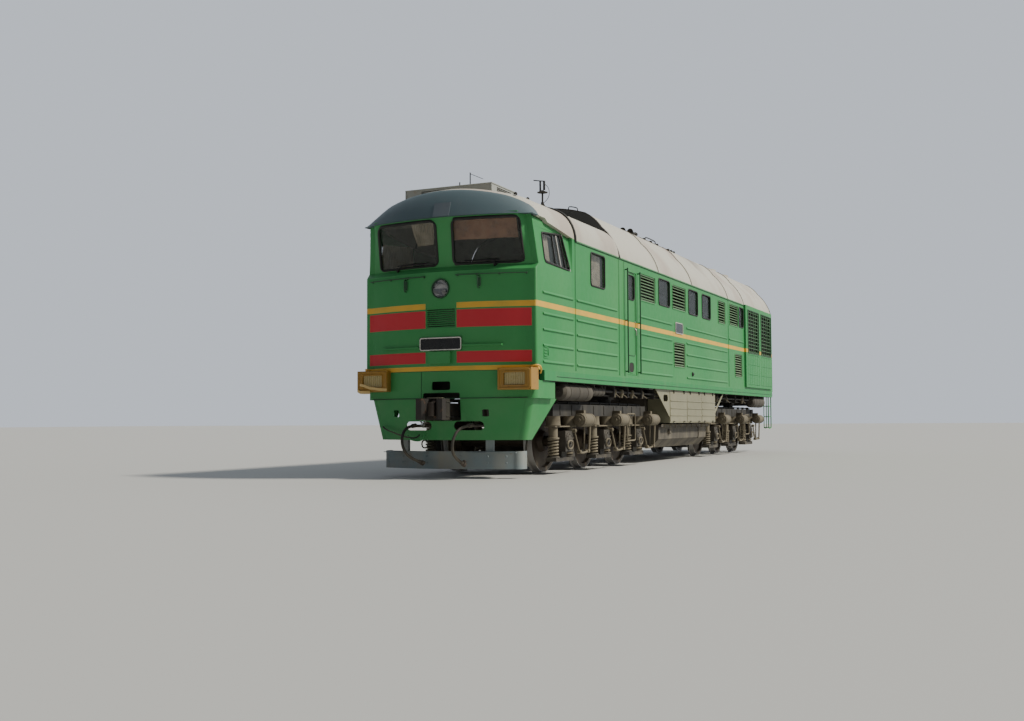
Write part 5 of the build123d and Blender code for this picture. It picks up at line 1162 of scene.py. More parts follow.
@dataclass
class CabRoof:
    """Roof over the cab: a bowed visor with a low lip that rises to the full section behind it."""

    full: "RoofShape"
    lip: "RoofShape"
    visor_foot: float = 4.095
    visor_corner: float = -0.09
    visor_bow: float = 0.33
    rake: float = 0.24
    half: float = 1.49
    joint: float = 1.63
    joint_foot: float = 3.905
    end: float = 3.815
    flange: float = 0.13
    sheet: float = 0.012
    columns: int = 44

    def visor_station(self, across: float) -> float:
        """Station of the visor's face."""
        return self.visor_corner - self.visor_bow * (1.0 - min(1.0, (across / self.half) ** 2))

    def outline(self, shape: "RoofShape", foot: float) -> list[Pair]:
        """Evenly spaced (across, height) points of a section from its left foot over the ridge."""
        half = [(point.x, point.y) for point in shape.half(0.0)]
        for (x0, z0), (x1, z1) in zip(half, half[1:]):
            if z0 <= foot <= z1:
                first = (x0 + (x1 - x0) * (foot - z0) / (z1 - z0), foot)
                half = [first] + [point for point in half if point[1] > foot]
                break
        line = half + [(-x, z) for x, z in reversed(half[:-1])]
        lengths = [0.0]
        for (x0, z0), (x1, z1) in zip(line, line[1:]):
            lengths.append(lengths[-1] + math.hypot(x1 - x0, z1 - z0))
        places = []
        for column in range(self.columns + 1):
            goal = lengths[-1] * column / self.columns
            index = max(i for i, length in enumerate(lengths[:-1]) if length <= goal + 1e-9)
            share = (goal - lengths[index]) / (lengths[index + 1] - lengths[index])
            (x0, z0), (x1, z1) = line[index], line[index + 1]
            places.append((x0 + (x1 - x0) * share, z0 + (z1 - z0) * share))
        return places

    def rows(self) -> list[list[Point]]:
        """Rows of places from the visor's soffit over its face and back along the roof."""
        lip = self.outline(self.lip, self.visor_foot)
        rows = [[mark(x * 0.97, 0.3, self.visor_foot) for x, _ in lip]]
        rows.append([mark(x, self.visor_station(x), self.visor_foot - 0.001) for x, _ in lip])
        for rise, back in ((0.35, 0.22), (0.7, 0.55), (0.9, 0.82), (1.0, 1.0)):
            row = []
            for x, z in lip:
                height = self.visor_foot + (z - self.visor_foot) * rise
                row.append(mark(x, self.visor_station(x) + self.rake * back, height))
            rows.append(row)
        foot = self.visor_foot
        front = self.outline(self.full, foot)
        for reach in (0.06, 0.18, 0.3):
            share = math.sin(min(1.0, reach / 0.3) * math.pi / 2)
            row = []
            for (x0, z0), (x1, z1) in zip(lip, front):
                x, z = x0 + (x1 - x0) * share, z0 + (z1 - z0) * share
                row.append(mark(x, self.visor_station(x0) + self.rake + reach, z))
            rows.append(row)
        for station in (0.5, 0.85, 1.2, self.joint, self.end):
            share = min(1.0, max(0.0, station / self.joint))
            foot = self.visor_foot + (self.joint_foot - self.visor_foot) * share
            rows.append([mark(x, station, z) for x, z in self.outline(self.full, foot)])
        return rows

    def build(self) -> None:
        """Bridges the rows into one skin, gives it its thickness and its turned-in side edges."""
        chains = []
        for number, row in enumerate(self.rows()):
            if number > 0:
                left, right = row[0], row[-1]
                inward = self.flange if number > 2 else 0.01
                row = [(left[0] - inward, left[1], left[2])] + row + [
                    (right[0] + inward, right[1], right[2])
                ]
            else:
                row = [row[0]] + row + [row[-1]]
                row[0] = (row[0][0] - 0.01, row[0][1], row[0][2])
                row[-1] = (row[-1][0] + 0.01, row[-1][1], row[-1][2])
            chains.append(Bench.chain(row))
        skin = Bench.join(chains)
        Bench.edit()
        bpy.ops.mesh.bridge_edge_loops(type="SINGLE")
        Bench.face_outwards()
        Bench.modify(skin, "SOLIDIFY", thickness=self.sheet, offset=-1.0)
        Bench.finish(skin, "cab_roof_skin", Coat.ROOF, replaces=["cab_roof"], angle=32.0)


@dataclass
class Windshields:
    """Rubber gaskets, wipers, the sun blind and the curtain of the two windshields."""

    nose: NoseShape = NoseShape()
    inner: float = 0.1
    outer: float = 1.27
    bottom: float = 3.36
    top: float = 4.1
    corner: float = 0.09
    gasket: float = 0.019
    wiper_pivot: float = 0.88
    wiper_reach: float = 0.58
    blind: Four = (0.15, 3.745, 1.24, 4.06)
    drape: Four = (-0.56, 3.7, -0.11, 4.06)

    def gaskets(self) -> None:
        """Black rubber round both panes."""
        outline = filled(oblong((self.inner, self.bottom), (self.outer, self.top), self.corner), 0.13)
        seal = Bench.border(self.nose.path(outline, 0.004), self.gasket)
        Bench.finish(CabForm().apply(Bench.both_sides(seal)), "windshield_gaskets", Coat.GASKET)

    def wipers(self) -> None:
        """Pivot, arm and blade of each wiper, parked along the lower edge."""
        pivot = self.nose.place(self.wiper_pivot, self.bottom - 0.035)
        profile = [(0, 0), (0, 0.026), (0.03, 0.024), (0.05, 0.014), (0.05, 0)]
        boss = Bench.turned(pivot, FORWARD, profile, 16)
        low = self.bottom + 0.045
        ends = [
            (self.wiper_pivot, self.bottom - 0.03), (self.wiper_pivot - 0.12, low),
            (self.wiper_pivot - 0.3, low),
        ]
        arm = Bench.pipe(self.nose.path(ends, 0.05), 0.008, curved=False)
        line = [(self.wiper_pivot - step * self.wiper_reach / 4, low - 0.004) for step in range(5)]
        blade = Bench.ribbon(self.nose.path(line, 0.026), (0, 0.016, 0), 0.016)
        spine = Bench.pipe(self.nose.path(line, 0.036), 0.007, curved=False)
        parts = Bench.join([boss, arm, blade, spine])
        Bench.finish(CabForm().apply(Bench.both_sides(parts)), "wipers", Coat.GASKET)

    def hangings(self) -> None:
        """Sun blind behind the left pane and drawn curtain behind the right one."""
        left, low, right, high = self.blind
        rail = Bench.pipe(
            self.nose.path([(left - 0.02, high + 0.01), (right + 0.02, high + 0.01)], -0.1), 0.009
        )
        Bench.finish(rail, "sun_blind_rail", Coat.STEEL)
        Draper(self.nose, 0.1).hang("sun_blind", (left, low, right, high), 0.0, Coat.BLIND)
        left, low, right, high = self.drape
        rail = Bench.pipe(
            self.nose.path([(left - 0.45, high + 0.01), (right + 0.02, high + 0.01)], -0.1), 0.009
        )
        Bench.finish(rail, "front_curtain_rail", Coat.STEEL)
        Draper(self.nose, 0.1).hang(
            "front_curtain", (left, low, right, high), 0.022, Coat.CURTAIN
        )

    def build(self) -> None:
        """Builds the windshield trim."""
        self.gaskets()
        self.wipers()
        self.hangings()


@dataclass
class Draper:
    """Hangs cloth behind the nose's panes, in even or deep folds."""

    nose: NoseShape
    behind: float
    columns: int = 64
    rows: int = 12
    folds: int = 9
    gathered: float = 0.16
    full_depth: float = 0.022

    def hang(self, name: str, window: Four, depth: float, coat: Coat) -> None:
        """Makes one hanging sheet from a grid whose points are set into folds.

        Args:
            name: name of the sheet.
            window: lowest and highest X and height that it covers.
            depth: depth of its folds.
            coat: its finish.
        """
        left, low, right, high = window
        Bench.clear()
        bpy.ops.mesh.primitive_grid_add(x_subdivisions=self.columns, y_subdivisions=self.rows, size=1.0)
        sheet = Bench.settle()
        for point in sheet.data.vertices:
            share = point.co.x + 0.5
            drop = 0.5 - point.co.y
            swing = depth * math.sin(share * self.folds * math.tau) * (0.55 + 0.45 * drop)
            gather = self.gathered * depth / self.full_depth * drop**2 * (share - 0.5) if depth else 0.0
            sag = 0.004 * math.sin(share * 3.1 * math.pi) * drop
            across = left + (right - left) * share - gather
            height = high - (high - low) * drop + sag
            x, y, z = self.nose.place(across, height, -self.behind)
            point.co = (x, y + swing, z)
        sheet.data.update()
        Bench.finish(sheet, name, coat, angle=80.0)


@dataclass
class NoseFittings:
    """Grab rails, hooks, number plate and corner ends on the nose."""

    nose: NoseShape = NoseShape()
    rail_height: float = 3.175
    rail_inner: float = 0.28
    rail_outer: float = 1.42
    rail_proud: float = 0.045
    hook_x: float = 0.66
    plate_half: float = 0.375
    plate_low: float = 1.99
    plate_high: float = 2.2
    plate_proud: float = 0.027

    def rails(self) -> None:
        """Thin grab rails under the windshields with their brackets."""
        reach = self.rail_outer - self.rail_inner
        line = [(self.rail_inner + reach * step / 9, self.rail_height) for step in range(10)]
        parts = [Bench.pipe(self.nose.path(line, self.rail_proud), 0.01)]
        for across in (self.rail_inner + 0.02, 0.62, 0.98, self.rail_outer - 0.03):
            foot = self.nose.place(across, self.rail_height, -0.004)
            head = self.nose.place(across, self.rail_height, self.rail_proud)
            parts.append(Bench.bar(foot, head, 0.009, 8))
            parts.append(Bench.turned(foot, FORWARD, [(0, 0), (0, 0.022), (0.008, 0.02), (0.008, 0)], 12))
        Bench.finish_both(parts, "nose_grab_rails", Coat.GREEN_DARK)

    def hooks(self) -> None:
        """Short upright loops beside the headlight."""
        line = [(self.hook_x, height) for height in (3.15, 3.15, 3.12, 2.99, 2.96, 2.96)]
        prouds = (0.0, 0.045, 0.06, 0.06, 0.045, 0.0)
        places = [self.nose.place(across, height, proud) for (across, height), proud in zip(line, prouds)]
        loop = Bench.pipe(places, 0.011)
        pad = Bench.block(
            *self.corners(self.hook_x - 0.03, self.hook_x + 0.03, 2.985, 3.125, 0.012), edge=0.005
        )
        Bench.finish_both([loop, pad], "nose_hooks", Coat.GREEN_DARK)

    def corners(
        self, left: float, right: float, low: float, high: float, proud: float
    ) -> tuple[Point, Point]:
        """Lowest and highest corner of a small block that stands proud of the nose by a distance."""
        front = min(self.nose.station(left, low), self.nose.station(right, low)) - proud
        back = max(self.nose.station(left, low), self.nose.station(right, low)) + 0.006
        return mark(left, front, low), mark(right, back, high)

    def number_plate(self) -> None:
        """Blank number plate on its pad: black field in a light rounded border."""
        across = [self.plate_half * step / 4 for step in range(-4, 5)]
        places = self.nose.path([(x, self.plate_low) for x in across], self.plate_proud)
        field_plate = Bench.ribbon(places, (0, 0, self.plate_high - self.plate_low), 0.006, 0.0)
        Bench.finish(field_plate, "number_plate_field", Coat.ENAMEL)
        edge = 0.01
        low = (edge - self.plate_half, self.plate_low + edge)
        outline = oblong(low, (self.plate_half - edge, self.plate_high - edge), 0.03)
        border = Bench.border(self.nose.path(filled(outline, 0.09), self.plate_proud + 0.003), 0.009)
        Bench.finish(border, "number_plate_border", Coat.WHITE)

    def corner_ends(self) -> None:
        """Yellow loops of bar at the nose's lower corners."""
        places = [
            mark(1.47, -0.015, 1.715), mark(1.53, -0.02, 1.735), mark(1.575, 0.03, 1.735),
            mark(1.585, 0.09, 1.7), mark(1.575, 0.12, 1.65), mark(1.55, 0.13, 1.61),
        ]
        Bench.finish_both(Bench.pipe(places, 0.014), "nose_corner_loops", Coat.YELLOW)

    def build(self) -> None:
        """Builds the nose fittings."""
        self.rails()
        self.hooks()
        self.number_plate()
        self.corner_ends()


@dataclass
class Headlight:
    """Round headlight: bezel, bowl, bulb and glass."""

    height: float = 2.975
    radius: float = 0.158
    front: float = -0.27
    depth: float = 0.13

    def build(self) -> None:
        """Spins the four pieces about the lamp's axis."""
        origin = mark(0.0, self.front, self.height)
        rim = self.radius
        section = [
            (0.045, rim - 0.018), (0.004, rim - 0.016), (-0.006, rim - 0.008), (0, rim), (0.02, rim),
            (self.depth, rim - 0.002), (self.depth, rim - 0.02), (0.045, rim - 0.018),
        ]
        bezel = Bench.turned(origin, REARWARD, section, 48)
        Bench.finish(bezel, "headlight_bezel", Coat.GREEN_DARK, replaces=["headlight"])
        bowl = [
            (self.depth - 0.002, 0), (self.depth - 0.006, 0.05), (self.depth - 0.03, 0.1),
            (0.03, rim - 0.017),
        ]
        Bench.finish(Bench.turned(origin, REARWARD, bowl, 48), "headlight_bowl", Coat.MIRROR)
        bulb = [(0.026, 0), (0.03, 0.026), (0.045, 0.04), (0.075, 0.03), (self.depth - 0.012, 0.022)]
        aside = mark(0.05, self.front - 0.012, self.height - 0.055)
        Bench.finish(Bench.turned(aside, REARWARD, bulb, 20), "headlight_bulb", Coat.WHITE)
        glass = [(-0.004, 0), (-0.001, 0.06), (0.01, 0.11), (0.026, rim - 0.017)]
        pane = Bench.turned(origin, REARWARD, glass, 48)
        Bench.modify(pane, "SOLIDIFY", thickness=0.004, offset=-1.0)
        Bench.finish(pane, "headlight_glass", Coat.LENS)


@dataclass
class BufferLamps:
    """Ribbed glasses, raised borders and the bent strip of the two buffer lamp boxes."""

    face: float = -0.24
    box: Four = (0.99, 1.355, 1.56, 1.695)
    window: Four = (1.095, 1.43, 1.455, 1.62)
    ribs: int = 9

    def borders(self) -> None:
        """Raised borders round the box and its window."""
        loops = []
        for (left, low, right, high), inset, radius in (
            (self.box, 0.022, 0.014), (self.window, -0.012, 0.011)
        ):
            outline = oblong((left + inset, low + inset), (right - inset, high - inset), 0.035)
            places = [mark(x, self.face, height) for x, height in outline]
            loops.append(Bench.border(places, radius))
        Bench.finish_both(loops, "buffer_lamp_borders", Coat.OCHRE)

    def glasses(self) -> None:
        """Glass behind each window, its ribs upright."""
        left, low, right, high = self.window
        pitch = (right - left) / self.ribs
        place = at(self.face + 0.028)
        first = Bench.bar(
            (left + pitch / 2, place, up(low)), (left + pitch / 2, place, up(high)), pitch * 0.36, 10
        )
        ribs = Bench.repeat(first, [(pitch * step, 0, 0) for step in range(1, self.ribs)])
        sheet = Bench.block((left, place - 0.004, up(low)), (right, place + 0.004, up(high)), edge=0.001)
        Bench.finish_both([ribs, sheet], "buffer_lamp_glasses", Coat.RIBBED)

    def bent_strip(self) -> None:
        """Torn strip of the right lamp's frame, bent across its glass."""
        line = [
            (-1.5, 1.495, 0.012), (-1.4, 1.475, 0.05), (-1.27, 1.435, 0.07), (-1.12, 1.415, 0.05),
            (-0.99, 1.405, 0.01),
        ]
        places = [mark(x, self.face - proud, height) for x, height, proud in line]
        strip = Bench.ribbon(places, (0, -0.012, -0.042), 0.003)
        flap = [(-1.56, 1.4, 0), (-1.5, 1.375, 0.02), (-1.4, 1.37, 0.045), (-1.3, 1.372, 0.03)]
        places = [mark(x, self.face - proud, height) for x, height, proud in flap]
        tail = Bench.ribbon(places, (0.02, -0.02, -0.05), 0.003)
        Bench.finish([strip, tail], "bent_lamp_strip", Coat.STRIP)

    def build(self) -> None:
        """Builds both lamps' pieces."""
        self.borders()
        self.glasses()
        self.bent_strip()


@dataclass
class SideWindows:
    """Gaskets, the half-open cab sash and the curtains of the side windows."""

    face: float = HALF_WIDTH
    gasket: float = 0.015
    cab_outline: tuple[Pair, ...] = ((0.225, 3.83), (0.32, 3.365), (1.37, 3.365), (1.24, 3.83))
    openings: tuple[Four, ...] = (
        (2.35, 3.22, 3.05, 3.8), (6.22, 3.24, 6.98, 3.78), (8.39, 3.23, 9.13, 3.78),
        (9.5, 3.23, 10.23, 3.78), (13.05, 3.275, 13.51, 3.79),
    )
    posts: Pair = (0.76, 1.16)
    rail_inset: float = 0.085
    fold_depth: float = 0.013

    def seal(self, outline: Sequence[Pair], radius: float) -> Piece:
        """Rubber round one opening of the left side."""
        return Bench.border(wall(self.face + 0.002, outline), radius)

    def gaskets(self) -> None:
        """Rubber round every side window of both sides."""
        loops = [self.seal(rounded(self.cab_outline, 0.07), self.gasket)]
        for front, low, back, high in self.openings:
            loops.append(self.seal(oblong((front, low), (back, high), 0.07), self.gasket))
        seals = CabForm().apply(Bench.both_sides(Bench.join(loops)))
        Bench.finish(seals, "side_window_gaskets", Coat.GASKET)

    def sash(self) -> None:
        """Upright posts of the sliding sash and its light rear frame, with the sill channel."""
        depth = self.face - 0.01
        posts = [Bench.bar(mark(depth, s + 0.03, 3.37), mark(depth, s, 3.83), 0.011, 8) for s in self.posts]
        channel = Bench.block(mark(depth - 0.008, 0.34, 3.362), mark(depth + 0.01, 1.36, 3.378), 0.002)
        form = CabForm()
        Bench.finish(
            form.apply(Bench.both_sides(Bench.join(posts + [channel]))), "cab_sash_posts", Coat.GASKET
        )
        bars = [Bench.bar(mark(depth, 1.0, 3.37), mark(depth, 0.96, 3.83), 0.011, 8)]
        bars.append(Bench.bar(mark(self.face, 1.375, 3.36), mark(self.face, 1.245, 3.84), 0.013, 8))
        Bench.finish(form.apply(Bench.both_sides(Bench.join(bars))), "cab_sash_frames", Coat.WHITE)

    def curtain(
        self, name: str, front: float, back: float, low: float, high: float, folds: int, hand: int = 1
    ) -> None:
        """Gathered curtain on a thin rail inside a side window."""
        inside = hand * (self.face - self.rail_inset)
        rail = Bench.bar(
            mark(inside, front - 0.03, high + 0.01), mark(inside, back + 0.03, high + 0.01), 0.008, 8
        )
        Bench.finish(rail, f"{name}_rail", Coat.STEEL)
        Bench.clear()
        bpy.ops.mesh.primitive_grid_add(x_subdivisions=folds * 8, y_subdivisions=10, size=1.0)
        cloth = Bench.settle()
        for point in cloth.data.vertices:
            share = point.co.x + 0.5
            drop = 0.5 - point.co.y
            wave = math.sin(share * folds * math.tau + 0.4 * math.sin(drop * 3.0))
            depth = self.fold_depth * wave * (0.6 + 0.4 * drop)
            station = front + (back - front) * share + 0.008 * math.sin(drop * 4.0 + share * 5.0)
            point.co = mark(inside + depth, station, high - (high - low) * drop)
        cloth.data.update()
        Bench.finish(CabForm().apply(cloth), name, Coat.CURTAIN, angle=80.0)

    def build(self) -> None:
        """Builds the side windows' trim."""
        self.gaskets()
        self.sash()
        self.curtain("cab_side_curtain", 0.27, 0.72, 3.38, 3.82, 8)
        self.curtain("far_cab_curtain", 0.22, 1.36, 3.37, 3.83, 12, -1)
        self.curtain("far_rear_cab_curtain", 2.37, 3.03, 3.22, 3.8, 12, -1)
        self.curtain("rear_cab_curtain", 2.37, 3.03, 3.22, 3.8, 12)


@dataclass
class SideFittings:
    """Louvre borders, body seams, gutter, vents, lamp and small plates of the sides."""

    face: float = HALF_WIDTH
    louvres: tuple[Four, ...] = (
        (5.03, 3.21, 5.99, 3.75), (7.16, 3.235, 8.17, 3.76), (10.95, 3.22, 11.63, 3.78),
        (12.06, 3.25, 12.97, 3.8), (7.25, 2.0, 8.07, 2.54), (12.56, 1.96, 13.31, 2.56),
    )
    seams: tuple[float, ...] = (1.626, 3.8, 4.08, 11.93)
    rib_heights: tuple[float, ...] = (1.8, 2.06, 2.31, 2.56, 2.895)
    rib_runs: tuple[Pair, ...] = ((0.25, 1.52), (1.69, 3.68), (5.0, 7.12), (8.22, 11.78))
    vent: Four = (0.27, 1.85, 0.46, 2.05)

    def louvre_borders(self) -> None:
        """Raised borders round the louvres of both sides."""
        loops = []
        for front, low, back, high in self.louvres:
            outline = oblong((front, low), (back, high), 0.05)
            loops.append(Bench.border(wall(self.face + 0.001, outline), 0.01, 2))
        Bench.finish_both(loops, "louvre_borders", Coat.GREEN)

    def body_seams(self) -> None:
        """Cover strips over the upright joints of the side sheets, with a dark bead."""
        strips, beads = [], []
        for station in self.seams:
            low, high = up(1.7), up(3.872)
            start = (self.face - 0.002, at(station) - 0.016, low)
            strips.append(Bench.block(start, (self.face + 0.005, at(station) + 0.016, high), 0.002))
            bead = (self.face + 0.004, at(station))
            beads.append(Bench.bar((*bead, low), (*bead, high), 0.005, 8))
        Bench.finish_both(strips, "seam_covers", Coat.GREEN)
        Bench.finish_both(beads, "seam_beads", Coat.GREEN_DARK)

    def ribs(self) -> None:
        """Pressed ribs of the sides: a sloping crest with a sharp lower edge, over the CAD ribs."""
        runs = [(height, *run) for height in self.rib_heights for run in self.rib_runs]
        runs.append((self.rib_heights[-1], 12.0, 13.5))
        strips = []
        for height, front, back in runs:
            section = [
                (self.face, up(height + 0.026)), (self.face + 0.02, up(height - 0.004)),
                (self.face + 0.02, up(height - 0.016)), (self.face, up(height - 0.022)),
            ]
            outline = [(x, at(front), z) for x, z in section]
            strips.append(Bench.eased(Bench.plate(outline, (0, back - front, 0)), 0.003))
        Bench.finish_both(strips, "side_ribs", Coat.GREEN)

    def gutter(self) -> None:
        """Rain gutter along the eaves and bead along the sill."""
        eave = Bench.block(mark(self.face - 0.004, 1.66, 3.868), mark(self.face + 0.016, 13.58, 3.884))
        sill = Bench.block(mark(self.face - 0.002, 0.8, 1.572), mark(self.face + 0.006, 16.98, 1.586), 0.003)
        Bench.finish_both([eave, sill], "eave_gutters", Coat.GREEN_DARK)

    def vent_cover(self) -> None:
        """Small slatted vent behind each front corner."""
        front, low, back, high = self.vent
        foot = mark(self.face - 0.002, front, low)
        parts = [Bench.block(foot, mark(self.face + 0.006, back, high), 0.003)]
        for step in range(4):
            height = low + (high - low) * (step + 0.6) / 4.2
            low_end = mark(self.face + 0.004, front + 0.02, height)
            parts.append(Bench.block(low_end, mark(self.face + 0.016, back - 0.06, height + 0.018), 0.003))
        parts.append(Bench.block(
            mark(self.face, back - 0.035, low + 0.05), mark(self.face + 0.018, back - 0.02, high - 0.03)
        ))
        Bench.finish_both(parts, "corner_vents", Coat.GREEN)

    def blank_plates(self) -> None:
        """Blank plates on the sides, in light borders."""
        outline = oblong((7.36, 2.73), (7.89, 2.955), 0.03)
        face = self.face + 0.002
        field_plate = Bench.plate(wall(face, outline), (0.01, 0, 0), 0.002)
        Bench.finish_both(field_plate, "side_plate_fields", Coat.ENAMEL)
        border = Bench.border(wall(face + 0.01, outline), 0.008)
        Bench.finish_both(border, "side_plate_borders", Coat.WHITE)

    def marker_lamp(self) -> None:
        """Small round marker lamp low on each side."""
        origin = mark(self.face, 8.64, 1.89)
        body = Bench.turned(
            origin, OUTWARD, [(0, 0), (0, 0.05), (0.022, 0.046), (0.03, 0.03), (0.03, 0)], 20
        )
        Bench.finish_both(body, "marker_lamps", Coat.SOOT)
        dome = Bench.turned(origin, OUTWARD, [(0.028, 0.032), (0.042, 0.026), (0.052, 0)], 16)
        Bench.finish_both(dome, "marker_lamp_glasses", Coat.LENS)

    def build(self) -> None:
        """Builds the side fittings."""
        self.louvre_borders()
        self.body_seams()
        self.ribs()
        self.gutter()
        self.vent_cover()
        self.blank_plates()
        self.marker_lamp()


@dataclass
class SideDoor:
    """Gasket, glass, handle and foot pocket of one side door, which swing with it."""

    side: Side
    front: float = 4.266
    back: float = 4.794
    skin: float = 1.539
    window: Four = (4.33, 3.17, 4.7, 3.64)
    pocket: Four = (4.36, 1.775, 4.64, 1.975)

    def build(self) -> None:
        """Builds the door's pieces for the door's own side."""
        hand = self.side.value
        body = f"side_door_{self.side.name.lower()}"
        skin = self.skin * hand
        front, low, back, high = self.window
        outline = oblong((front, low), (back, high), 0.07)
        loop = [Bench.border(wall(skin, outline), 0.012)]
        panel = oblong((self.front + 0.05, 2.1), (self.back - 0.05, 3.68), 0.09)
        loop.append(Bench.border(wall(skin, panel), 0.007, 2))
        Bench.finish(loop, f"{body}_gasket", Coat.GASKET, body)
        pane_in, pane_out = sorted((skin - 0.019 * hand, skin - 0.011 * hand))
        pane = Bench.block(mark(pane_in, front, low), mark(pane_out, back, high), 0.002)
        Bench.finish(pane, f"{body}_pane", Coat.WINDOW, body)
        profile = [(0, 0), (0, 0.028), (0.012, 0.026), (0.02, 0.014), (0.02, 0)]
        boss = Bench.turned(mark(skin, 4.735, 2.62), (hand, 0, 0), profile, 16)
        grip = skin + 0.034 * hand
        line = [mark(skin + 0.016 * hand, 4.735, 2.62), mark(grip, 4.733, 2.6), mark(grip, 4.72, 2.5)]
        lever = Bench.pipe(line, 0.009)
        keyhole = Bench.turned(
            mark(skin, 4.735, 2.76), (hand, 0, 0), [(0, 0), (0, 0.02), (0.008, 0.018), (0.008, 0)], 12
        )
        Bench.finish([boss, lever, keyhole], f"{body}_handle", Coat.STEEL, body)
        front, low, back, high = self.pocket
        outline = rounded([(front, low), (back, low), (back, high), (front, high)], 0.09)
        lip = Bench.border(wall(skin, outline), 0.01)
        Bench.finish(lip, f"{body}_foot_pocket_lip", Coat.GREEN, body)
        # Painted shade: the pocket's hollow is a flat near-black sheet flush with the door skin. It stands
        # in for the shade inside the recess, not for soot.
        dark = Bench.plate(wall(skin - 0.002 * hand, outline), (0.004 * hand, 0, 0))
        Bench.finish(dark, f"{body}_foot_pocket", Coat.SOOT, body)


@dataclass(frozen=True)
class RoofShape:
    """Section of the roof over the cab or over the engine room, as the CAD roof has it."""

    ridge: float
    bends: tuple[tuple[Pair, Pair], ...]

    def arc(self, first: Vector, middle: Vector, last: Vector, steps: int) -> list[Vector]:
        """Points of the circle's arc through three points, without its first point."""
        one, two = middle - first, last - first
        cross = 2 * (one.x * two.y - one.y * two.x)
        centre = first + Vector((
            (two.y * one.length_squared - one.y * two.length_squared) / cross,
            (one.x * two.length_squared - two.x * one.length_squared) / cross,
        ))
        radius = (first - centre).length
        start = math.atan2(first.y - centre.y, first.x - centre.x)
        sweep = math.atan2(last.y - centre.y, last.x - centre.x) - start
        angles = [start + sweep * step / steps for step in range(1, steps + 1)]
        return [centre + Vector((math.cos(angle), math.sin(angle))) * radius for angle in angles]

    def half(self, proud: float) -> list[Vector]:
        """Points from the left eave to the ridge, moved outwards by a distance."""
        start = Vector((HALF_WIDTH, EAVE))
        points = [start]
        for shares in self.bends:
            middle, last = [
                Vector((HALF_WIDTH * x, EAVE + (self.ridge - EAVE) * rise)) for x, rise in shares
            ]
            points += self.arc(start, middle, last, 5)
            start = last
        top = Vector((0, self.ridge))
        whole = self.arc(start, top, Vector((-start.x, start.y)), 16)
        points += whole[:8]
        moved = []
        for index, point in enumerate(points):
            along = points[min(index + 1, len(points) - 1)] - points[max(index - 1, 0)]
            outward = Vector((along.y, -along.x)).normalized()
            moved.append(point + outward * proud)
        return moved

    def arch(self, station: float, proud: float = 0.0) -> list[Point]:
        """Places of the whole section at a station, from the left eave over the ridge to the right eave."""
        left = self.half(proud)
        right = [Vector((-point.x, point.y)) for point in reversed(left[:-1])]
        return [mark(point.x, station, point.y) for point in left + right]

    def height(self, across: float) -> float:
        """Height of the roof over an X."""
        points = self.half(0.0)
        for outer, inner in zip(points, points[1:]):
            if inner.x <= abs(across) <= outer.x and outer.x > inner.x:
                return outer.y + (inner.y - outer.y) * (outer.x - abs(across)) / (outer.x - inner.x)
        return points[-1].y


HIGH_ROOF = RoofShape(4.93, (((0.917, 0.321), (0.762, 0.601)), ((0.676, 0.751), (0.568, 0.867))))
LOW_ROOF = RoofShape(4.62, (((0.985, 0.2436), (0.896, 0.5747)), ((0.8244, 0.6918), (0.736, 0.778))))
VISOR_LIP = RoofShape(4.56, (((0.962, 0.42), (0.904, 0.561)), ((0.807, 0.679), (0.678, 0.796))))


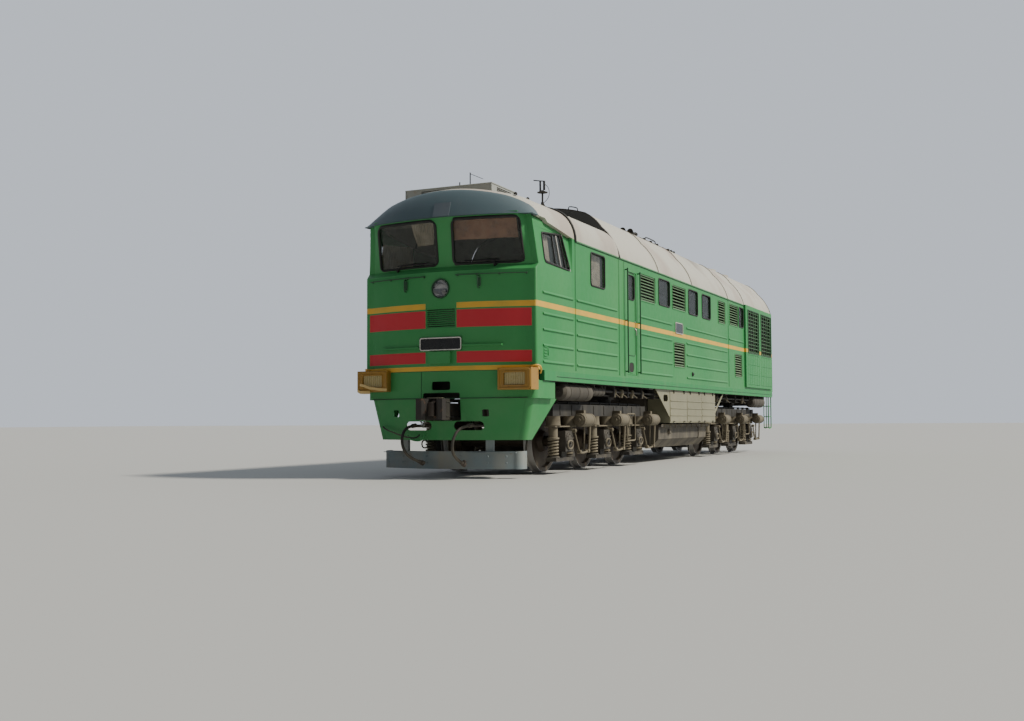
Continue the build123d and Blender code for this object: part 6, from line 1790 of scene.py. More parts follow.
@dataclass
class RoofSkin:
    """Bands, joint bead, crest, hatch lids and rails on the roof's skin."""

    bands: tuple[float, ...] = (6.24, 8.7, 11.93, 13.63, 16.9)
    band_width: float = 0.045
    joint: float = 1.63
    crest: float = 3.83
    hatches: tuple[Triple, ...] = (
        (4.15, 5.95, 0.62), (7.05, 8.4, 0.9), (8.9, 9.55, 0.9), (12.2, 13.35, 0.7),
    )
    lifting_rings: Pair = (5.98, 11.45)

    def roof_bands(self) -> None:
        """Flat bands round the high roof with a dark bead along each."""
        bands, beads = [], []
        for station in self.bands:
            places = HIGH_ROOF.arch(station - self.band_width / 2, 0.003)
            bands.append(Bench.ribbon(places, (0, self.band_width, 0), 0.012, 0.0))
            beads.append(Bench.pipe(HIGH_ROOF.arch(station, 0.009), 0.008, curved=False, sides=2))
        Bench.finish(bands, "roof_bands", Coat.ROOF)
        Bench.finish(beads, "roof_band_beads", Coat.SOOT)

    def joints(self) -> None:
        """Rubber joint behind the cab, and the rolled edge of the bulkhead with its grab handle."""
        bead = Bench.pipe(LOW_ROOF.arch(self.joint, 0.006), 0.028, curved=False)
        Bench.finish(bead, "cab_joint_rubber", Coat.GASKET)
        crest = [Bench.pipe(HIGH_ROOF.arch(self.crest, 0.0), 0.014, curved=False)]
        crest.append(Bench.ribbon(HIGH_ROOF.arch(3.86, 0.003), (0, 0.05, 0), 0.016, 0.0))
        line = [(0.72, 0), (0.72, 0.05), (0.69, 0.07), (0.56, 0.07), (0.53, 0.05), (0.53, 0)]
        crest.append(Bench.pipe(
            [mark(x, self.crest + 0.03, HIGH_ROOF.height(x) + rise) for x, rise in line], 0.01
        ))
        Bench.finish(crest, "bulkhead_crest", Coat.SOOT)

    def lids(self) -> None:
        """Dark seals round the roof hatches, with clamps along their edges."""
        seals, clamps = [], []
        for front, back, half in self.hatches:
            crown = [point for point in HIGH_ROOF.half(0.003) if point.x < half - 0.02]
            crown.insert(0, Vector((half, HIGH_ROOF.height(half) + 0.003)))
            left = [(point.x, up(point.y)) for point in crown]
            arch = left + [(-x, z) for x, z in reversed(left[:-1])]
            loop = [(x, at(front), z) for x, z in arch] + [(x, at(back), z) for x, z in reversed(arch)]
            seals.append(Bench.border(loop, 0.009, 2))
            edge = crown[0]
            for step in range(3):
                station = front + (back - front) * (step + 0.5) / 3
                low = mark(edge.x - 0.04, station - 0.03, edge.y - 0.01)
                clamp = Bench.block(low, mark(edge.x + 0.035, station + 0.03, edge.y + 0.028))
                clamps.append(Bench.both_sides(clamp))
        Bench.finish(seals, "roof_hatch_seals", Coat.SOOT)
        Bench.finish(clamps, "roof_hatch_clamps", Coat.SOOT)

    def rails(self) -> None:
        """Grab rail and lifting rings on the engine roof."""
        x = 0.62
        height = HIGH_ROOF.height(x)
        line = [(8.2, -0.01), (8.2, 0.1), (8.27, 0.135), (8.9, 0.135), (8.97, 0.1), (8.97, -0.01)]
        rail = Bench.pipe([mark(x, station, height + rise) for station, rise in line], 0.013)
        Bench.finish(rail, "roof_grab_rail", Coat.SOOT)
        rings = []
        for station in self.lifting_rings:
            centre = mark(0.3, station, HIGH_ROOF.height(0.3) + 0.045)
            rings.append(Bench.ring(centre, 0.045, 0.011, (20, 8), (0, math.pi / 2, 0)))
            foot = mark(0.27, station - 0.05, HIGH_ROOF.height(0.3) - 0.01)
            rings.append(Bench.block(foot, mark(0.33, station + 0.05, HIGH_ROOF.height(0.3) + 0.012)))
        Bench.finish(rings, "roof_lifting_rings", Coat.SOOT)

    def visor(self) -> None:
        """Blank patch on the visor's face."""
        roof = CabRoof(LOW_ROOF, VISOR_LIP)
        places = [
            mark(x, roof.visor_station(x) - 0.001, roof.visor_foot + 0.004)
            for x in (-0.05, 0.04, 0.13, 0.235)
        ]
        patch = Bench.ribbon(places, (0, 0.075, 0.225), 0.009, 0.0)
        Bench.finish(patch, "visor_patch", Coat.SLATE_LIGHT)

    def build(self) -> None:
        """Builds what lies on the roof's skin."""
        self.roof_bands()
        self.joints()
        self.lids()
        self.rails()
        self.visor()


@dataclass
class RoofGear:
    """Details of the cooling unit, aerials, horns, exhaust and radiator fans."""

    unit: tuple[Point, Point] = ((-1.0, 0.38, 4.45), (0.6, 1.25, 4.75))
    stack: Four = (9.7, 11.2, 0.33, 5.075)
    fans: tuple[float, ...] = (14.36, 15.72)
    guard_height: float = 4.978
    guard_rings: Four = (0.14, 0.28, 0.42, 0.565)
    sooty_stations: Pair = (8.95, 11.25)
    sooty_width: float = 0.55
    stud_stations: Triple = (0.15, 0.62, 1.25)
    stud_x: float = 1.13
    horn_x: Pair = (0.52, 0.69)

    def cooling_unit(self) -> None:
        """Lid, corner angles, side grille and whip aerials of the cooling unit."""
        (left, front, low), (right, back, high) = self.unit
        lid = [Bench.block(
            mark(left - 0.012, front - 0.012, high - 0.02), mark(right + 0.012, back + 0.012, high - 0.001)
        )]
        for x in (left, right):
            for station in (front, back):
                corner = (x, at(station))
                lid.append(Bench.block(
                    (corner[0] - 0.01, corner[1] - 0.01, up(4.5)),
                    (corner[0] + 0.01, corner[1] + 0.01, up(high - 0.02)), 0.003,
                ))
        Bench.finish(lid, "cooling_unit_lid", Coat.UNIT)
        slats = []
        for step in range(6):
            z = up(4.56 + step * 0.026)
            slats.append(Bench.block(
                (right - 0.004, at(front + 0.2), z), (right + 0.009, at(back - 0.14), z + 0.011), 0.002
            ))
            slats.append(Bench.block(
                (left + 0.3, at(front) - 0.009, z), (right - 0.75, at(front) + 0.004, z + 0.011), 0.002
            ))
        Bench.finish(slats, "cooling_unit_slats", Coat.SOOT)
        whips = []
        for x, station, tall in ((-0.07, 0.55, 4.84), (0.09, 0.62, 5.0)):
            whips.append(Bench.bar(mark(x, station, high), mark(x, station, tall), 0.01, 8))
            whips.append(Bench.turned(
                mark(x, station, high - 0.002), UPWARD,
                [(0, 0), (0, 0.03), (0.02, 0.026), (0.035, 0.012), (0.035, 0)], 12,
            ))
        whips.append(Bench.bar(mark(0.09, 0.62, 4.98), mark(0.33, 0.62, 4.87), 0.005, 6))
        Bench.finish(whips, "whip_aerials", Coat.SOOT)

    def aerials(self) -> None:
        """Two masts with their discs, feet, hanging wires, bars, plates and level rods."""
        parts = []
        for x, station, height in ((1.015, 1.5, 4.74), (-0.6, 1.9, 4.86)):
            foot = up(LOW_ROOF.height(x)) - 0.012
            spindle = (x, at(station), foot)
            parts.append(Bench.turned(
                spindle, UPWARD, [(0, 0), (0, 0.07), (0.025, 0.066), (0.04, 0.03), (0.1, 0.024)], 20
            ))
            parts.append(Bench.bar(spindle, mark(x, station, height), 0.016, 10))
            dish = [
                (0, 0), (0, 0.02), (-0.004, 0.088), (0.006, 0.092), (0.02, 0.05), (0.03, 0.03), (0.04, 0.02),
                (0.04, 0),
            ]
            parts.append(Bench.turned(mark(x, station, height), UPWARD, dish))
            parts.append(Bench.bar(
                mark(x - 0.04, station, height + 0.02), mark(x - 0.04, station, height + 0.2), 0.016, 10
            ))
            low = mark(x + 0.015, station - 0.012, height + 0.04)
            parts.append(Bench.block(low, mark(x + 0.05, station + 0.012, height + 0.19)))
            parts.append(Bench.bar(
                mark(x - 0.165, station, height + 0.225), mark(x + 0.05, station, height + 0.19), 0.009, 8
            ))
            wire = [(0.03, 0.15), (0.1, 0.1), (0.125, -0.02), (0.09, -0.12), (0.02, -0.17)]
            parts.append(Bench.pipe(
                [mark(x + side, station + 0.02, height + rise) for side, rise in wire], 0.005
            ))
        Bench.finish(parts, "aerial_masts", Coat.SOOT, replaces=["roof_antennas"])
        studs = []
        for station in self.stud_stations:
            base = mark(self.stud_x, station, LOW_ROOF.height(self.stud_x) - 0.008)
            studs.append(Bench.turned(
                base, (0.35, 0, 1), [(0, 0), (0, 0.032), (0.025, 0.03), (0.045, 0.012), (0.045, 0)], 14
            ))
        Bench.finish(studs, "cab_roof_studs", Coat.SOOT)

    def horns(self) -> None:
        """Two short horns lying on their posts."""
        parts = []
        bell = [
            (0.09, 0), (0.03, 0.034), (0, 0.062), (-0.006, 0.07), (0.004, 0.068), (0.05, 0.044),
            (0.14, 0.03), (0.32, 0.024), (0.33, 0.04), (0.4, 0.04), (0.41, 0),
        ]
        for x in self.horn_x:
            roof = HIGH_ROOF.height(x)
            parts.append(Bench.turned(mark(x, 6.98, roof + 0.075), REARWARD, bell))
            parts.append(Bench.bar(mark(x, 7.33, roof - 0.01), mark(x, 7.33, roof + 0.06), 0.016, 10))
        Bench.finish(parts, "horn_bells", Coat.SOOT, replaces=["roof_horns"])

    def exhaust(self) -> None:
        """Rim, divider, louvres and sooty plates of the exhaust box."""
        front, back, half, top = self.stack
        low, high = up(top - 0.012), up(top + 0.002)
        rim = [
            Bench.block((-half - 0.01, at(front + 0.09), low), (half + 0.01, at(front + 0.2), high)),
            Bench.block((-half - 0.01, at(back - 0.36), low), (half + 0.01, at(back - 0.24), high)),
            Bench.block((0.25, at(front + 0.2), low), (half + 0.01, at(back - 0.36), high)),
            Bench.block((-half - 0.01, at(front + 0.2), low), (-0.25, at(back - 0.36), high)),
            Bench.block(mark(-0.25, 10.26, top - 0.058), (0.25, at(10.3), high)),
        ]
        for hand in (1, -1):
            for step in range(5):
                station = front + 0.28 + step * 0.17
                inner, outer = sorted((hand * (half - 0.004), hand * (half + 0.008)))
                rim.append(Bench.block(mark(inner, station, 4.95), mark(outer, station + 0.09, 5.03), 0.003))
        Bench.finish(rim, "exhaust_rim", Coat.SOOT)
        strips = []
        for station in self.sooty_stations:
            points = [point for point in HIGH_ROOF.half(0.002) if point.x < 0.45]
            left = [mark(point.x, station, point.y) for point in points]
            right = [(-x, y, z) for x, y, z in reversed(left[:-1])]
            strips.append(Bench.ribbon(left + right, (0, self.sooty_width, 0), 0.014, 0.0))
        Bench.finish(strips, "sooty_roof_plates", Coat.SOOT)

    def fan_guards(self) -> None:
        """Rings and spokes over each radiator fan."""
        parts = []
        for station in self.fans:
            centre = Vector(mark(0.0, station, self.guard_height))
            for radius in self.guard_rings:
                parts.append(Bench.ring(centre, radius, 0.006, (48, 6)))
            for spoke in range(6):
                angle = math.pi * spoke / 6
                reach = Vector((math.cos(angle), math.sin(angle), 0)) * 0.572
                parts.append(Bench.bar(centre - reach, centre + reach, 0.006, 6))
        Bench.finish(parts, "fan_guards", Coat.SOOT)

    def build(self) -> None:
        """Builds the roof gear."""
        self.cooling_unit()
        self.aerials()
        self.horns()
        self.exhaust()
        self.fan_guards()


@dataclass
class RadiatorSides:
    """Shutter posts, rods and borders of the radiator walls."""

    face: float = 1.599
    bays: tuple[Pair, ...] = ((13.82, 15.12), (15.36, 16.66))
    low: float = 2.64
    high: float = 3.79
    post_shares: tuple[float, ...] = (0.1, 0.3, 0.52, 0.72, 0.9)
    rod_share: float = 0.62

    def build(self) -> None:
        """Builds the shutters' posts and the borders of both sides."""
        posts, borders = [], []
        for front, back in self.bays:
            for share in self.post_shares:
                station = front + (back - front) * share
                low = mark(self.face - 0.02, station - 0.011, self.low + 0.01)
                posts.append(Bench.block(
                    low, mark(self.face - 0.004, station + 0.011, self.high - 0.01), 0.002
                ))
            rod_station = front + (back - front) * self.rod_share
            rod = mark(self.face - 0.012, rod_station, self.low + 0.05)
            posts.append(Bench.bar(rod, (rod[0], rod[1], up(self.high - 0.05)), 0.007, 8))
            outline = oblong((front, self.low), (back, self.high), 0.02)
            borders.append(Bench.border(wall(self.face + 0.001, outline), 0.011, 2))
        Bench.finish_both(posts, "shutter_posts", Coat.SHUTTER)
        Bench.finish_both(borders, "shutter_borders", Coat.GREEN_DARK)


@dataclass
class Underfloor:
    """Doors, straps, pipes, valves and steps below the sills."""

    battery: Four = (7.07, 0.81, 10.72, 1.506)
    battery_face: float = 1.5
    battery_seams: tuple[float, ...] = (7.07, 8.34, 9.53, 10.72)
    battery_ridges: tuple[float, ...] = (1.28, 1.12, 0.97)
    tank: Pair = (6.9, 10.6)
    tanks: tuple[Four, ...] = (
        (1.29, 1.3, 0.145, 1.349), (2.7, 0.65, 0.08, 1.386), (14.9, 1.3, 0.145, 1.349),
    )
    hoop_shares: Triple = (0.2, 0.5, 0.8)
    strap_shares: Triple = (0.12, 0.5, 0.88)
    pipe_runs: tuple[Pair, ...] = ((3.45, 6.95), (10.85, 14.75))
    pipe_lines: tuple[Triple, ...] = ((1.38, 1.4, 0.022), (1.31, 1.33, 0.017))
    clip_shares: Four = (0.12, 0.34, 0.58, 0.8)
    valves: tuple[float, ...] = (3.95, 4.35, 4.95, 5.55, 11.3, 12.2, 13.9)
    corner_rungs: Triple = (0.64, 0.95, 1.25)

    def battery_doors(self) -> None:
        """Ridged doors of the battery boxes with their seams, hinges and catches."""
        face = self.battery_face
        front, low, back, high = self.battery
        doors, catches = [], []
        for first, last in zip(self.battery_seams, self.battery_seams[1:]):
            doors.append(Bench.block(
                mark(face - 0.003, first + 0.012, low + 0.02), mark(face + 0.008, last - 0.012, high - 0.03)
            ))
            for height in self.battery_ridges:
                doors.append(Bench.block(
                    mark(face + 0.002, first + 0.03, height - 0.012),
                    mark(face + 0.02, last - 0.03, height + 0.012), 0.007, 2,
                ))
            for share in (0.2, 0.8):
                station = first + (last - first) * share
                catches.append(Bench.block(
                    mark(face, station - 0.02, high - 0.07),
                    mark(face + 0.026, station + 0.02, high - 0.004), 0.005,
                ))
                catches.append(Bench.bar(
                    mark(face + 0.016, station - 0.05, low + 0.03),
                    mark(face + 0.016, station + 0.05, low + 0.03), 0.011, 8,
                ))
        Bench.finish_both(doors, "battery_doors", Coat.BATTERY)
        Bench.finish_both(catches, "battery_catches", Coat.IRON)

    def tank_details(self) -> None:
        """Straps, lip beads, filler, gauge and drain of the fuel tank."""
        front, back = self.tank
        lip = [Bench.block(mark(1.345, front + 0.01, 0.768), mark(1.366, back - 0.01, 0.782))]
        for step in range(9):
            station = front + 0.2 + step * (back - front - 0.4) / 8
            lip.append(Bench.block(mark(1.352, station - 0.012, 0.7), mark(1.372, station + 0.012, 0.775)))
        Bench.finish_both(lip, "tank_lip_beads", Coat.DUSTY)
        straps = []
        for share in self.strap_shares:
            station = front + (back - front) * share
            line = [(1.302, 0.724), (1.292, 0.47), (1.112, 0.288), (0.9, 0.288)]
            places = [mark(x, station - 0.03, height) for x, height in line]
            straps.append(Bench.ribbon(places, (0, 0.06, 0), 0.008))
        filler = Bench.turned(
            mark(1.29, 7.6, 0.62), (1, 0, 0.1),
            [(0, 0), (0, 0.06), (0.035, 0.06), (0.04, 0.045), (0.055, 0.045), (0.055, 0)], 20,
        )
        gauge = Bench.bar(mark(1.312, 9.9, 0.45), mark(1.318, 9.9, 0.7), 0.01, 8)
        seats = [
            Bench.block(mark(1.29, 9.87, height), mark(1.325, 9.93, height + 0.03))
            for height in (0.45, 0.68)
        ]
        Bench.finish_both(straps + [filler, gauge] + seats, "tank_straps", Coat.TANK)

    def reservoirs(self) -> None:
        """Hoops and end bosses of the air reservoirs."""
        hoops = []
        for front, length, radius, height in self.tanks:
            for share in self.hoop_shares:
                station = front + length * share
                profile = [
                    (-0.02, radius - 0.002), (-0.02, radius + 0.005), (0.02, radius + 0.005),
                    (0.02, radius - 0.002),
                ]
                hoops.append(Bench.turned(mark(1.36, station, height), REARWARD, profile, 28))
            hoops.append(Bench.turned(
                mark(1.36, front, height), FORWARD, [(-0.02, 0.03), (0.02, 0.028), (0.02, 0)], 14
            ))
        Bench.finish_both(hoops, "reservoir_hoops", Coat.TANK)

    def pipework(self) -> None:
        """Air pipes along the frame with their valves and clips."""
        parts = []
        for first, last in self.pipe_runs:
            for x, height, radius in self.pipe_lines:
                ends = [mark(x, first, 1.5), mark(x, first, height), mark(x, first + 0.15, height)]
                ends += [mark(x, last - 0.15, height), mark(x, last, height), mark(x, last, 1.5)]
                parts.append(Bench.pipe(ends, radius))
            for share in self.clip_shares:
                station = first + (last - first) * share
                parts.append(Bench.block(
                    mark(1.28, station - 0.018, 1.3), mark(1.42, station + 0.018, 1.505)
                ))
        Bench.finish_both(parts, "frame_pipes", Coat.IRON)
        valves = []
        for station in self.valves:
            foot = mark(1.38, station, 1.4)
            profile = [
                (-0.05, 0), (-0.05, 0.035), (-0.02, 0.05), (0.03, 0.05), (0.06, 0.03), (0.1, 0.03),
                (0.105, 0),
            ]
            valves.append(Bench.turned(foot, (0, 0, -1), profile, 16))
            spout = [(1.4, station, 1.36), (1.44, station + 0.05, 1.34), (1.45, station + 0.12, 1.3)]
            valves.append(Bench.pipe([mark(x, s, h) for x, s, h in spout], 0.01))
        Bench.finish_both(valves, "frame_valves", Coat.DUSTY)

    def corner_steps(self) -> None:
        """Upright green step bars below the rear corners."""
        line = [(16.62, 1.52), (16.62, 0.66), (16.66, 0.62), (16.92, 0.62), (16.96, 0.66), (16.96, 1.52)]
        parts = [Bench.pipe(wall(1.5, line), 0.016)]
        for height in self.corner_rungs:
            parts.append(Bench.block(mark(1.36, 16.62, height - 0.012), mark(1.515, 16.96, height + 0.012)))
        parts.append(Bench.pipe(wall(1.37, line), 0.012))
        Bench.finish_both(parts, "rear_corner_steps", Coat.GREEN)

    def build(self) -> None:
        """Builds the underfloor details."""
        self.battery_doors()
        self.tank_details()
        self.reservoirs()
        self.pipework()
        self.corner_steps()


@dataclass
class BogieDress:
    """Coils, cups, axle-box covers, levers, pipes and hoops of one bogie."""

    place: str
    centre: float
    pitch: float = 1.85
    line: float = 1.17
    spring_offset: float = 0.33
    seat: float = 0.25
    spring_top: float = 0.59
    coil_radius: float = 0.08
    wire: float = 0.0155
    turns: int = 6
    axle_height: float = 0.525
    cylinder_line: float = 1.415
    cylinder_height: float = 0.88
    cylinder_radius: float = 0.115
    cylinder_front: float = 0.26
    cylinder_length: float = 0.48
    hoop_shares: Pair = (0.12, 0.88)

    def axles(self) -> list[float]:
        """Stations of the three axles."""
        return [self.centre + step * self.pitch for step in (-1, 0, 1)]

    def springs(self) -> list[float]:
        """Stations of the six springs of one side."""
        return [axle + side * self.spring_offset for axle in self.axles() for side in (-1, 1)]

    def spread(self, piece: Piece, stations: Sequence[float]) -> Piece:
        """Repeats a piece made at the first station at the others, on both sides."""
        moves = [(0, station - stations[0], 0) for station in stations[1:]]
        return Bench.both_sides(Bench.repeat(piece, moves))

    def dress(self, piece: Piece | list[Piece], name: str, coat: Coat, replaces: Sequence[str] = ()) -> None:
        """Finishes a piece of this bogie, with the bogie's name before its own."""
        body = f"bogie_{self.place}"
        Bench.finish(piece, f"{body}_{name}", coat, body, replaces)

    def coils(self) -> None:
        """Coil springs: one ring of wire screwed up to the height, and repeated."""
        Bench.clear()
        first = self.springs()[0]
        bpy.ops.mesh.primitive_circle_add(
            vertices=8, radius=self.wire, location=(self.coil_radius, 0, 0), rotation=(math.pi / 2, 0, 0)
        )
        wire = Bench.settle()
        rise = (self.spring_top - self.seat - 2 * self.wire - 0.004) / self.turns
        Bench.modify(
            wire, "SCREW", angle=math.tau, screw_offset=rise, iterations=self.turns, steps=18,
            render_steps=18
        )
        Bench.edit()
        bpy.ops.mesh.remove_doubles(threshold=MERGE)
        bpy.ops.mesh.fill_holes(sides=8)
        bpy.ops.mesh.normals_make_consistent(inside=False)
        bpy.ops.object.mode_set(mode="OBJECT")
        bpy.ops.transform.translate(value=mark(self.line, first, self.seat + self.wire))
        coils = self.spread(Bench.settle(), self.springs())
        self.dress(coils, "coils", Coat.DUSTY, [f"bogie_springs_{self.place}"])

    def cups(self) -> None:
        """Feet, upper seats, pistons and cups of the springs, and the plates that join them."""
        first = self.springs()[0]
        foot = [(0, 0), (0, 0.105), (0.012, 0.112), (0.03, 0.105), (0.03, 0.06), (0.05, 0.05), (0.05, 0)]
        feet = Bench.turned(mark(self.line, first, self.seat - 0.004), UPWARD, foot, 20)
        feet = self.spread(feet, self.springs())
        self.dress(feet, "spring_feet", Coat.IRON)
        upper = [
            (-0.05, 0), (-0.05, 0.05), (-0.03, 0.055), (-0.028, 0.104), (0, 0.104), (0.004, 0.078),
            (0.165, 0.078), (0.17, 0),
        ]
        pistons = Bench.turned(mark(self.line, first, self.spring_top), UPWARD, upper)
        rim = [(0, 0), (0, 0.128), (0.012, 0.132), (0.024, 0.126), (0.15, 0.12), (0.164, 0.126), (0.164, 0)]
        cups = Bench.turned(mark(self.line, first, 0.786), UPWARD, rim)
        cups = self.spread(Bench.join([pistons, cups]), self.springs())
        plates = []
        for axle in self.axles():
            reach = self.spring_offset + 0.13
            plates.append(Bench.block(
                mark(self.line - 0.1, axle - reach, 0.76), mark(self.line + 0.1, axle + reach, 0.785)
            ))
        plates = Bench.both_sides(Bench.join(plates))
        self.dress([cups, plates], "spring_cups", Coat.DUSTY)

    def covers(self) -> None:
        """Round covers of the axle boxes with their bolts."""
        origin = mark(self.line + 0.15, self.axles()[0], self.axle_height)
        cover = [
            (0, 0), (0, 0.145), (0.012, 0.145), (0.018, 0.138), (0.018, 0.1), (0.03, 0.092), (0.034, 0.05),
            (0.05, 0.04), (0.05, 0),
        ]
        parts = [Bench.turned(origin, OUTWARD, cover, 28)]
        for bolt in range(8):
            angle = math.tau * bolt / 8
            y, z = origin[1] + 0.12 * math.cos(angle), origin[2] + 0.12 * math.sin(angle)
            parts.append(Bench.turned((origin[0] + 0.016, y, z), OUTWARD, disc(0.013, 0.014), 6))
        covers = self.spread(Bench.join(parts), self.axles())
        self.dress(covers, "box_covers", Coat.IRON)

    def cylinders(self) -> None:
        """Covers, hoops and fork ends of the brake cylinders."""
        station = self.axles()[0] + self.cylinder_front
        origin = mark(self.cylinder_line, station, self.cylinder_height)
        edge = self.cylinder_radius
        cover = [
            (-0.002, edge), (0.01, edge - 0.004), (0.014, edge * 0.72), (0.024, edge * 0.66), (0.026, 0.03),
            (0.045, 0.026), (0.045, 0),
        ]
        parts = [Bench.turned(origin, FORWARD, cover, 28)]
        for share in self.hoop_shares:
            hoop = [
                (share * self.cylinder_length - 0.012, edge - 0.002),
                (share * self.cylinder_length - 0.012, edge + 0.004),
            ]
            hoop += [(along + 0.024, radius) for along, radius in reversed(hoop)]
            parts.append(Bench.turned(origin, REARWARD, hoop, 28))
        for bolt in range(6):
            angle = math.tau * bolt / 6
            place = (
                origin[0] + 0.095 * math.cos(angle), origin[1] - 0.01, origin[2] + 0.095 * math.sin(angle)
            )
            parts.append(Bench.turned(place, FORWARD, disc(0.011, 0.014), 6))
        fork = (origin[0], origin[1] + self.cylinder_length + 0.15, origin[2])
        parts.append(Bench.turned((fork[0] - 0.045, fork[1], fork[2]), OUTWARD, disc(0.03, 0.09), 12))
        cylinders = self.spread(Bench.join(parts), self.axles())
        self.dress(cylinders, "cylinder_covers", Coat.DUSTY)

    def levers(self) -> None:
        """Brake levers, links and hanging loops beside each wheel, and the safety hoop between two axles."""
        x = self.line + 0.17
        axle = self.axles()[0]
        rod_end = axle + 0.885
        parts = []
        arm = [(rod_end, 0.93), (rod_end + 0.01, 0.8), (rod_end - 0.02, 0.55), (rod_end - 0.06, 0.34)]
        parts.append(Bench.pipe(wall(self.cylinder_line - 0.055, arm), 0.02))
        slanted = [(axle + 0.2, 0.7), (axle + 0.31, 0.52), (axle + 0.43, 0.33)]
        parts.append(Bench.pipe(wall(x, slanted), 0.017))
        loop = [(-0.25, 0.47), (-0.2, 0.4), (-0.06, 0.4), (0, 0.46), (-0.03, 0.53), (-0.2, 0.54)]
        parts.append(Bench.pipe([mark(x + 0.06, axle + s, h) for s, h in loop], 0.013, closed=True))
        link = [(axle + 0.43, 0.33), (axle + 0.6, 0.29), (rod_end - 0.06, 0.34)]
        parts.append(Bench.pipe(wall(x, link), 0.018))
        for station, height in ((axle + 0.43, 0.33), (rod_end - 0.06, 0.34), (axle + 0.2, 0.7)):
            pin = [(0, 0), (0, 0.034), (0.07, 0.034), (0.08, 0.02), (0.08, 0)]
            parts.append(Bench.turned(mark(x - 0.04, station, height), OUTWARD, pin, 12))
        hanger = [(rod_end - 0.05, 0.96), (rod_end - 0.02, 0.7), (rod_end - 0.06, 0.34)]
        parts.append(Bench.pipe(wall(x - 0.07, hanger), 0.016))
        joined = self.spread(Bench.join(parts), self.axles())
        self.dress(joined, "brake_levers", Coat.DUSTY)
        last = self.axles()[2]
        outline = oblong((last - 0.79, 0.48), (last - 0.32, 0.995), 0.05)
        hoop = Bench.border(wall(x + 0.01, outline), 0.014)
        self.dress(Bench.both_sides(hoop), "safety_hoop", Coat.DUSTY)

    def beam(self) -> None:
        """Pipe, clips, ribs and bearer dishes on the side beams."""
        outer = self.line + 0.095
        parts = []
        reach = self.pitch + 0.5
        line = [
            (self.centre - reach, 1.17), (self.centre - reach + 0.2, 1.185),
            (self.centre + reach - 0.2, 1.185), (self.centre + reach, 1.17),
        ]
        parts.append(Bench.pipe(wall(self.line, line), 0.017))
        for step in range(9):
            station = self.centre - reach + 0.25 + step * (2 * reach - 0.5) / 8
            parts.append(Bench.block(
                mark(self.line - 0.03, station - 0.015, 1.148),
                mark(self.line + 0.03, station + 0.015, 1.206),
            ))
            parts.append(Bench.block(
                mark(outer - 0.002, station - 0.012, 0.965), mark(outer + 0.012, station + 0.012, 1.135)
            ))
        beam = Bench.both_sides(Bench.join(parts))
        self.dress(beam, "beam_fittings", Coat.BOGIE)

    def sand_pipes(self) -> None:
        """Sand pipes that reach down in front of the outer wheels."""
        pipes = []
        for end in (-1, 1):
            station = self.centre + end * (self.pitch + 0.545)
            foot = self.centre + end * (self.pitch + 0.6)
            line = [
                (0.83, station, 1.0), (0.83, station, 0.8), (0.8, foot, 0.5),
                (0.775, foot - end * 0.04, 0.2), (0.77, foot - end * 0.08, 0.12),
            ]
            pipes.append(Bench.pipe([mark(x, s, h) for x, s, h in line], 0.02))
            pipes.append(Bench.block(
                mark(0.79, station - 0.03, 0.9), mark(0.87, station + 0.03, 0.955), 0.005
            ))
        self.dress(Bench.both_sides(Bench.join(pipes)), "sand_pipes", Coat.IRON)

    def build(self) -> None:
        """Builds the bogie's details."""
        self.coils()
        self.cups()
        self.covers()
        self.cylinders()
        self.levers()
        self.beam()
        self.sand_pipes()


@dataclass
class CouplerDress:
    """Lock, guard arm edges, release shaft and chain of one coupler."""

    end: str
    face: float
    height: float = 1.06

    def build(self) -> None:
        """Builds the pieces that swing with the coupler."""
        way = -1.0 if self.end == "front" else 1.0
        body = f"coupler_{self.end}"

        def place(x: float, ahead: float, rise: float) -> Point:
            """Point by side, distance ahead of the coupling plane and rise over the coupler's centre."""
            return (x * -way, self.face + way * ahead, up(self.height + rise))

        def span(first: Point, last: Point, edge: float) -> Piece:
            """Block between two such points."""
            one, two = place(*first), place(*last)
            pairs = [sorted(values) for values in zip(one, two)]
            return Bench.block([low for low, high in pairs], [high for low, high in pairs], edge, 2)

        lock = [
            span((-0.075, -0.115, -0.11), (0.035, -0.035, 0.11), 0.012),
            span((-0.02, -0.1, 0.1), (0.05, -0.05, 0.135), 0.01),
        ]
        Bench.finish(lock, f"{body}_lock", Coat.CAST, body)
        ribs = []
        for rise in (-0.12, 0.105):
            ribs.append(span((-0.268, -0.13, rise), (-0.245, 0.005, rise + 0.018), 0.006))
            ribs.append(span((0.245, -0.15, rise), (0.268, -0.02, rise + 0.018), 0.006))
        shaft = Bench.bar(place(-0.2, -0.16, 0.06), place(-0.3, -0.16, 0.06), 0.02)
        eye = Bench.turned(place(-0.285, -0.16, 0.06), OUTWARD, disc(0.032, 0.02), 12)
        top = span((-0.15, -0.2, 0.16), (0.13, -0.06, 0.172), 0.004)
        Bench.finish(ribs + [shaft, eye, top], f"{body}_ribs", Coat.COUPLER, body)
        cap = span((-0.16, -0.24, 0.166), (0.12, -0.15, 0.186), 0.006)
        Bench.finish(cap, f"{body}_dust_cap", Coat.BATTERY, body)
        links = []
        for step in range(9):
            share = step / 8
            drop = -0.12 - 0.13 * math.sin(share * math.pi) - 0.04 * share
            centre = place(-0.285 + 0.1 * share, -0.17 + 0.02 * share, drop + 0.02)
            links.append(Bench.ring(centre, 0.02, 0.006, (12, 6), (math.pi / 2 * (step % 2), 0.7, 0)))
        Bench.finish(links, f"{body}_chain", Coat.STEEL, body)


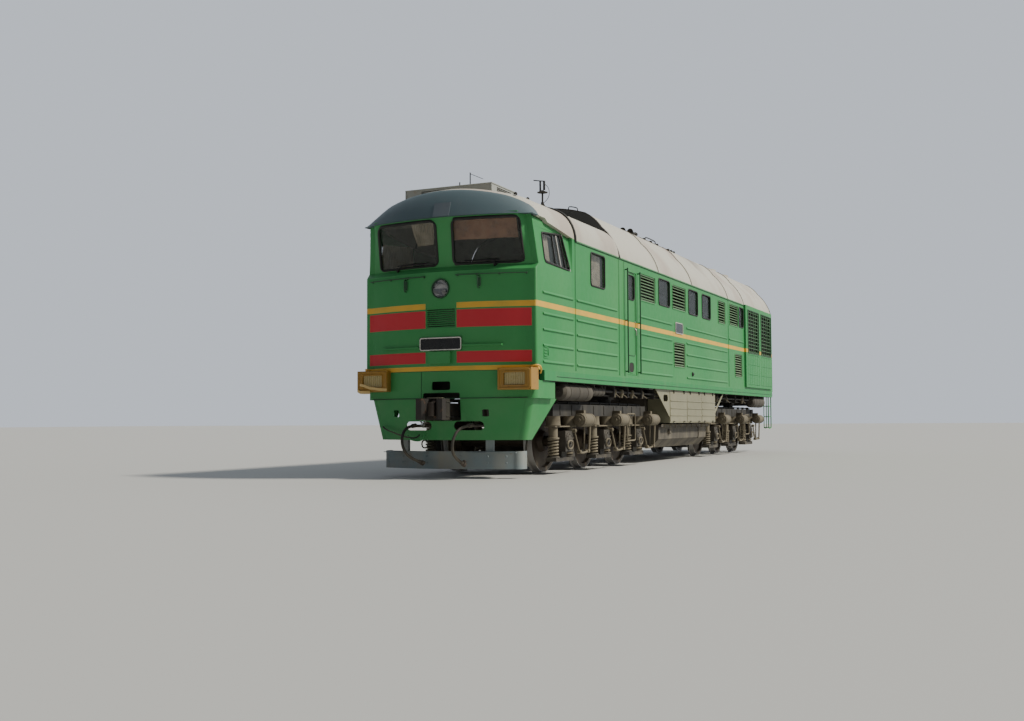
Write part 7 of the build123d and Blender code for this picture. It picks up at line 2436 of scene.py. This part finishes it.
@dataclass
class FrontEnd:
    """Joint lines, release lever, hoop and plough details of the front end."""

    nose: NoseShape = NoseShape()
    bolt_x: tuple[float, ...] = (-1.05, -0.76, -0.3, 0.3, 0.76, 1.05)
    bolt_heights: Pair = (0.22, 0.32)

    def shape(self, across: float, base: float) -> float:
        """Station of the bowed bumper, skirt or plough whose corners stand at a station."""
        return base + self.nose.station(across, 0.0)

    def beam(self) -> None:
        """Lower lip and upright joint of the bumper."""
        line = [(-1.4 + step * 0.14, 1.232) for step in range(21)]
        places = [mark(x, self.shape(x, 0.0) - 0.002, h) for x, h in line]
        lip = Bench.pipe(places, 0.009, curved=False, sides=2)
        joint_x = -0.36
        places = [mark(joint_x, self.shape(joint_x, 0.0) - 0.001, h) for h in (1.24, 1.655)]
        joint = Bench.pipe(places, 0.005, curved=False, sides=2)
        Bench.finish([lip, joint], "bumper_joints", Coat.GREEN_DARK)

    def skirt(self) -> None:
        """Release lever with its handle, and the green hoop under the coupler."""
        line = [
            (-1.2, 0, 0.78), (-1.2, -0.05, 0.8), (-1.1, -0.1, 0.74), (-0.62, -0.28, 0.62),
            (-0.4, -0.32, 0.6), (-0.34, -0.33, 0.66),
        ]
        lever = Bench.pipe([mark(x, s, h) for x, s, h in line], 0.012)
        Bench.finish(lever, "release_lever", Coat.RUBBER)
        hoop = [
            (-0.6, -0.24, 0.64), (-0.55, -0.31, 0.6), (-0.4, -0.33, 0.56), (-0.28, -0.32, 0.58),
            (-0.27, -0.27, 0.7),
        ]
        Bench.finish(Bench.pipe([mark(x, s, h) for x, s, h in hoop], 0.013), "green_hoop", Coat.GREEN)

    def plough(self) -> None:
        """Bolts, top flange and side strip of the plough."""
        top = [(-1.19 + step * 0.14, 0.385) for step in range(18)]
        places = [mark(x, self.shape(x, 0.06) - 0.001, h) for x, h in top]
        flange = Bench.ribbon(places, (0, 0.055, 0), 0.01)
        bolts = []
        for x in self.bolt_x:
            for height in self.bolt_heights:
                origin = mark(x, self.shape(x, 0.06), height)
                bolts.append(Bench.turned(
                    origin, FORWARD, [(0, 0), (0, 0.018), (0.012, 0.016), (0.012, 0)], 8
                ))
        Bench.finish([flange] + bolts, "plough_fittings", Coat.PLOUGH)

    def build(self) -> None:
        """Builds the front end's details."""
        self.beam()
        self.skirt()
        self.plough()


@dataclass
class RearEnd:
    """Gangway frame, door details and handrails of the rear end wall."""

    wall: float = 17.0
    half: float = 0.33
    low: float = 1.73
    high: float = 3.6
    leaf: float = 16.98
    pane: Four = (-0.17, 2.9, 0.17, 3.4)
    rail_x: float = 0.62
    rib_heights: Four = (1.95, 2.25, 2.55, 3.75)

    def build(self) -> None:
        """Builds the rear end."""
        y = at(self.wall)
        outline = oblong((-self.half - 0.12, self.low - 0.03), (self.half + 0.12, self.high + 0.12), 0.12)
        rolls = [Bench.border([(x, y + 0.035, up(h)) for x, h in outline], 0.045, 4)]
        Bench.finish(rolls, "gangway_roll", Coat.RUBBER)
        border = oblong((-self.half - 0.02, self.low - 0.02), (self.half + 0.02, self.high + 0.02), 0.05)
        edge = Bench.border([(x, y + 0.004, up(h)) for x, h in border], 0.014)
        Bench.finish(edge, "gangway_border", Coat.GREEN_DARK)
        rails = []
        for x in (-self.rail_x, self.rail_x):
            line = [(0, 1.95), (0.06, 1.97), (0.07, 2.02), (0.07, 3.28), (0.06, 3.33), (0, 3.35)]
            rails.append(Bench.pipe([(x, y + out, up(h)) for out, h in line], 0.014))
        Bench.finish(rails, "rear_handrails", Coat.GREEN_DARK)
        leaf = at(self.leaf)
        left, low, right, high = self.pane
        window = oblong((left, low), (right, high), 0.06)
        seal = Bench.border([(x, leaf, up(h)) for x, h in window], 0.012)
        Bench.finish(seal, "gangway_door_gasket", Coat.GASKET, "gangway_door")
        pane = Bench.block((left, leaf - 0.02, up(low)), (right, leaf - 0.012, up(high)), 0.002)
        Bench.finish(pane, "gangway_door_pane", Coat.WINDOW, "gangway_door")
        boss = Bench.turned(
            (0.26, leaf, up(2.55)), REARWARD, [(0, 0), (0, 0.026), (0.014, 0.024), (0.014, 0)], 14
        )
        lever = Bench.bar((0.26, leaf + 0.018, up(2.56)), (0.26, leaf + 0.018, up(2.44)), 0.009, 8)
        Bench.finish([boss, lever], "gangway_door_handle", Coat.STEEL, "gangway_door")
        ribs = []
        for height in self.rib_heights:
            for hand in (1, -1):
                inner, outer = sorted((hand * 0.72, hand * 1.42))
                ribs.append(Bench.block(
                    (inner, y - 0.003, up(height) - 0.014), (outer, y + 0.008, up(height) + 0.014), 0.005
                ))
        Bench.finish(ribs, "rear_wall_ribs", Coat.GREEN)


@dataclass
class CabInterior:
    """Seats and desk instruments inside the cab."""

    seat_x: Pair = (0.6, 1.08)
    seat_front: float = 1.3
    seat_height: float = 2.08
    dial_x: tuple[float, ...] = (-0.95, -0.72, -0.49, 0.45, 0.68, 0.91)
    lever_x: Triple = (0.3, 0.55, -0.25)

    def cushion(self, low: Point, high: Point, name: str) -> Piece:
        """Crowned cushion from a subdivided block.

        Args:
            low: lowest corner.
            high: highest corner.
            name: name of the piece.

        Returns:
            The cushion.
        """
        piece = Bench.block(low, high, edge=0.035, segments=2)
        middle = (Vector(low) + Vector(high)) / 2
        Bench.pick(piece, "FACE", lambda place, normal: abs(normal.z) > 0.9 or abs(normal.y) > 0.9)
        bpy.ops.mesh.subdivide(number_cuts=3, smoothness=0.3)
        bpy.ops.object.mode_set(mode="OBJECT")
        Bench.modify(piece, "SUBSURF", levels=2, render_levels=2)
        size = Vector(high) - Vector(low)
        for point in piece.data.vertices:
            share = Vector(((point.co[axis] - middle[axis]) / size[axis] * 2) for axis in range(3))
            crown = 0.01 * (1 - share.x**2) * (1 - min(share.y**2, 1.0)) * (1 if share.z > 0 else 0.2)
            point.co.z += crown
        piece.data.update()
        Bench.finish(piece, name, Coat.LEATHER, angle=80.0)
        return piece

    def seats(self) -> None:
        """Cushion, back and pedestal of each seat."""
        for side in Side:
            hand = side.value
            left, right = sorted((hand * self.seat_x[0], hand * self.seat_x[1]))
            name = side.name.lower()
            base = up(self.seat_height)
            self.cushion(
                (left, at(self.seat_front), base), (right, at(1.675), base + 0.098), f"seat_cushion_{name}"
            )
            self.cushion(
                (left, at(1.685), base + 0.01), (right, at(1.775), base + 0.695), f"seat_back_{name}"
            )
        foot = mark(0.84, 1.54, 1.666)
        profile = [
            (0, 0), (0, 0.13), (0.02, 0.13), (0.035, 0.06), (0.3, 0.05), (0.36, 0.1), (0.41, 0.12),
            (0.413, 0),
        ]
        pedestal = Bench.turned(foot, UPWARD, profile, 20)
        pedestals = Bench.both_sides(pedestal)
        Bench.finish(pedestals, "seat_pedestals", Coat.SOOT, replaces=["driver_seats"])

    def desk(self) -> None:
        """Dials, levers and a hand wheel on the driver's desk."""
        parts, dials = [], []
        slope = Vector((0, -0.2, 0.35)).normalized()
        for x in self.dial_x:
            dials.append(Bench.turned(
                mark(x, 0.893, 2.628), (0, 0.87, 0.5),
                [(0, 0), (0, 0.06), (0.014, 0.058), (0.012, 0.05), (0.012, 0)], 20,
            ))
        Bench.finish(dials, "desk_dials", Coat.WHITE)
        for x in self.lever_x:
            parts.append(Bench.bar(mark(x, 0.86, 2.7), mark(x, 0.9, 2.84), 0.01, 8))
            parts.append(Bench.turned(
                mark(x, 0.9, 2.83), slope, [(0, 0), (0, 0.02), (0.025, 0.022), (0.04, 0.012), (0.04, 0)], 12
            ))
        Bench.finish(parts, "desk_levers", Coat.SOOT)

    def build(self) -> None:
        """Builds the cab's interior."""
        self.seats()
        self.desk()


@dataclass
class Studio:
    """Camera at the photograph's viewing angle, pale floor and soft light."""

    focal_px: float = 1127.85
    image_width_px: float = 1024.0
    sensor: float = 36.0
    place: Point = (8.553, -24.417, 0.906)
    yaw: float = 0.4365
    pitch: float = 0.0532
    roll: float = -0.0055

    def camera(self) -> None:
        """Sets up the camera."""
        data = bpy.data.cameras.new("camera")
        data.sensor_width = self.sensor
        data.lens = self.sensor * self.focal_px / self.image_width_px
        data.clip_end = 400.0
        view = Vector((
            -math.sin(self.yaw) * math.cos(self.pitch), math.cos(self.yaw) * math.cos(self.pitch),
            math.sin(self.pitch),
        ))
        right = Vector((math.cos(self.yaw), math.sin(self.yaw), 0))
        above = right.cross(view)
        level = math.cos(self.roll) * right + math.sin(self.roll) * above
        above = math.cos(self.roll) * above - math.sin(self.roll) * right
        turn = Matrix((level, above, -view)).transposed().to_4x4()
        camera = bpy.data.objects.new("camera", data)
        camera.matrix_world = Matrix.Translation(self.place) @ turn
        put_in_scene(camera)
        bpy.context.scene.camera = camera

    def light(self) -> None:
        """Soft key from the left and behind, a pale sky for fill, and a plain floor."""
        key = bpy.data.lights.new("key", "SUN")
        key.energy = 4.4
        key.angle = math.radians(6.0)
        key.color = (1.0, 0.95, 0.82)
        lamp = bpy.data.objects.new("key", key)
        lamp.rotation_euler = Vector((0.74, 0.2, 0.78)).to_track_quat("Z", "Y").to_euler()
        put_in_scene(lamp)
        world = bpy.data.worlds.new("studio")
        world.use_nodes = True
        world.node_tree.nodes["Background"].inputs[0].default_value = (0.8, 0.86, 0.95, 1.0)
        tree = world.node_tree
        ahead = tree.nodes.new("ShaderNodeSeparateXYZ")
        tree.links.new(tree.nodes.new("ShaderNodeTexCoord").outputs["Generated"], ahead.inputs[0])
        rise = tree.nodes.new("ShaderNodeMapRange")
        for socket, value in zip(rise.inputs[1:5], (-0.4, 0.5, 0.2, 0.8)):
            socket.default_value = value
        tree.links.new(ahead.outputs["Y"], rise.inputs[0])
        tree.links.new(rise.outputs[0], tree.nodes["Background"].inputs[1])
        bpy.context.scene.world = world
        bpy.ops.object.select_all(action="DESELECT")
        bpy.ops.mesh.primitive_plane_add(size=400.0, location=(0, 0, 0))
        floor = bpy.context.active_object
        floor.name = "studio_floor"
        graph = Graph("studio_floor")
        floor.data.materials.append(graph.done(Base_Color=(0.44, 0.44, 0.43), Roughness=0.9))


@dataclass
class BrakeHoses:
    """Two brake hoses that hang from their cocks, with their coupling heads."""

    radius: float = 0.023
    routes: dict[str, list[Point]] = field(default_factory=lambda: {
        "right": [
            (-0.5, -0.275, 0.8), (-0.505, -0.425, 0.785), (-0.514, -0.548, 0.7), (-0.508, -0.605, 0.56),
            (-0.472, -0.588, 0.412), (-0.41, -0.5, 0.3), (-0.328, -0.385, 0.245),
        ],
        "left": [
            (0.5, -0.275, 0.8), (0.47, -0.425, 0.785), (0.428, -0.548, 0.702), (0.396, -0.605, 0.566),
            (0.382, -0.59, 0.418), (0.392, -0.504, 0.302), (0.428, -0.392, 0.238),
        ],
    })
    lengths: dict[str, float] = field(default_factory=lambda: {"right": 0.89, "left": 0.87})

    def build(self) -> None:
        """Lays both hoses as NURBS tubes through the control points of the CAD route."""
        for hand, route in self.routes.items():
            curve = bpy.data.curves.new(f"brake_hose_{hand}_cord", "CURVE")
            curve.dimensions = "3D"
            spline = curve.splines.new("NURBS")
            spline.points.add(len(route) - 1)
            for point, (x, station, height) in zip(spline.points, route):
                point.co = (x, at(station), up(height), 1.0)
            spline.order_u = 3
            spline.use_endpoint_u = True
            curve.resolution_u = 16
            curve.bevel_depth = self.radius
            curve.bevel_resolution = 6
            curve.use_fill_caps = True
            hose = bpy.data.objects.new(curve.name, curve)
            put_in_scene(hose)
            SHOP.coat(hose, Coat.RUBBER)
            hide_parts(f"brake_hose_{hand}")
            x, station, height = route[0]
            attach(hose, "hull")
            LOG.info("laid %s", hose.name)


def main() -> None:
    """Builds the camera, the cords, the finishes and every dressed sub-assembly in order."""
    logging.basicConfig(level=logging.INFO, format="%(message)s")
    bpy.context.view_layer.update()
    studio = Studio()
    studio.camera()
    BrakeHoses().build()
    studio.light()
    dress_nodes()
    CabForm().shell()
    CabRoof(LOW_ROOF, VISOR_LIP).build()
    Windshields().build()
    NoseFittings().build()
    Headlight().build()
    BufferLamps().build()
    SideWindows().build()
    SideFittings().build()
    for side in Side:
        SideDoor(side).build()
    RoofSkin().build()
    RoofGear().build()
    RadiatorSides().build()
    Underfloor().build()
    for place, centre in (("front", 3.7), ("rear", 13.3)):
        BogieDress(place, centre).build()
    for end, face in (("front", -9.075), ("rear", 9.075)):
        CouplerDress(end, face).build()
    FrontEnd().build()
    RearEnd().build()
    CabInterior().build()


if __name__ == "__main__":
    main()
